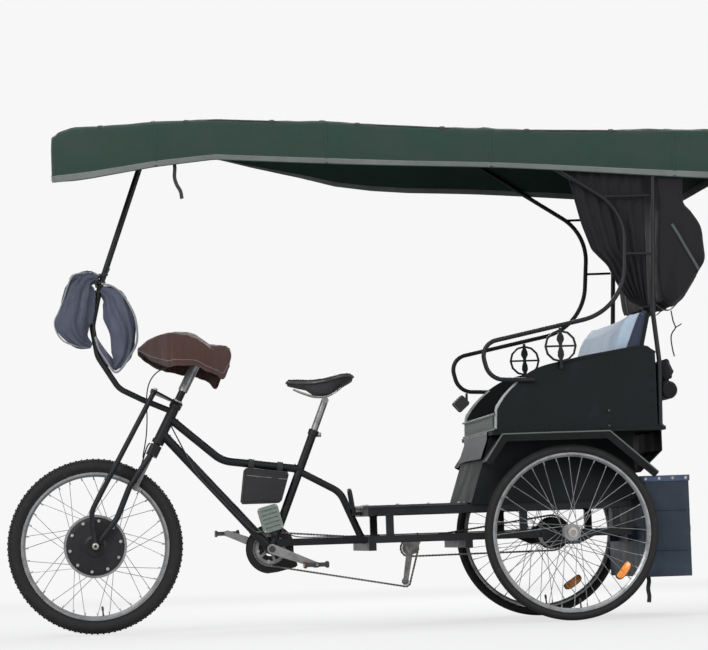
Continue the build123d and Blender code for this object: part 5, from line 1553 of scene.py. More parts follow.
def flat_area(sketch: MeshSketch) -> float:
    """Area of a single layer of faces, in square metres."""
    total = 0.0
    for face in sketch.faces:
        p = [sketch.verts[i] for i in face]
        for k in range(1, len(p) - 1):
            total += (p[k] - p[0]).cross(p[k + 1] - p[0]).length / 2
    return total


def gathered(spine: Sequence[Point], wide: Sequence[float], deep: Sequence[float], folds: int = 7,
             depth: float = 0.12, seed: float = 0.0, sides: int = 56, step: float = 0.012,
             across: Point = (0, 1, 0)) -> MeshSketch:
    """Cloth gathered into a bundle along a line, with folds that run and wander along it.

    Args:
        spine: points along the bundle.
        wide: its half width at each of those points, in metres.
        deep: its half depth at each of those points, along the way given by across.
        folds: folds round the section.
        depth: how deep the folds are, as a share of the size.
        seed: changes the folds.
        sides: points round the section.
        step: distance between sections.
        across: the way in which depth is measured.

    Returns:
        A closed sketch.
    """
    tagged = [Vector(p) for p in spine]
    path = smooth_line(tagged, step)
    lengths = [0.0]
    for a, b in zip(path, path[1:]):
        lengths.append(lengths[-1] + (b - a).length)
    marks = [0.0]
    for a, b in zip(tagged, tagged[1:]):
        marks.append(marks[-1] + (b - a).length)
    scale = marks[-1] / lengths[-1]
    w = np.interp([v * scale for v in lengths], marks, wide)
    d = np.interp([v * scale for v in lengths], marks, deep)
    axis = Vector(across)
    rings = []
    for i, p in enumerate(path):
        a = path[max(i - 1, 0)]
        b = path[min(i + 1, len(path) - 1)]
        way = (b - a).normalized()
        side = axis.cross(way).normalized()
        lift = way.cross(side).normalized()
        ring = []
        for k in range(sides):
            t = math.tau * k / sides
            drift = 1.6 * wave((lengths[i], 0.3 * math.cos(t), 0.3 * math.sin(t)), 0.16, seed)
            pleat = math.sin(folds * t + drift * 2.2 + seed)
            pleat = blunt(pleat, 0.7)
            lump = wave(p + side * (math.cos(t) * 0.05) + lift * (math.sin(t) * 0.05), 0.055, seed + 3)
            size = 1.0 + depth * (0.62 * pleat + 0.55 * lump) - depth * 0.5
            ring.append(p + side * (math.cos(t) * w[i] * size) + lift * (math.sin(t) * d[i] * size))
        rings.append(ring)
    return MeshSketch().rings(rings)


def strap(points: Sequence[Point], wide: float = 0.022, thick: float = 0.0022, up: Point = (0, 1, 0),
          closed: bool = False, step: float = 0.008) -> MeshSketch:
    """A flat strap along a line, its broad side facing the way given by up."""
    path = smooth_line(points, step, closed)
    rings = []
    count = len(path)
    for i, p in enumerate(path):
        a = path[(i - 1) % count] if closed or i else p
        b = path[(i + 1) % count] if closed or i < count - 1 else p
        way = (b - a).normalized()
        lift = Vector(up) - way * Vector(up).dot(way)
        if lift.length < 1e-4:
            lift = way.orthogonal()
        lift.normalize()
        side = way.cross(lift)
        half, deep = wide / 2, thick / 2
        rings.append([p + side * (u * half) + lift * (v * deep) for u, v in (
            (-1, -0.4), (-0.94, -1), (0.94, -1), (1, -0.4), (1, 0.4), (0.94, 1), (-0.94, 1), (-1, 0.4))])
    return MeshSketch().rings(rings, along=closed)


def inflate(obj: bpy.types.Object, pins: Callable[[Vector], float], cap: float, pressure: float = 4.0,
            voxel: float = 0.006, frames: int = 20) -> None:
    """Swells a closed form as stuffing swells a cover, with its seams held.

    Args:
        obj: the closed form.
        pins: gives how firmly a point is held, from 0 to 1.
        cap: the most that any point may move, in metres.
        pressure: the pressure of the stuffing.
        voxel: size of the faces that swell, in metres.
        frames: frames of the simulation.
    """
    cut = obj.modifiers.new("even", "REMESH")
    cut.mode = "VOXEL"
    cut.voxel_size = voxel
    cut.use_smooth_shade = True
    settle(obj)
    rest = [v.co.copy() for v in obj.data.vertices]
    held = obj.vertex_groups.new(name="held")
    for i, p in enumerate(rest):
        held.add([i], pins(p), "REPLACE")
    work = obj.modifiers.new("swell", "CLOTH")
    cloth = work.settings
    cloth.quality = 5
    cloth.mass = 0.25
    cloth.tension_stiffness = 12.0
    cloth.compression_stiffness = 12.0
    cloth.shear_stiffness = 6.0
    cloth.bending_stiffness = 0.4
    cloth.air_damping = 2.0
    cloth.use_pressure = True
    cloth.uniform_pressure_force = pressure
    cloth.vertex_group_mass = "held"
    cloth.effector_weights.gravity = 0.0
    work.collision_settings.use_collision = False
    work.point_cache.frame_start = 1
    work.point_cache.frame_end = frames
    scene = bpy.context.scene
    for frame_number in range(1, frames + 1):
        scene.frame_set(frame_number)
    graph = bpy.context.evaluated_depsgraph_get()
    seen = obj.evaluated_get(graph).to_mesh()
    moved = [v.co.copy() for v in seen.vertices]
    obj.evaluated_get(graph).to_mesh_clear()
    obj.modifiers.clear()
    obj.vertex_groups.clear()
    for v, start, end in zip(obj.data.vertices, rest, moved):
        shift = end - start
        if shift.length > cap:
            shift *= cap / shift.length
        v.co = start + shift
    scene.frame_set(1)
    more = obj.modifiers.new("round", "SUBSURF")
    more.levels = 1
    more.render_levels = 1
    settle(obj)
    soften(obj, 70.0)


@dataclass
class CanopyCover:
    """The canvas canopy: one sheet over the bows with a valance, its edge band, seams and a strap.

    Attributes:
        crown: rise of the middle over the edge, in millimetres.
        bury: how far the cloth lies under the edge line of its solid.
        corner: radius of its corners, seen from over it.
        lifted: how much higher the right side's lower edge hangs, by distance behind the front axle.
    """

    crown: float = 41.0
    bury: float = 7.0
    corner: float = 26.0
    lifted: tuple = ((-125.0, 104.0), (265.0, 112.0), (500.0, 118.0), (560.0, 108.0), (666.0, 86.0),
                     (866.0, 50.0), (1005.0, 20.0), (1150.0, 6.0), (1300.0, 0.0))

    def sag(self, x: float) -> float:
        """How far the cloth sinks between two bows, in millimetres."""
        for a, b in zip(BOW_STATIONS, BOW_STATIONS[1:]):
            if a <= x <= b:
                t = (x - a) / (b - a)
                return 13.0 * (4 * t * (1 - t)) ** 0.8 * min(1.0, (b - a) / 500.0)
        return 0.0

    def roof(self, x: float, y: float) -> float:
        """Height of the top at a place, in millimetres."""
        share = min(1.0, abs(y) / ROOF_EDGE)
        bulge = self.crown * (1 - share * share)
        slack = self.sag(x) * (0.35 + 0.65 * (1 - share**2))
        point = (x / 1000, y / 1000, 0)
        ripple = 2.6 * wave(point, 0.16, 1.0) + 1.2 * wave(point, 0.05, 4.0)
        pull = 2.2 * math.sin(x / 17.0 + y / 90.0) * max(0.0, share - 0.72)
        return station_height(x, 1) - self.bury + bulge - slack + ripple * 0.7 * (1 - share**6) + pull

    def top(self, u: float, v: float) -> Vector:
        """A point of the roof sheet, with its edge turned over the rails."""
        x = ROOF_FRONT + (ROOF_REAR - ROOF_FRONT) * u
        y = -ROOF_EDGE + 2 * ROOF_EDGE * v
        corner_x = min(x - ROOF_FRONT, ROOF_REAR - x)
        corner_y = ROOF_EDGE - abs(y)
        if corner_x < self.corner and corner_y < self.corner:
            dx, dy = self.corner - corner_x, self.corner - corner_y
            reach = math.hypot(dx, dy)
            square = max(dx, dy)
            factor = square / reach if reach > 0 else 1.0
            x += math.copysign(dx * (1 - factor), 1200.0 - x)
            y -= math.copysign(dy * (1 - factor), y)
        z = self.roof(x, y)
        if corner_x < 30.0:
            z -= 9.0 * (1 - corner_x / 30.0) ** 2
        return from_front(x, z, y)

    def hem(self, head: Vector, out: Vector, around: float, down: float) -> Vector:
        """A point of the valance, whose share round is not needed here."""
        x = behind_front(head)
        low = station_height(x, 2)
        share = min(1.0, (head.y + 0.43) / 0.86) if x < -90.0 else float(head.y > 0.38)
        low += read_off(self.lifted, x) * max(0.0, share)
        low -= 10.0 * max(0.0, min(1.0, (260.0 - x) / 240.0)) * (1.0 - max(0.0, share))
        high = head.z * 1000.0
        turn = min(1.0, down * 14 / 2)
        fall = max(0.0, (down * 14 - 2) / 12)
        out_mm = 10.2 * math.sin(turn * math.pi / 2)
        drop_mm = 10.2 * (1 - math.cos(turn * math.pi / 2))
        low_edge = low + 3.0 * math.sin(x / 210.0) * (1 if abs(out.y) > 0.5 else 0) + 2.0
        z = high - drop_mm - fall * (high - 10.2 - low_edge)
        place = (head.x, head.y, 0.0)
        billow = 5.5 * fall * (0.45 + 0.6 * wave(place, 0.19, 6.0)) + 2.4 * fall * wave(place, 0.06, 2.0)
        belly = 3.0 * math.sin(math.pi * fall)
        shift = (out_mm + billow * 0.8 + belly) / 1000.0
        shift = min(shift, 0.0255 if abs(out.y) > 0.5 else 0.0125)
        return Vector((head.x, head.y, z / 1000.0)) + out * shift

    def build(self, shop: Workshop) -> None:
        """Makes the sheet, its band, seams, stitches and strap."""
        sketch = hood(self.top, self.hem, (125, 46), 14)
        area = flat_area(sketch)
        sheet = sketch.build("canopy_sheet")
        thicken(sheet, 0.0016)
        shop.finish(sheet, "chassis", "canopy", Paint.CANOPY, ("canopy",))
        extras = [self._band(shop), *self._seams(shop)]
        self._ties(shop)
        self._hanging_strap(shop)

    def _edge_line(self, down: float, out: float) -> list[Vector]:
        """A loop round the valance at a share of its fall, set out from it."""
        points = []
        corner = self.corner
        x0, x1, y1 = ROOF_FRONT, ROOF_REAR, ROOF_EDGE
        turn = [(math.sin(a), math.cos(a)) for a in np.linspace(0, math.pi / 2, 7)[1:-1]]
        walk = [(x, -y1, 0, -1) for x in np.linspace(x0 + corner, x1 - corner, 250)]
        walk += [(x1 - corner + corner * s, -y1 + corner - corner * c, s, -c) for s, c in turn]
        walk += [(x1, y, 1, 0) for y in np.linspace(-y1 + corner, y1 - corner, 90)]
        walk += [(x1 - corner + corner * c, y1 - corner + corner * s, c, s) for s, c in turn]
        walk += [(x, y1, 0, 1) for x in np.linspace(x1 - corner, x0 + corner, 250)]
        walk += [(x0 + corner - corner * s, y1 - corner + corner * c, -s, c) for s, c in turn]
        walk += [(x0, y, -1, 0) for y in np.linspace(y1 - corner, -y1 + corner, 90)]
        walk += [(x0 + corner - corner * c, -y1 + corner - corner * s, -c, -s) for s, c in turn]
        for x, y, ox, oy in walk:
            z = self.roof(x, y) - (9.0 if min(x - x0, x1 - x) < 1 else 0.0)
            head = from_front(x, z, y)
            points.append(self.hem(head, Vector((ox, oy, 0)), 0.0, down) + Vector((ox, oy, 0)) * out)
        return points

    def _band(self, shop: Workshop) -> bpy.types.Object:
        """The grey band sewn round the valance's lower edge."""
        low = self._edge_line(1.0, 0.0)
        mid = self._edge_line(0.955, 0.0022)
        high = self._edge_line(0.875, 0.0016)
        inner = self._edge_line(0.875, -0.0014)
        inner_low = self._edge_line(0.97, -0.0022)
        sketch = MeshSketch().rings([high, mid, low, inner_low, inner], around=True, along=True)
        band = sketch.build("canopy_band", merge=1e-7)
        shop.finish(band, "chassis", "canopy", Paint.PIPING)
        shop.copies("canopy_band_stitches", self._edge_line(0.885, 0.0020), shop.stitch(0.0052, 0.0007),
                    820, Paint.PALE_TRIM, "chassis", "canopy", closed=True, centre=from_front(1100, 1700))
        return band

    def _seams(self, shop: Workshop) -> list[bpy.types.Object]:
        """Folded seams across the roof and along its edges, with stitches."""
        seams = MeshSketch()
        for x in SEAM_STATIONS:
            line = [from_front(x, self.roof(x, y) + 1.2, y) for y in np.linspace(-441, 441, 90)]
            seams.add(*self._strip(line, 0.012, 0.0010))
        for side in (-1, 1):
            line = [from_front(x, self.roof(x, side * 431) + 1.2, side * 431)
                    for x in np.linspace(-100, 2375, 260)]
            seams.add(*self._strip(line, 0.010, 0.0010))
            for x in SEAM_STATIONS:
                head = from_front(x, self.roof(x, side * ROOF_EDGE), side * ROOF_EDGE)
                line = [self.hem(head, Vector((0, side, 0)), 0, k / 14) + Vector((0, side * 0.0012, 0))
                        for k in range(15)]
                seams.add(*self._strip(line, 0.012, 0.0010, (0, side, 0)))
        body = seams.build("canopy_seams")
        shop.finish(body, "chassis", "canopy", Paint.CANOPY)
        pieces = [body]
        for number, x in enumerate(SEAM_STATIONS):
            for label, edge in (("a", -4.0), ("b", 4.0)):
                line = [from_front(x + edge, self.roof(x + edge, y) + 2.0, y)
                        for y in np.linspace(-438, 438, 80)]
                row = shop.copies(f"canopy_stitches_{number}_{label}", line, shop.stitch(0.0050, 0.0007),
                                  130, Paint.PALE_TRIM, "chassis", "canopy", up=(0, 0, 1))
                pieces.append(row)
        return pieces

    @staticmethod
    def _strip(line: Sequence[Vector], wide: float, thick: float, up: Point = (0, 0, 1)):
        """A thin raised strip laid along a line, as vertices and faces."""
        sketch = strap(line, wide, thick, up, step=1.0)
        return sketch.verts, sketch.faces

    def _ties(self, shop: Workshop) -> None:
        """Loops of cloth that hold the sheet on the bows and rails."""
        ties = MeshSketch()
        for x in BOW_STATIONS[1:-1]:
            for y in (-330.0, -110.0, 110.0, 330.0):
                z = station_height(x, 1) - 19.4 + 39.0 * (1 - (y / ROOF_EDGE) ** 2)
                ring = [from_front(x + 8.2 * math.cos(a), z + 7.6 * math.sin(a), y)
                        for a in turns(17)]
                ties.add(*self._loop(ring, 0.018))
        for side in (-1, 1):
            for x in range(60, 2300, 320):
                z = station_height(x, 1) - 17.4
                ring = [from_front(x, z + 10.6 * math.sin(a), side * (ROOF_EDGE + 10.6 * math.cos(a)))
                        for a in turns(17)]
                ties.add(*self._loop(ring, 0.018, along=(1, 0, 0)))
        body = ties.build("canopy_ties")
        shop.finish(body, "chassis", "canopy", Paint.STRAP)

    @staticmethod
    def _loop(ring: Sequence[Vector], wide: float, along: Point = (0, 1, 0), thick: float = 0.0012):
        """A band round a tube, as vertices and faces."""
        centre = sum(ring, Vector()) / len(ring)
        way = Vector(along)
        rings = []
        for s, grow in ((-0.5, 0), (-0.48, thick), (0.48, thick), (0.5, 0)):
            rings.append([p + way * (wide * s) + (p - centre).normalized() * grow for p in ring])
        inner = [[p + way * (wide * s) for p in ring] for s in (0.5, -0.5)]
        sketch = MeshSketch().rings(rings + inner, along=True)
        return sketch.verts, sketch.faces

    def _hanging_strap(self, shop: Workshop) -> None:
        """The loose strap that hangs from the left valance near the front bow."""
        head = from_front(330, 1775, -430)
        line = [head, from_front(333, 1735, -431), from_front(331, 1700, -428), from_front(338, 1672, -431),
                from_front(352, 1646, -427), from_front(356, 1618, -430)]
        tape = strap(line, 0.014, 0.0016, (0.3, 1, 0)).build("canopy_strap")
        shop.finish(tape, "chassis", "canopy", Paint.STRAP)


@dataclass
class Upholstery:
    """The passenger's cushion, backrest, skirt and the roll behind the back."""

    def build(self, shop: Workshop) -> None:
        """Makes each soft piece with its seams."""
        self._cushion(shop)
        self._backrest(shop)
        self._skirt(shop)
        self._roll(shop)

    def _cushion(self, shop: Workshop) -> None:
        """The seat cushion: a boxed pad with piping round its top and bottom edges."""
        x0, x1, z0, z1, y1 = 1491.5, 1928.0, 717.0, 782.0, 452.0
        pad = MeshSketch()
        rows = []
        for z, inset in ((z0, 9), (z0 + 4, 3), (z0 + 12, 0), ((z0 + z1) / 2, -2), (z1 - 12, 0),
                         (z1 - 4, 3), (z1, 9)):
            rows.append(self._rounded(x0 + inset, x1 - inset, y1 - inset, z, 22.0))
        pad.rings(rows)
        body = pad.build("seat_cushion_pad", smooth=False)
        seams = (z0 + 4, z1 - 4)

        def pins(p: Vector) -> float:
            """Holds the seams and the underside."""
            z = p.z * 1000.0
            x = behind_front(p)
            rim = min(x - x0, x1 - x, y1 - abs(p.y * 1000.0))
            if z < z0 + 3:
                return 1.0
            if rim < 14 and min(abs(z - s) for s in seams) < 3.5:
                return 1.0
            row = abs((x - x0) % 146.0 - 73.0)
            return 0.85 if z > z1 - 6 and row < 3.0 and abs(p.y) < 0.43 else 0.0

        inflate(body, pins, 0.012, pressure=4.0, voxel=0.0088)
        for v in body.data.vertices:
            x = behind_front(v.co)
            worn = math.exp(-((v.co.y * 1000 / 260.0) ** 2)) * math.exp(-(((x - 1690) / 150.0) ** 2))
            if v.co.z > 0.76:
                v.co.z -= 0.006 * worn
                v.co.z += 0.0016 * wave(v.co, 0.05, 9.0)
        shop.finish(body, "chassis", "cushion", Paint.CUSHION, ("seat_cushion",))
        piping = MeshSketch()
        for z in seams:
            ring = self._rounded(x0 + 1.0, x1 - 1.0, y1 - 1.0, z, 22.0)
            path = smooth_line(ring, 0.012, closed=True)
            piping.tube(path, 0.0034, 8, closed=True)
        rim = piping.build("seat_cushion_piping")
        shop.finish(rim, "chassis", "cushion", Paint.CUSHION_EDGE)
        for label, z in (("low", z0 + 10), ("high", z1 - 10)):
            line = self._rounded(x0 - 1.6, x1 + 1.6, y1 + 1.6, z, 24.0)
            shop.copies(f"seat_cushion_stitches_{label}", line, shop.stitch(0.0045, 0.0007), 560,
                        Paint.CUSHION_EDGE, "chassis", "cushion", closed=True, centre=from_front(1710, z))

    @staticmethod
    def _rounded(x0: float, x1: float, y1: float, z: float, radius: float) -> list[Vector]:
        """A level rounded rectangle."""
        points = []
        for cx, cy, start in ((x1 - radius, y1 - radius, 0), (x0 + radius, y1 - radius, 90),
                              (x0 + radius, -y1 + radius, 180), (x1 - radius, -y1 + radius, 270)):
            for k in range(7):
                a = math.radians(start + 15 * k)
                points.append(from_front(cx + radius * math.cos(a), z, cy + radius * math.sin(a)))
        return points

    def _backrest(self, shop: Workshop) -> None:
        """The backrest: a soft leaning pad with a dark edge."""
        y1 = 446.0
        # X and Z of the pad's outline, from its front bottom corner
        profile = [(1893.0, 792.0), (1904.0, 788.0), (1990.0, 788.0), (1998.0, 800.0), (2042.0, 960.0),
                   (2083.0, 1135.0), (2081.0, 1143.0), (2060.0, 1146.0), (2024.0, 1140.0), (1985.0, 1096.0),
                   (1940.0, 960.0)]
        rows = []
        for y, shrink in ((-y1, 10), (-y1 + 5, 3), (-y1 + 14, 0), (-y1 * 0.5, 0), (0, 0), (y1 * 0.5, 0),
                          (y1 - 14, 0), (y1 - 5, 3), (y1, 10)):
            mid_x = sum(p[0] for p in profile) / len(profile)
            mid_z = sum(p[1] for p in profile) / len(profile)
            ring = []
            for x, z in profile:
                fx = (abs(x - mid_x) - shrink) / max(abs(x - mid_x), 1.0)
                fz = (abs(z - mid_z) - shrink) / max(abs(z - mid_z), 1.0)
                ring.append(from_front(mid_x + (x - mid_x) * fx, mid_z + (z - mid_z) * fz, y))
            rows.append(ring)
        body = MeshSketch().rings(rows).build("backrest_pad", smooth=False)

        def pins(p: Vector) -> float:
            """Holds the back, the two ends and the piping lines."""
            x = behind_front(p)
            z = p.z * 1000.0
            back = 1998.0 + (z - 800.0) * 0.2537
            if x > back - 10.0:
                return 1.0
            if abs(p.y) > (y1 - 4.0) / 1000.0:
                return 0.9
            return 0.9 if abs((abs(p.y) * 1000.0) - 150.0) < 3.0 else 0.0

        inflate(body, pins, 0.011, pressure=4.0, voxel=0.0088)
        shop.finish(body, "chassis", "backrest", Paint.BACKREST, ("backrest",))
        edge = MeshSketch()
        panel = [(1944.0, 794.0), (1990.0, 790.0), (1998.0, 800.0), (2042.0, 960.0), (2083.0, 1135.0),
                 (2080.0, 1142.0), (2067.0, 1142.0), (2047.0, 1104.0), (1990.0, 960.0), (1956.0, 860.0)]
        for side in (-1, 1):
            ring = [from_front(x, z, side * (y1 + 0.4)) for x, z in panel]
            edge.tube(smooth_line(ring, 0.012, closed=True), 0.0036, 10, closed=True)
        top = [from_front(2082.0, 1140.0, y) for y in np.linspace(-y1 + 6, y1 - 6, 60)]
        edge.tube(top, 0.0050, 10)
        rim = edge.build("backrest_edge")
        shop.finish(rim, "chassis", "backrest", Paint.BACK_EDGE)
        ends = MeshSketch()
        mid = Vector((sum(p[0] for p in panel) / len(panel), 0, sum(p[1] for p in panel) / len(panel)))
        outline = smooth_line([Vector((x, 0, z)) for x, z in panel], 14.0, closed=True)
        for side in (-1, 1):
            rows = [[from_front(*(mid + (q - mid) * keep).xz, side * y) for q in outline]
                    for y, keep in ((y1 - 3.0, 0.955), (y1 + 0.8, 0.952), (y1 + 1.8, 0.93),
                                    (y1 + 2.2, 0.60), (y1 + 2.2, 0.20))]
            ends.rings(rows)
        shop.finish(ends.build("backrest_ends"), "chassis", "backrest", Paint.BACK_EDGE)

    def _skirt(self, shop: Workshop) -> None:
        """The pleated skirt that hangs from the deck below the cushion."""
        y1 = 352.0
        rows = []
        count = 440
        for level in range(15):
            share = level / 14
            row = []
            for k in range(count + 1):
                y = -y1 + 2 * y1 * k / count
                pleat = math.sin(k * math.tau / 22.0 + 1.4 * wave((y / 1000, share * 0.1, 0), 0.12, 3.0))
                pleat = blunt(pleat, 0.6)
                depth = 1.2 + 4.4 * share
                z = 714.0 - share * (98.0 + 2.0 * wave((y / 1000, 0, 0), 0.1, 5.0))
                straight = 1483.7 - 4.4 - max(0.0, (686.0 - z)) * 0.345
                x = straight - depth * 0.5 * (1 + pleat) + 1.5 * share * wave((y / 1000, z / 1000, 0),
                                                                              0.05, 8.0)
                row.append(from_front(x, z, y))
            rows.append(row)
        sketch = MeshSketch().rings(rows, around=False, caps=False)
        area = flat_area(sketch)
        cloth = sketch.build("seat_skirt_cloth")
        thicken(cloth, 0.0011)
        shop.finish(cloth, "chassis", "skirt", Paint.SKIRT, ("seat_skirt",))
        tape = MeshSketch()
        tape.add(*CanopyCover._strip([from_front(1479.0, 709.0, y) for y in np.linspace(-y1, y1, 60)],
                                     0.014, 0.0014, (-1, 0, 0)))
        head = tape.build("seat_skirt_tape")
        shop.finish(head, "chassis", "skirt", Paint.STRAP)
        studs = shop.copies("seat_skirt_studs",
                            [from_front(1478.2, 709.0, -y1 + 12), from_front(1478.2, 709.0, y1 - 12)],
                            shop.hex_bolt(0.0034, 0.0026), 15, Paint.ZINC, "chassis", "steel",
                            up=(-1, 0, 0))

    def _roll(self, shop: Workshop) -> None:
        """The rolled cloth behind the back, gathered in ribs and strapped to the posts."""
        radius, z, half = 34.5, 850.0, 452.0
        x = 2163.0
        rings = []
        count = 220
        for k in range(count + 1):
            y = -half + 2 * half * k / count
            rib = 1.0 - 0.05 * abs(math.sin(y / 9.0 + 0.9 * wave((y / 1000, 0, 0), 0.1, 2.0))) ** 0.8
            end = min(1.0, (half - abs(y)) / 14.0)
            pinch = 1.0 - 0.16 * sum(math.exp(-((abs(y) - place) / 16.0) ** 2) for place in (170.0, 420.0))
            size = radius * rib * pinch * (0.72 + 0.28 * math.sqrt(max(end, 0.0)))
            ring = []
            for s in range(40):
                a = math.tau * s / 40
                lump = 1.0 + 0.03 * wave((y / 1000, math.cos(a) * 0.1, math.sin(a) * 0.1), 0.05, 7.0)
                ring.append(from_front(x + size * lump * math.cos(a), z + size * lump * math.sin(a), y))
            rings.append(ring)
        roll = MeshSketch().rings(rings).build("back_roll_cloth")
        shop.finish(roll, "chassis", "curtain", Paint.CURTAIN, ("back_roll",))
        straps = MeshSketch()
        for side in (-1, 1):
            for place in (170.0, 420.0):
                ring = [from_front(x + 32.0 * math.cos(a), z + 32.0 * math.sin(a), side * place)
                        for a in turns(39)]
                straps.add(*CanopyCover._loop(ring, 0.020, thick=0.0022))
        body = straps.build("back_roll_straps")
        shop.finish(body, "chassis", "curtain", Paint.STRAP)
        spiral = MeshSketch()
        for side in (-1, 1):
            line = [from_front(x + (3 + 1.05 * t) * math.cos(t * 1.1),
                               z + (3 + 1.05 * t) * math.sin(t * 1.1), side * (half + 0.8))
                    for t in np.linspace(0, 19, 150)]
            spiral.tube(line, 0.0012, 6)
        shop.finish(spiral.build("back_roll_spiral"), "chassis", "curtain", Paint.CURTAIN)
        ys = (-434.0, -418.0, -300.0, -170.0, -60.0, 60.0, 170.0, 300.0, 418.0, 434.0)
        flap = gathered(
            [from_front(2149.0 + 3.0 * math.sin(y / 90.0), 920.0 + 4.0 * math.cos(y / 70.0), y) for y in ys],
            [0.020, 0.034, 0.035, 0.031, 0.035, 0.035, 0.031, 0.035, 0.034, 0.020],
            [0.026, 0.046, 0.046, 0.039, 0.047, 0.047, 0.039, 0.046, 0.046, 0.026],
            folds=5, depth=0.12, seed=4.0, sides=60, step=0.010, across=(0, 0, 1))
        fold = flap.build("back_roll_flap")
        shop.finish(fold, "chassis", "curtain", Paint.CURTAIN)


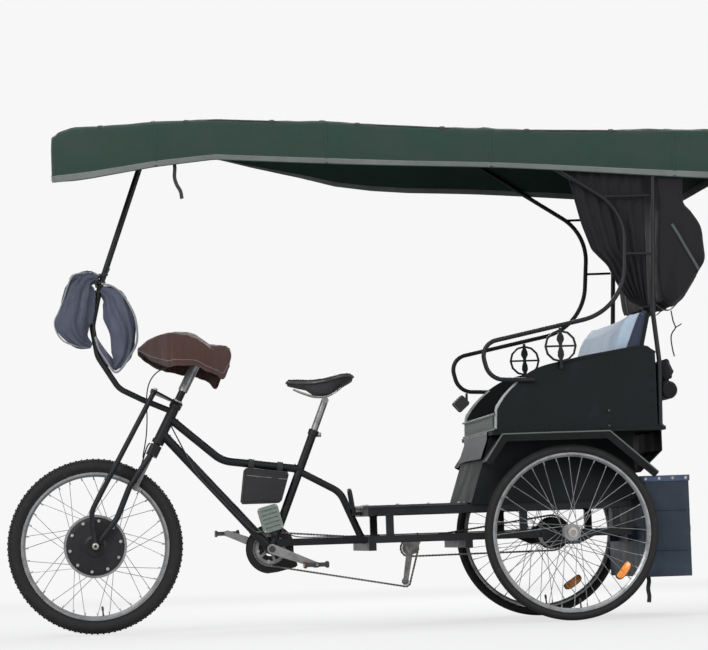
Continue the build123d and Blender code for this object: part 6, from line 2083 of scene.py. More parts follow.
@dataclass
class RainGear:
    """The rolled rain cover on the pole, the cover over the handlebar and the rear curtain."""

    def build(self, shop: Workshop) -> None:
        """Makes the three pieces."""
        self._bundle(shop)
        self._bar_cover(shop)
        self._curtain(shop)

    def _bundle(self, shop: Workshop) -> None:
        """The rain cover: a soft front lobe and a hanging loop with a pale edge, tied at the pole."""
        front = gathered(
            places((38, 1366, -8), (-4, 1360, -10), (-30, 1310, -12), (-44, 1240, -12),
                   (-56, 1184, -10), (-34, 1130, -8), (8, 1104, -6)),
            [0.016, 0.036, 0.062, 0.066, 0.072, 0.040, 0.010],
            [0.026, 0.046, 0.062, 0.066, 0.060, 0.048, 0.014], folds=9, depth=0.17, seed=2.0)
        top = gathered(
            places((44, 1362, 0), (-10, 1370, 2), (-52, 1366, 0), (-64, 1340, -4)),
            [0.010, 0.016, 0.017, 0.010], [0.020, 0.042, 0.040, 0.020], folds=5, depth=0.16, seed=5.0)
        front.add(top.verts, top.faces)
        lobe = front.build("rain_cover_front")
        shop.finish(lobe, "chassis", "rain", Paint.RAIN, ("rain_cover",))
        rear = gathered(
            places((50, 1322, 0), (92, 1288, 0), (112, 1222, -2), (128, 1146, -4), (120, 1066, -4),
                   (92, 1010, -2)),
            [0.016, 0.044, 0.058, 0.050, 0.040, 0.007], [0.028, 0.046, 0.054, 0.052, 0.036, 0.010],
            folds=8, depth=0.16, seed=8.0)
        low = gathered(
            places((20, 1140, 8), (44, 1090, 6), (72, 1044, 2), (92, 1012, 0)),
            [0.008, 0.014, 0.018, 0.008], [0.020, 0.028, 0.026, 0.010], folds=6, depth=0.18, seed=11.0)
        rear.add(low.verts, low.faces)
        loop = rear.build("rain_cover_loop")
        shop.finish(loop, "chassis", "rain", Paint.RAIN)
        edges = MeshSketch()
        outer = [(52, 1342), (90, 1332), (124, 1306), (152, 1266), (176, 1212), (184, 1152), (178, 1104),
                 (150, 1056), (118, 1012), (92, 1001), (62, 1046), (36, 1090), (22, 1138)]
        edges.tube(smooth_line([from_front(x, z, -26 + 20 * abs(i / 12 - 0.5))
                                for i, (x, z) in enumerate(outer)], 0.008), 0.0058, 9, flat=0.75)
        crown = [(46, 1374), (8, 1383), (-38, 1382), (-62, 1368), (-78, 1330), (-92, 1290)]
        side = [(-92, 1290), (-112, 1242), (-131, 1200), (-124, 1160), (-100, 1126), (-60, 1108),
                (-14, 1098)]
        for run, y, radius in ((crown, -30, 0.0048), (side, -24, 0.0042)):
            edges.tube(smooth_line([from_front(x, z, y) for x, z in run], 0.008), radius, 9, flat=0.75)
        rim = edges.build("rain_cover_edge")
        shop.finish(rim, "chassis", "rain", Paint.PALE_TRIM)
        knot = MeshSketch()
        pole = [(41, 1312), (47, 1346), (58, 1376)]
        for x, z in pole:
            ring = [from_front(x + 17.5 * math.cos(a) * 0.98,
                               z + 8.0 * math.cos(a) * 0.35 + 3 * math.sin(2 * a), 17.5 * math.sin(a))
                    for a in turns(27)]
            knot.tube(ring, 0.0046, 8, closed=True)
        upper = places((58, 1372, -16), (74, 1382, -24), (84, 1400, -20))
        lower = places((40, 1368, -16), (30, 1352, -28), (32, 1326, -30))
        for end, radius in ((upper, 0.0040), (lower, 0.0036)):
            knot.tube(smooth_line(end, 0.005), radius, 8)
        tie = knot.build("rain_cover_ties")
        shop.finish(tie, "chassis", "curtain", Paint.STRAP)

    def _bar_cover(self, shop: Workshop) -> None:
        """The brown cloth over the handlebar: a draped hood with hanging sides and a tail."""
        # Columns: X from the front axle, then the half width, the crest's height or the hem's height
        plan = ((192.0, 66.0), (240.0, 150.0), (300.0, 246.0), (380.0, 318.0), (450.0, 322.0),
                (522.0, 318.0))
        crest = ((192.0, 1096.0), (221.0, 1121.0), (256.0, 1137.0), (296.0, 1147.0), (330.0, 1149.0),
                 (368.0, 1146.0), (400.0, 1136.0), (451.0, 1098.0), (492.0, 1071.0), (522.0, 1048.0))
        foot = ((186.0, 1078.0), (240.0, 1040.0), (300.0, 1014.0), (402.0, 1006.0), (450.0, 986.0),
                (484.0, 970.0), (512.0, 998.0), (526.0, 1012.0))

        nose, long, widest = 192.0, 330.0, 330.0
        # The grips under the cloth: their inner end's X, and the Y of both ends
        grip_x, grip_in, grip_out = 414.0, 186.0, 300.0

        def top(u: float, v: float) -> Vector:
            """A point of the cloth's top."""
            x = nose + long * u
            half = read_off(plan, x)
            y = half * (2 * v - 1) * 0.985
            share = abs(y) / widest
            place = (x / 1000, y / 1000, 0.0)
            bar = math.exp(-(((x - 405.0) / 70.0) ** 2))
            valley = 15.0 * (1 - bar) * math.exp(-(((abs(y) - 120.0) / 60.0) ** 2))
            fall = 34.0 * share**2.6 + valley * 0.4
            crease = 5.0 * math.sin(y / 16.0 + 3.4 * wave(place, 0.11, 2.0)) * (0.35 + 0.65 * u)
            crease += 5.0 * wave(place, 0.045, 5.0) + 2.0 * wave(place, 0.018, 8.0)
            edge = min(1.0, 4 * u + 0.25, 4 * (1 - u) + 0.25)
            along = min(grip_out, max(grip_in, abs(y)))
            aside = abs(x - grip_x - 0.66 * (along - grip_in))
            over_grips = 1090.5 - 0.16 * (along - grip_in) - 0.8 * max(0.0, aside - 20.0)
            over_grips -= 1.0 * abs(abs(y) - along) - 1.5 * wave(place, 0.03, 7.0)
            z = read_off(crest, x) - fall - 2.5 - abs(crease) * 0.85 * edge
            return from_front(x, max(z, over_grips), y)

        def drop(head: Vector, out: Vector, around: float, down: float) -> Vector:
            """A point of the cloth's hanging side."""
            x = behind_front(head)
            side = abs(head.y) > 0.2
            ragged = 13.0 * wave((around * 9.0, 0.0, 0.0), 0.42, 9.0) + 6.0 * wave(
                (around * 9.0, 1.0, 0.0), 0.13, 2.0)
            tail = 26.0 * math.exp(-(((x - 498.0) / 15.0) ** 2)) if side else 0.0
            low = read_off(foot, x) + (ragged - 8.0 - tail) * down
            high = head.z * 1000.0
            t = down
            swing = 0.0
            for turns, size, seed in ((13.0, 9.0, 3.0), (29.0, 5.5, 8.0), (61.0, 2.4, 12.0)):
                swing += size * wave((turns * math.cos(around * math.tau) * 0.16 + 0.12 * t,
                                      turns * math.sin(around * math.tau) * 0.16, seed), 0.5, seed) * 2.0
            swing = math.copysign(min(11.0, abs(swing)), swing) * (0.35 + 0.65 * t)
            belly = 8.0 * math.sin(min(1.0, t * 1.4) * math.pi / 2)
            shift = (belly + swing * (1.0 if side else 0.45) - 6.0 * t * t) / 1000.0
            z = high - (high - low) * (t - 0.06 * math.sin(math.pi * t))
            tuck = -12.0 * t * t if out.x > 0.6 else 0.0
            return Vector((head.x + tuck / 1000.0, head.y, z / 1000.0)) + out * max(-0.012,
                                                                                    min(shift, 0.013))

        cuts = (74, 124)
        sketch = hood(top, drop, cuts, 14)
        area = flat_area(sketch)
        cloth = sketch.build("handlebar_cover_cloth")
        thicken(cloth, 0.0022)
        shop.finish(cloth, "steering", "cover", Paint.BAR_COVER, ("handlebar_cover",))
        hem = MeshSketch()
        heads = hem_columns(top, cuts)
        line = [drop(p, o, s, 1.0) for p, o, s in heads]
        hem.tube(line, 0.0034, 8, closed=True, flat=0.8)
        rim = hem.build("handlebar_cover_hem")
        shop.finish(rim, "steering", "cover", Paint.BAR_COVER)
        row_line = [drop(p, o, s, 0.86) + o * 0.0012 for p, o, s in heads]
        row = shop.copies("handlebar_cover_stitches", row_line, shop.stitch(0.0055, 0.0008), 330,
                          Paint.PALE_TRIM, "steering", "cover", closed=True, centre=from_front(360, 1060))

    def _curtain(self, shop: Workshop) -> None:
        """The rear curtain: gathered up behind the posts, with a wing tied to the left post."""
        outline = [(2146, 1200), (2168, 1168), (2202, 1155), (2234, 1180), (2262, 1218), (2300, 1282),
                   (2329, 1342), (2326, 1420), (2314, 1486), (2280, 1535), (2252, 1566), (2249, 1630),
                   (2248, 1688), (2200, 1694), (2150, 1692), (2152, 1600), (2148, 1500), (2143, 1415),
                   (2138, 1300)]
        base = smooth_line([Vector((x, 0, z)) for x, z in outline], 18.0, closed=True)
        rows = []
        count = 150
        middle = Vector((2215.0, 0, 1400.0))
        for k in range(count + 1):
            y = -441.0 + 882.0 * k / count
            gather = 0.5 + 0.5 * math.cos(y / 146.0 * math.pi)
            end = math.sqrt(max(0.0, min(1.0, (441.0 - abs(y)) / 36.0)))
            ring = []
            for i, p in enumerate(base):
                t = math.tau * i / len(base)
                place = (y / 1000, p.x / 1000, p.z / 1000)
                pleat = 1.0 - 2.0 * abs(math.sin(y / 27.0 + 2.0 * wave(place, 0.14, 1.0)
                                                 + (p.z - 1400) / 120.0))
                sweep = math.sin(t * 9.0 + 2.2 * wave(place, 0.16, 7.0))
                lump = 0.6 * wave(place, 0.06, 4.0) + 0.5 * sweep
                away = p - middle
                keep = 1.0 - (0.030 * gather + 0.055 * (1 - pleat) * 0.5 + 0.048 * (1 - lump) * 0.5)
                if p.z > 1600:
                    keep = 1.0 - 0.01 * (1 - pleat)
                front = p.x < 2156
                q = middle + away * (keep if not front else 1.0 - (1 - keep) * 0.3) * (0.90 + 0.10 * end)
                ring.append(from_front(q.x, min(q.z, 1694.0), y))
            rows.append(ring)
        bulk = MeshSketch().rings(rows).build("rear_curtain_bulk")
        shop.finish(bulk, "chassis", "curtain", Paint.CURTAIN, ("rear_curtain",))
        self._wing(shop)
        trim = MeshSketch()
        line = [(2199, 1475), (2222, 1436), (2246, 1390), (2272, 1343), (2296, 1298)]
        path = smooth_line([from_front(x, z, -446) for x, z in line], 0.01)
        trim.add(*CanopyCover._strip(path, 0.010, 0.0022, (0, -1, 0)))
        binding = trim.build("rear_curtain_binding")
        shop.finish(binding, "chassis", "curtain", Paint.CURTAIN_TRIM)
        ties = MeshSketch()
        for y in (-292.0, 0.0, 292.0):
            ring = []
            for p in base:
                away = p - middle
                q = middle + away * 0.975
                ring.append(from_front(q.x, min(q.z, 1692.0), y))
            ties.add(*CanopyCover._loop(ring, 0.024, thick=0.0035))
        straps = ties.build("rear_curtain_ties")
        shop.finish(straps, "chassis", "curtain", Paint.STRAP)
        tail = places((2210, 1158, -300), (2216, 1120, -300), (2224, 1092, -301), (2212, 1074, -300),
                      (2206, 1052, -299), (2210, 1010, -300), (2216, 982, -300))
        path = smooth_line(tail, 0.004)
        cord = MeshSketch().tube(path, 0.0026, 8)
        cord.tube(smooth_line(places((2224, 1092, -301), (2238, 1100, -303), (2248, 1106, -302)),
                              0.004), 0.0022, 8)
        knotted = cord.build("rear_curtain_cord")
        shop.finish(knotted, "chassis", "curtain", Paint.STRAP)

    def _wing(self, shop: Workshop) -> None:
        """The side wing of the curtain: it hangs from the left rail and is tied in at the post."""
        rows = []
        levels, across = 44, 72
        # Z, and X of the wing's front edge there
        front = ((1165.0, 2078.0), (1190.0, 2030.0), (1250.0, 1990.0), (1328.0, 1952.0), (1387.0, 1894.0),
                 (1482.0, 1860.0), (1578.0, 1836.0), (1600.0, 1832.0), (1700.0, 1806.0))
        for level in range(levels + 1):
            z = 1690.0 - (1690.0 - 1168.0) * level / levels
            x0 = read_off(front, z)
            x1 = 2098.0
            row = []
            tight = min(1.0, (x1 - x0) / 260.0)
            for k in range(across + 1):
                t = k / across
                x = x0 + (x1 - x0) * t
                place = (x / 1000, 0, z / 1000)
                fold = math.sin(t * math.tau * 6.0 + 1.6 * wave(place, 0.2, 6.0))
                depth = 5.0 + 6.5 * (1 - tight)
                y = -424.0 + depth * fold * 0.9 + 2.5 * wave(place, 0.05, 3.0)
                row.append(from_front(x, z, max(-434.0, min(-410.0, y))))
            rows.append(row)
        sketch = MeshSketch().rings(rows, around=False, caps=False)
        area = flat_area(sketch)
        wing = sketch.build("rear_curtain_wing")
        thicken(wing, 0.0016)
        shop.finish(wing, "chassis", "curtain", Paint.CURTAIN)
        edge = [row[0] for row in rows]
        hem = MeshSketch().tube(edge, 0.0030, 8, flat=0.8)
        rim = hem.build("rear_curtain_hem")
        shop.finish(rim, "chassis", "curtain", Paint.CURTAIN)


@dataclass
class Fittings:
    """Saddle, bag, chain guard, pole clamp, and the trim of floor, cabin, guards, lamp and boxes."""

    def build(self, shop: Workshop) -> None:
        """Makes every fitting."""
        self._saddle(shop)
        self._bag(shop)
        self._controller(shop)
        self._floor(shop)
        self._cabin(shop)
        self._guards(shop)
        self._rear_box(shop)
        self._lamp(shop)
        self._pole_clamp(shop)
        self._chain_guard(shop)

    def _saddle(self, shop: Workshop) -> None:
        """The saddle: a padded vinyl top with a channel, on a plastic base, with its seam."""
        nose, low = 747.0, 881.3
        # Columns: distance behind the nose, half width, underside and top
        rows = ((0.0, 13.0, 46.0, 62.0), (16.0, 19.0, 40.0, 73.0), (80.0, 24.0, 24.0, 71.0),
                (112.0, 30.0, 0.0, 71.0), (160.0, 52.0, 0.0, 78.0), (182.0, 68.0, 6.0, 84.0),
                (215.0, 79.0, 28.0, 92.0), (245.0, 80.0, 44.0, 94.0), (265.0, 66.0, 56.0, 84.0))

        def at(along: float) -> tuple[float, float, float]:
            """Half width, underside and top at a distance behind the nose."""
            return tuple(read_off(rows, along, column) for column in (1, 2, 3))

        def ring(along: float, shrink: float, base: bool) -> list[Vector]:
            """One section of the top, or of the base under it."""
            half, under, top = at(along)
            seam = top - min(24.0, (top - under) * 0.62)
            points = []
            for k in range(32):
                a = math.tau * k / 32
                c, s = math.cos(a), math.sin(a)
                y = blunt(c, 0.72) * half * shrink
                if base:
                    z = seam + 1.0 + (0.0 if s > 0 else s * (seam - under - 1.5)) * abs(s) ** 0.4 * shrink
                    y *= 0.90 if s > 0 else 0.90 - 0.22 * abs(s)
                else:
                    tall = (top - seam) if s > 0 else 5.0
                    z = seam + 3.0 + blunt(s, 0.8) * (tall - 3.0) * shrink
                    if s > 0:
                        z -= 5.0 * math.exp(-((y / 9.0) ** 2)) * min(1.0, max(0.0, (along - 60) / 60.0))
                        z += 1.0 * wave((along / 1000, y / 1000, 0), 0.03, 5.0) * s
                points.append(from_front(nose + along, low + z, y))
            return points

        ends = [(2.0, 0.45), (4.0, 0.72), (8.0, 0.90)]
        spans = ends + [(float(v), 1.0) for v in np.linspace(14.0, 252.0, 44)] + [(258.0, 0.95),
                                                                                  (262.0, 0.84),
                                                                                  (264.5, 0.6)]
        top = MeshSketch().rings([ring(v, k, False) for v, k in spans]).build("saddle_top")
        shop.finish(top, "chassis", "saddle", Paint.SADDLE, ("saddle",))
        base = MeshSketch().rings([ring(v, k, True) for v, k in spans[2:-2]]).build("saddle_base")
        shop.finish(base, "chassis", "saddle", Paint.BLACK_PLASTIC)
        seam = []
        for side in (-1, 1):
            half_line = []
            for along in np.linspace(6.0, 262.0, 60):
                half, under, high = at(float(along))
                z = low + high - min(24.0, (high - under) * 0.62) + 4.5
                half_line.append(from_front(nose + along, z,
                                            side * (half * (1.0 if along < 250 else 0.93) + 1.0)))
            seam += half_line if side < 0 else half_line[::-1]
        rim = MeshSketch().tube(seam, 0.0023, 8, closed=True).build("saddle_piping")
        shop.finish(rim, "chassis", "saddle", Paint.STRAP)
        rails = MeshSketch()
        for side in (-1, 1):
            rails.tube(smooth_line(places(
                (779, 914, side * 12), (812, 899, side * 20), (860, 883, side * 22),
                (905, 883, side * 22), (938, 897, side * 26), (962, 915, side * 34)), 0.01), 0.0035, 8)
        shop.finish(rails.build("saddle_rails"), "chassis", "steel", Paint.STEEL)

    def _bag(self, shop: Workshop) -> None:
        """The battery bag: soft nylon with piped edges, a zip and two straps over the top tube."""
        corners = [(581, 616.5), (749, 594.5), (714, 480), (563, 480)]
        middle = Vector((652.0, 0, 545.0))
        line = []
        for i, (x, z) in enumerate(corners):
            here = Vector((x, 0, z))
            last, following = (Vector((px, 0, pz)) for px, pz in (corners[i - 1], corners[(i + 1) % 4]))
            start = here + (last - here).normalized() * 16
            end = here + (following - here).normalized() * 16
            line += [start * (1 - t) ** 2 + here * 2 * t * (1 - t) + end * t * t
                     for t in (0.0, 0.25, 0.5, 0.75, 1.0)]
        rows = []
        for y, keep in ((-46, 0.90), (-45, 0.965), (-42, 0.985), (-20, 0.985), (20, 0.985), (42, 0.985),
                        (45, 0.965), (46, 0.90)):
            rows.append([from_front(*(middle + (p - middle) * keep).xz, y) for p in line])
        body = MeshSketch().rings(rows).build("battery_bag_cloth", smooth=False)
        inflate(body, lambda p: 1.0 if 0.0395 < abs(p.y) < 0.0445 else 0.0, 0.006, pressure=3.0,
                voxel=0.005, frames=14)
        for v in body.data.vertices:
            v.co.y += math.copysign(0.0016 * wave(v.co, 0.045, 3.0) - 0.0006, v.co.y)
        shop.finish(body, "chassis", "bag", Paint.BAG, ("battery_bag",))
        seams = MeshSketch()
        for side in (-1, 1):
            ring = [from_front(*(middle + (p - middle) * 0.992).xz, side * 43.0) for p in line]
            seams.tube(smooth_line(ring, 0.01, closed=True), 0.0022, 8, closed=True)
        zip_line = [from_front(x, z, -47.6) for x, z in ((586, 588), (640, 581), (700, 573), (738, 568))]
        seams.add(*CanopyCover._strip(smooth_line(zip_line, 0.01), 0.009, 0.0016, (0, -1, 0)))
        shop.finish(seams.build("battery_bag_seams"), "chassis", "bag", Paint.STRAP)
        tooth = shop.item("zip_tooth", lambda: MeshSketch().box((-0.0007, -0.0016, -0.0004),
                                                                (0.0007, 0.0016, 0.0007)))
        shop.copies("battery_bag_zip", [p + Vector((0, -0.0010, 0)) for p in zip_line], tooth, 60,
                    Paint.STEEL, "chassis", "bag", up=(0, -1, 0))
        straps = MeshSketch()
        for x, z in ((606.0, 632.6), (716.0, 618.2)):
            ring = [from_front(x + 0.12 * 22 * math.sin(a),
                               z + 17.0 * math.sin(a) - (26.0 if math.sin(a) < -0.3 else 0.0) * 0.2,
                               17.6 * math.cos(a)) for a in turns(25)]
            straps.add(*CanopyCover._loop(ring, 0.022, along=(1, 0, -0.13), thick=0.0016))
        shop.finish(straps.build("battery_bag_straps"), "chassis", "bag", Paint.STRAP)

    def _controller(self, shop: Workshop) -> None:
        """Four cover screws, and the gland that the cables go into."""
        turn = math.radians(15.0)
        line = []
        for u, v in ((-33, -43), (33, -43), (33, 43), (-33, 43)):
            line.append(from_front(672 + u * math.cos(turn) - v * math.sin(turn),
                                   420 + u * math.sin(turn) + v * math.cos(turn), -50.4))
        part = MeshSketch()
        for p in line:
            part.turned([(0.0034, 0.0), (0.0034, 0.0012), (0.0022, 0.0022), (0.0009, 0.0014)], p,
                        (0, -1, 0), 12)
        shop.finish(part.build("controller_screws"), "chassis", "steel", Paint.ZINC)
        gland = MeshSketch()
        foot = from_front(672 + 12.5, 420 - 48.5, -33)
        gland.turned([(0.0110, -0.002), (0.0110, 0.006), (0.0085, 0.008), (0.0075, 0.016), (0.0045, 0.018)],
                     foot, (math.sin(turn), 0, -math.cos(turn)), 8)
        shop.finish(gland.build("controller_gland", bevel=0.0004), "chassis", "black_metal",
                    Paint.BLACK_PLASTIC)

    def _floor(self, shop: Workshop) -> None:
        """Raised bars in a chequer on the footboard, bolts round it and a metal edge at the front."""
        pitch, rows, cols = 24.0, 16, 26
        x0, y0, z = 1026.0, -312.0, 453.3
        for label, lean, shift in (("a", 45.0, 0.0), ("b", -45.0, 12.0)):
            line = []
            for i in range(rows - (1 if shift else 0)):
                row = [from_front(x0 + shift + i * pitch, z, y0 + shift + j * pitch) for j in range(cols)]
                line += row if i % 2 == 0 else row[::-1]

            def bar(lean: float = lean) -> MeshSketch:
                """A raised lozenge, turned in its plane."""
                c, s = math.cos(math.radians(lean)), math.sin(math.radians(lean))

                def spin(u: float, v: float, w: float) -> tuple[float, float, float]:
                    """A point of the lozenge."""
                    return (u * c - v * s, u * s + v * c, w)

                low = [spin(u, v, -0.0002)
                       for u, v in ((0.0085, 0), (0, 0.0026), (-0.0085, 0), (0, -0.0026))]
                top = [spin(u, v, 0.0011)
                       for u, v in ((0.0062, 0), (0, 0.0012), (-0.0062, 0), (0, -0.0012))]
                return MeshSketch().rings([low, top])
            shop.copies(f"floor_bars_{label}", line, shop.item(f"floor_bar_{label}", bar), len(line),
                        Paint.FLOOR, "chassis", "floor", up=(0, 0, 1))
        loop = [from_front(x, 453.3, y)
                for x, y in ((1018, -330), (1034, -337), (1396, -337), (1396, 337), (1034, 337),
                             (1018, 330))]
        shop.copies("floor_bolts", loop, shop.hex_bolt(0.0058, 0.0044), 18, Paint.ZINC, "chassis",
                    "steel", closed=True, up=(0, 0, 1))
        nosing = MeshSketch().tube([from_front(1004.2, 449.3, y) for y in np.linspace(-318, 318, 20)],
                                   0.0052, 10, flat=0.9)
        shop.finish(nosing.build("floor_nosing"), "chassis", "alloy", Paint.ALLOY)

    def _cabin(self, shop: Workshop) -> None:
        """Edge trim and rivets of the side panels, studs on the deck and flanges at the rear posts."""
        top = [(1502.3, 722.0), (1506.0, 793.6), (1515.0, 812.0), (1534.0, 838.0), (1566.0, 871.0),
               (1604.0, 902.0), (1646.0, 927.0), (1693.0, 945.5), (1770.0, 962.0), (1846.0, 978.0),
               (1920.0, 989.6), (2000.0, 1002.0), (2069.0, 1010.0), (2090.0, 999.0), (2110.0, 985.5)]
        # The front run of the trim is pale as a painted highlight where light falls on the panel's curved
        # front; the rear run keeps the body's dark enamel.
        for name, part, paint in (("front", top[:6], Paint.PANEL_EDGE_HIGHLIGHT), ("rear", top[5:], Paint.BODY)):
            trim = MeshSketch()
            for side in (-1, 1):
                line = [from_front(x, z + 1.0, side * 462.5) for x, z in part]
                trim.tube(smooth_line(line, 0.014), 0.0088, 10, flat=0.55, up=(0, 1, 0))
            shop.finish(trim.build(f"panel_trim_{name}"), "chassis", "body", paint)
        for side, name in ((-1, "left"), (1, "right")):
            line = places((1530, 731, side * 470.2), (2092, 731, side * 470.2), (2092, 965, side * 470.2))
            shop.copies(f"panel_rivets_{name}", line, shop.rivet(), 15, Paint.BODY, "chassis", "body",
                        up=(0, side, 0))
        shelf = [from_front(2141.0, 708.0, y) for y in (-430, 430)]
        shop.copies("deck_studs", shelf, shop.rivet(), 12, Paint.BODY, "chassis", "body", up=(1, 0, 0))
        feet = MeshSketch()
        for side in (-1, 1):
            foot = from_front(2122.0, 716.4, side * 454.0)
            feet.turned([(0.0096, 0.0), (0.0150, 0.0), (0.0150, 0.0030), (0.0118, 0.0042),
                         (0.0098, 0.0080)], foot, (0, 0, 1), 20)
        shop.finish(feet.build("post_flanges"), "chassis", "black_metal", Paint.FRAME)

    def _guards(self, shop: Workshop) -> None:
        """The moulding along the edge of each mudguard, and bolts down through its top."""
        edge = [(1453.0, 601.5), (1520.0, 701.5), (1722.0, 702.0), (1926.0, 701.5), (2103.0, 543.0)]
        mould = MeshSketch()
        for side in (-1, 1):
            for a, b in zip(edge, edge[1:]):
                mould.tube([from_front(*a, side * 484.6), from_front(*b, side * 484.6)], 0.0030, 10)
        shop.finish(mould.build("mudguard_moulding"), "chassis", "body", Paint.MOULDING)
        for side, name in ((-1, "left"), (1, "right")):
            line = [from_front(1560, 689, side * 486.2), from_front(1890, 689, side * 486.2)]
            shop.copies(f"mudguard_bolts_{name}", line, shop.rivet(), 5, Paint.GUARD, "chassis", "body",
                        up=(0, side, 0))

    def _rear_box(self, shop: Workshop) -> None:
        """Screws, hasps, red reflectors and pressed ribs, and the strap that hangs below."""
        for side, name in ((-1, "left"), (1, "right")):
            line = [from_front(2068, 519, side * 400.2), from_front(2220, 519, side * 400.2)]
            shop.copies(f"box_screws_{name}", line, shop.hex_bolt(0.0040, 0.0032), 4, Paint.ZINC,
                        "chassis", "box", up=(0, side, 0))
        line = [from_front(2238.2, 519, -360), from_front(2238.2, 519, 360)]
        shop.copies("box_screws_rear", line, shop.hex_bolt(0.0040, 0.0032), 9, Paint.ZINC, "chassis",
                    "box", up=(1, 0, 0))
        hasps, lens = MeshSketch(), MeshSketch()
        for y in (-220.0, 220.0):
            hasps.box(from_front(2234.2, 455, y - 17), from_front(2237.4, 505, y + 17))
            hasps.box(from_front(2237.4, 468, y - 11), from_front(2241.4, 512, y + 11))
            hasps.tube([from_front(2240.0, 470, y - 15), from_front(2240.0, 470, y + 15)], 0.0030, 8)
        for y in (-330.0, 330.0):
            lens.turned([(0.0300, 0.0), (0.0300, 0.0050), (0.0270, 0.0068), (0.0100, 0.0078)],
                        from_front(2234.0, 330, y), (1, 0, 0), 40)
        shop.finish(hasps.build("box_hasps", bevel=0.0006), "chassis", "steel", Paint.STEEL)
        shop.finish(lens.build("box_reflectors"), "chassis", "lamp", Paint.RED)
        beads = MeshSketch()
        for z in (250.0, 400.0):
            for side in (-1, 1):
                beads.tube([from_front(2072, z, side * 396.2), from_front(2216, z, side * 396.2)],
                           0.0036, 10)
            beads.tube([from_front(2234.2, z, -370), from_front(2234.2, z, 370)], 0.0036, 10)
        shop.finish(beads.build("box_swages"), "chassis", "box", Paint.BOX)
        tail = places((2090, 152, -250), (2092, 132, -251), (2088, 104, -249), (2091, 76, -251),
                      (2089, 52, -250))
        tape = strap(tail, 0.016, 0.0018, (0.2, 1, 0)).build("box_strap")
        shop.finish(tape, "chassis", "box", Paint.STRAP)

    def _lamp(self, shop: Workshop) -> None:
        """The raised glass of the side lamp."""
        turn = math.radians(42.0)

        def spot(u: float, v: float, y: float) -> Vector:
            """A point on the lamp's face."""
            return from_front(1486 + u * math.cos(turn) - v * math.sin(turn),
                              858 + u * math.sin(turn) + v * math.cos(turn), y)

        lens = MeshSketch()
        rings = []
        for y, keep in ((478.0, 0.98), (482.0, 0.98), (485.5, 0.86), (487.0, 0.55)):
            ring = []
            for k in range(36):
                a = math.tau * k / 36
                u = blunt(math.cos(a), 0.45) * 23.6 * keep
                v = blunt(math.sin(a), 0.45) * 19.6 * keep
                ring.append(spot(u, v, y))
            rings.append(ring)
        lens.rings(rings)
        shop.finish(lens.build("side_lamp_glass"), "chassis", "lamp", Paint.LAMP_LENS)

    def _pole_clamp(self, shop: Workshop) -> None:
        """The clamp that holds the pole's head on the second bow."""
        part = MeshSketch()
        way = (from_front(262, 1935) - from_front(46, 1330)).normalized()
        head = from_front(262, 1925) - way * 0.045
        part.turned([(0.0118, -0.016), (0.0160, -0.016), (0.0160, 0.016), (0.0118, 0.016)], head, way, 24)
        ear = head + Vector((0.022, 0, -0.004))
        part.box(ear - Vector((0.009, 0.007, 0.013)), ear + Vector((0.009, 0.007, 0.013)))
        part.tube([ear + Vector((0.002, -0.015, 0)), ear + Vector((0.002, 0.015, 0))], 0.0036, 8)
        part.turned([(0.0062, 0.0), (0.0062, 0.004), (0.0034, 0.005)], ear + Vector((0.002, -0.014, 0)),
                    (0, -1, 0), 6)
        shop.finish(part.build("pole_clamp", bevel=0.0006), "chassis", "steel", Paint.STEEL)

    def _chain_guard(self, shop: Workshop) -> None:
        """The plate outside the chainring, with a rolled rim, on two stays."""
        mid_x, mid_z = BRACKET
        rim = np.radians(np.linspace(20.0, 262.0, 60))
        edge = [(mid_x + 95 * math.cos(a), mid_z + 95 * math.sin(a)) for a in rim]
        edge += [(700.0, 213.5), (740.0, 223.0), (768.0, 229.5), (777.0, 237.0), (774.0, 248.0),
                 (764.0, 262.0), (763.0, 300.0)]
        turn = np.linspace(math.radians(20), math.radians(380), len(edge) + 1)[:-1]
        hole = [(mid_x + 27 * math.cos(a), mid_z + 27 * math.sin(a)) for a in turn]

        def row(keep: float, y: float) -> list[Vector]:
            """A ring between the hole and the edge."""
            return [from_front(hx + (ex - hx) * keep, hz + (ez - hz) * keep, y)
                    for (ex, ez), (hx, hz) in zip(edge, hole)]

        plate = MeshSketch().rings([row(0.0, 52.2), row(0.86, 52.2), row(0.93, 54.0), row(1.0, 52.0),
                                    row(1.0, 49.0), row(0.985, 49.0), row(0.975, 51.0), row(0.93, 52.4),
                                    row(0.86, 50.9), row(0.0, 50.9)], along=True)
        shop.finish(plate.build("chain_guard"), "chassis", "black_metal", Paint.FRAME)
        stays = MeshSketch()
        for x, z in ((751.0, 326.0), (602.0, 372.0)):
            stays.tube([from_front(x, z, 11.0), from_front(x, z, 55.0)], 0.0048, 10)
            stays.turned([(0.0105, 0.0), (0.0105, 0.0022), (0.0074, 0.0022), (0.0068, 0.0052)],
                         from_front(x, z, 51.0), (0, 1, 0), 12)
        shop.finish(stays.build("chain_guard_stays"), "chassis", "steel", Paint.ZINC)


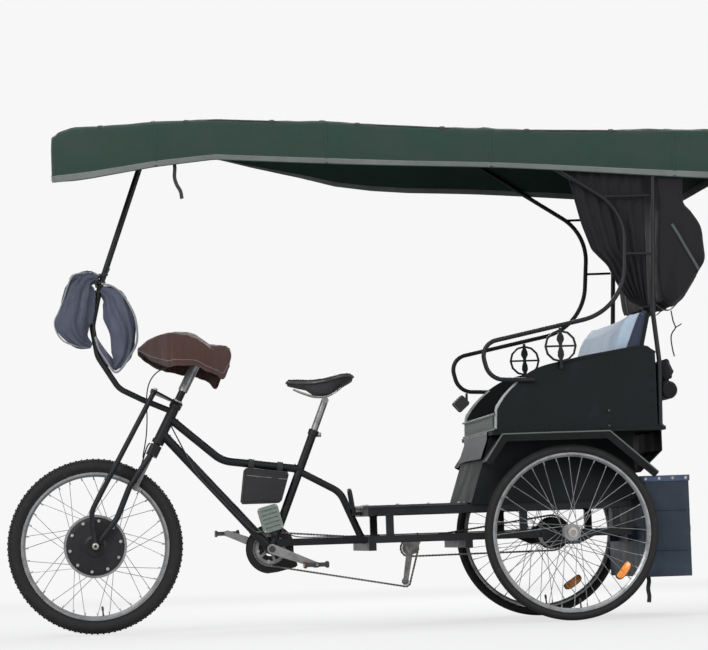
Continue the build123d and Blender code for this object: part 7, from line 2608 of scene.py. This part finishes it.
@dataclass
class Studio:
    """The pale floor, the white backdrop, the soft lamps and the camera.

    Attributes:
        camera_place: where the camera stands, in metres.
        yaw: its turn to the left, in degrees.
        pitch: its tilt upwards, in degrees.
        roll: its turn round its own line of sight, in degrees.
        lens: its focal length in millimetres.
        near_mix: share of the backdrop's white in the floor near the vehicle.
        white: the backdrop's colour.
    """

    camera_place: tuple[float, float, float] = (-1.112, -12.28, 0.34)
    yaw: float = -5.13
    pitch: float = 3.79
    roll: float = -1.97
    lens: float = 162.25
    near_mix: float = 0.70
    white: tuple[float, float, float, float] = (0.93, 0.93, 0.93, 1.0)

    def build(self) -> None:
        """Sets up the stage."""
        self._floor()
        self._world()
        self._lamps()
        self._camera()
        bpy.context.scene.view_settings.view_transform = "Standard"

    def _floor(self) -> None:
        """A plain pale floor."""
        slab = MeshSketch()
        slab.add([(-60, -40, -0.002), (60, -40, -0.002), (60, 90, -0.002), (-60, 90, -0.002)],
                 [(0, 1, 2, 3)])
        floor = slab.build("floor", smooth=False)
        board = NodeBoard("floor_finish")
        tree = board.tree
        board.feed("Base Color", (0.52, 0.52, 0.52, 1.0))
        board.feed("Roughness", 0.9)
        board.feed("Specular IOR Level", 0.0)
        away = board.node("ShaderNodeVectorMath", {0: board.coords}, operation="LENGTH").outputs["Value"]
        far = board.node("ShaderNodeMapRange", {"Value": away, "From Min": 1.6, "From Max": 9.0,
                                                "To Min": self.near_mix, "To Max": 1.0}).outputs["Result"]
        seen = board.node("ShaderNodeLightPath").outputs["Is Camera Ray"]
        plain = board.node("ShaderNodeEmission", {"Color": self.white, "Strength": 1.0})
        both = board.node("ShaderNodeMixShader", {0: board.sums("MULTIPLY", far, seen)})
        tree.links.new(board.shader.outputs[0], both.inputs[1])
        tree.links.new(plain.outputs[0], both.inputs[2])
        tree.links.new(both.outputs[0], tree.nodes["Material Output"].inputs["Surface"])
        floor.data.materials.append(board.material)

    def _world(self) -> None:
        """Soft grey light all round, and a white backdrop for the camera."""
        world = bpy.data.worlds.new("studio")
        bpy.context.scene.world = world
        world.use_nodes = True
        tree = world.node_tree
        tree.nodes.clear()
        path = add_node(tree, "ShaderNodeLightPath").outputs
        seen = add_node(tree, "ShaderNodeMath", {0: path["Is Camera Ray"], 1: path["Is Glossy Ray"]},
                        operation="MAXIMUM")
        either = add_node(tree, "ShaderNodeMath", {0: seen.outputs[0], 1: path["Is Transmission Ray"]},
                          operation="MAXIMUM")
        light = add_node(tree, "ShaderNodeBackground", {"Color": (0.9, 0.92, 0.95, 1.0), "Strength": 0.55})
        white = add_node(tree, "ShaderNodeBackground", {"Color": self.white, "Strength": 1.0})
        pick = add_node(tree, "ShaderNodeMixShader",
                        {0: either.outputs[0], 1: light.outputs[0], 2: white.outputs[0]})
        add_node(tree, "ShaderNodeOutputWorld", {0: pick.outputs[0]})

    def _lamps(self) -> None:
        """A large key lamp at the left front, a low fill and a rim lamp behind."""
        for name, place, size, power, aim in (
                ("key_lamp", (-3.4, -4.6, 4.4), 3.4, 290.0, (0, 0, 0.9)),
                ("fill_lamp", (3.8, -4.4, 1.9), 3.0, 110.0, (0, 0, 0.8)),
                ("rim_lamp", (1.0, 4.6, 3.6), 3.2, 260.0, (0, 0, 1.2)),
                ("top_lamp", (0.2, 0.0, 5.4), 3.6, 120.0, (0, 0, 0.8))):
            lamp = bpy.data.lights.new(name, "AREA")
            lamp.size = size
            lamp.energy = power
            obj = bpy.data.objects.new(name, lamp)
            obj.location = place
            obj.rotation_euler = (Vector(aim) - Vector(place)).to_track_quat("-Z", "Y").to_euler()
            bpy.context.scene.collection.objects.link(obj)

    def _camera(self) -> None:
        """The camera at the photograph's viewing angle."""
        data = bpy.data.cameras.new("camera")
        data.lens = self.lens
        data.sensor_width = 36.0
        data.clip_end = 400.0
        obj = bpy.data.objects.new("camera", data)
        yaw, pitch, roll = (math.radians(a) for a in (self.yaw, self.pitch, self.roll))
        ahead = Vector((-math.sin(yaw) * math.cos(pitch), math.cos(yaw) * math.cos(pitch), math.sin(pitch)))
        right = Vector((math.cos(yaw), math.sin(yaw), 0.0))
        up = right.cross(ahead)
        turned_right = right * math.cos(roll) + up * math.sin(roll)
        turned_up = up * math.cos(roll) - right * math.sin(roll)
        matrix = Matrix((turned_right, turned_up, -ahead)).transposed().to_4x4()
        matrix.translation = Vector(self.camera_place)
        obj.matrix_world = matrix
        bpy.context.scene.collection.objects.link(obj)
        bpy.context.scene.camera = obj


def dress_solids(shop: Workshop) -> None:
    """Gives every solid that still shows its finish."""
    paints = {
        Paint.FRAME: ("front_frame", "centre_beam", "chassis_rails", "floor_hoop", "fork", "fork_struts",
                      "side_tube_left", "side_tube_right", "medallions", "rear_posts", "canopy_frame",
                      "front_pole", "rear_axle"),
        Paint.FLOOR: ("floor_plate",),
        Paint.BODY: ("seat_box", "side_panel_left", "side_panel_right", "back_panel", "rear_panel"),
        Paint.GUARD: ("mudguard_left", "mudguard_right"),
        Paint.BOX: ("rear_box",),
        # The lid takes the lighter blue, a painted highlight on the top of the box.
        Paint.LID_PAINTED_HIGHLIGHT: ("rear_box_cover",),
        Paint.ALLOY: ("crank_set", "seat_post", "front_brake"),
        Paint.STEEL: ("jack_shaft", "chains"),
        Paint.BLACK_PLASTIC: ("pedal_left", "pedal_right", "brake_levers", "side_lamp"),
        Paint.CASE: ("controller",),
        Paint.GRIP: ("grips",),
        Paint.SADDLE: ("saddle",),
        Paint.BAG: ("battery_bag",),
        Paint.RIM: ("handlebar",),
    }
    for paint, nodes in paints.items():
        for node in nodes:
            shop.paint_node(node, paint)


def main() -> None:
    """Dresses the vehicle and sets up its studio."""
    logging.basicConfig(level=logging.INFO, format="%(name)s: %(message)s")
    shop = Workshop()
    dress_solids(shop)
    RunningGear().build(shop)
    Drive().build(shop)
    FrontEnd().build(shop)
    Fittings().build(shop)
    CanopyCover().build(shop)
    Upholstery().build(shop)
    RainGear().build(shop)
    shop.clear_up()
    Studio().build()
    total = sum(len(obj.data.polygons) for obj in shop.made)
    LOG.info("%d pieces, %d faces", len(shop.made), total)


if __name__ == "__main__":
    main()
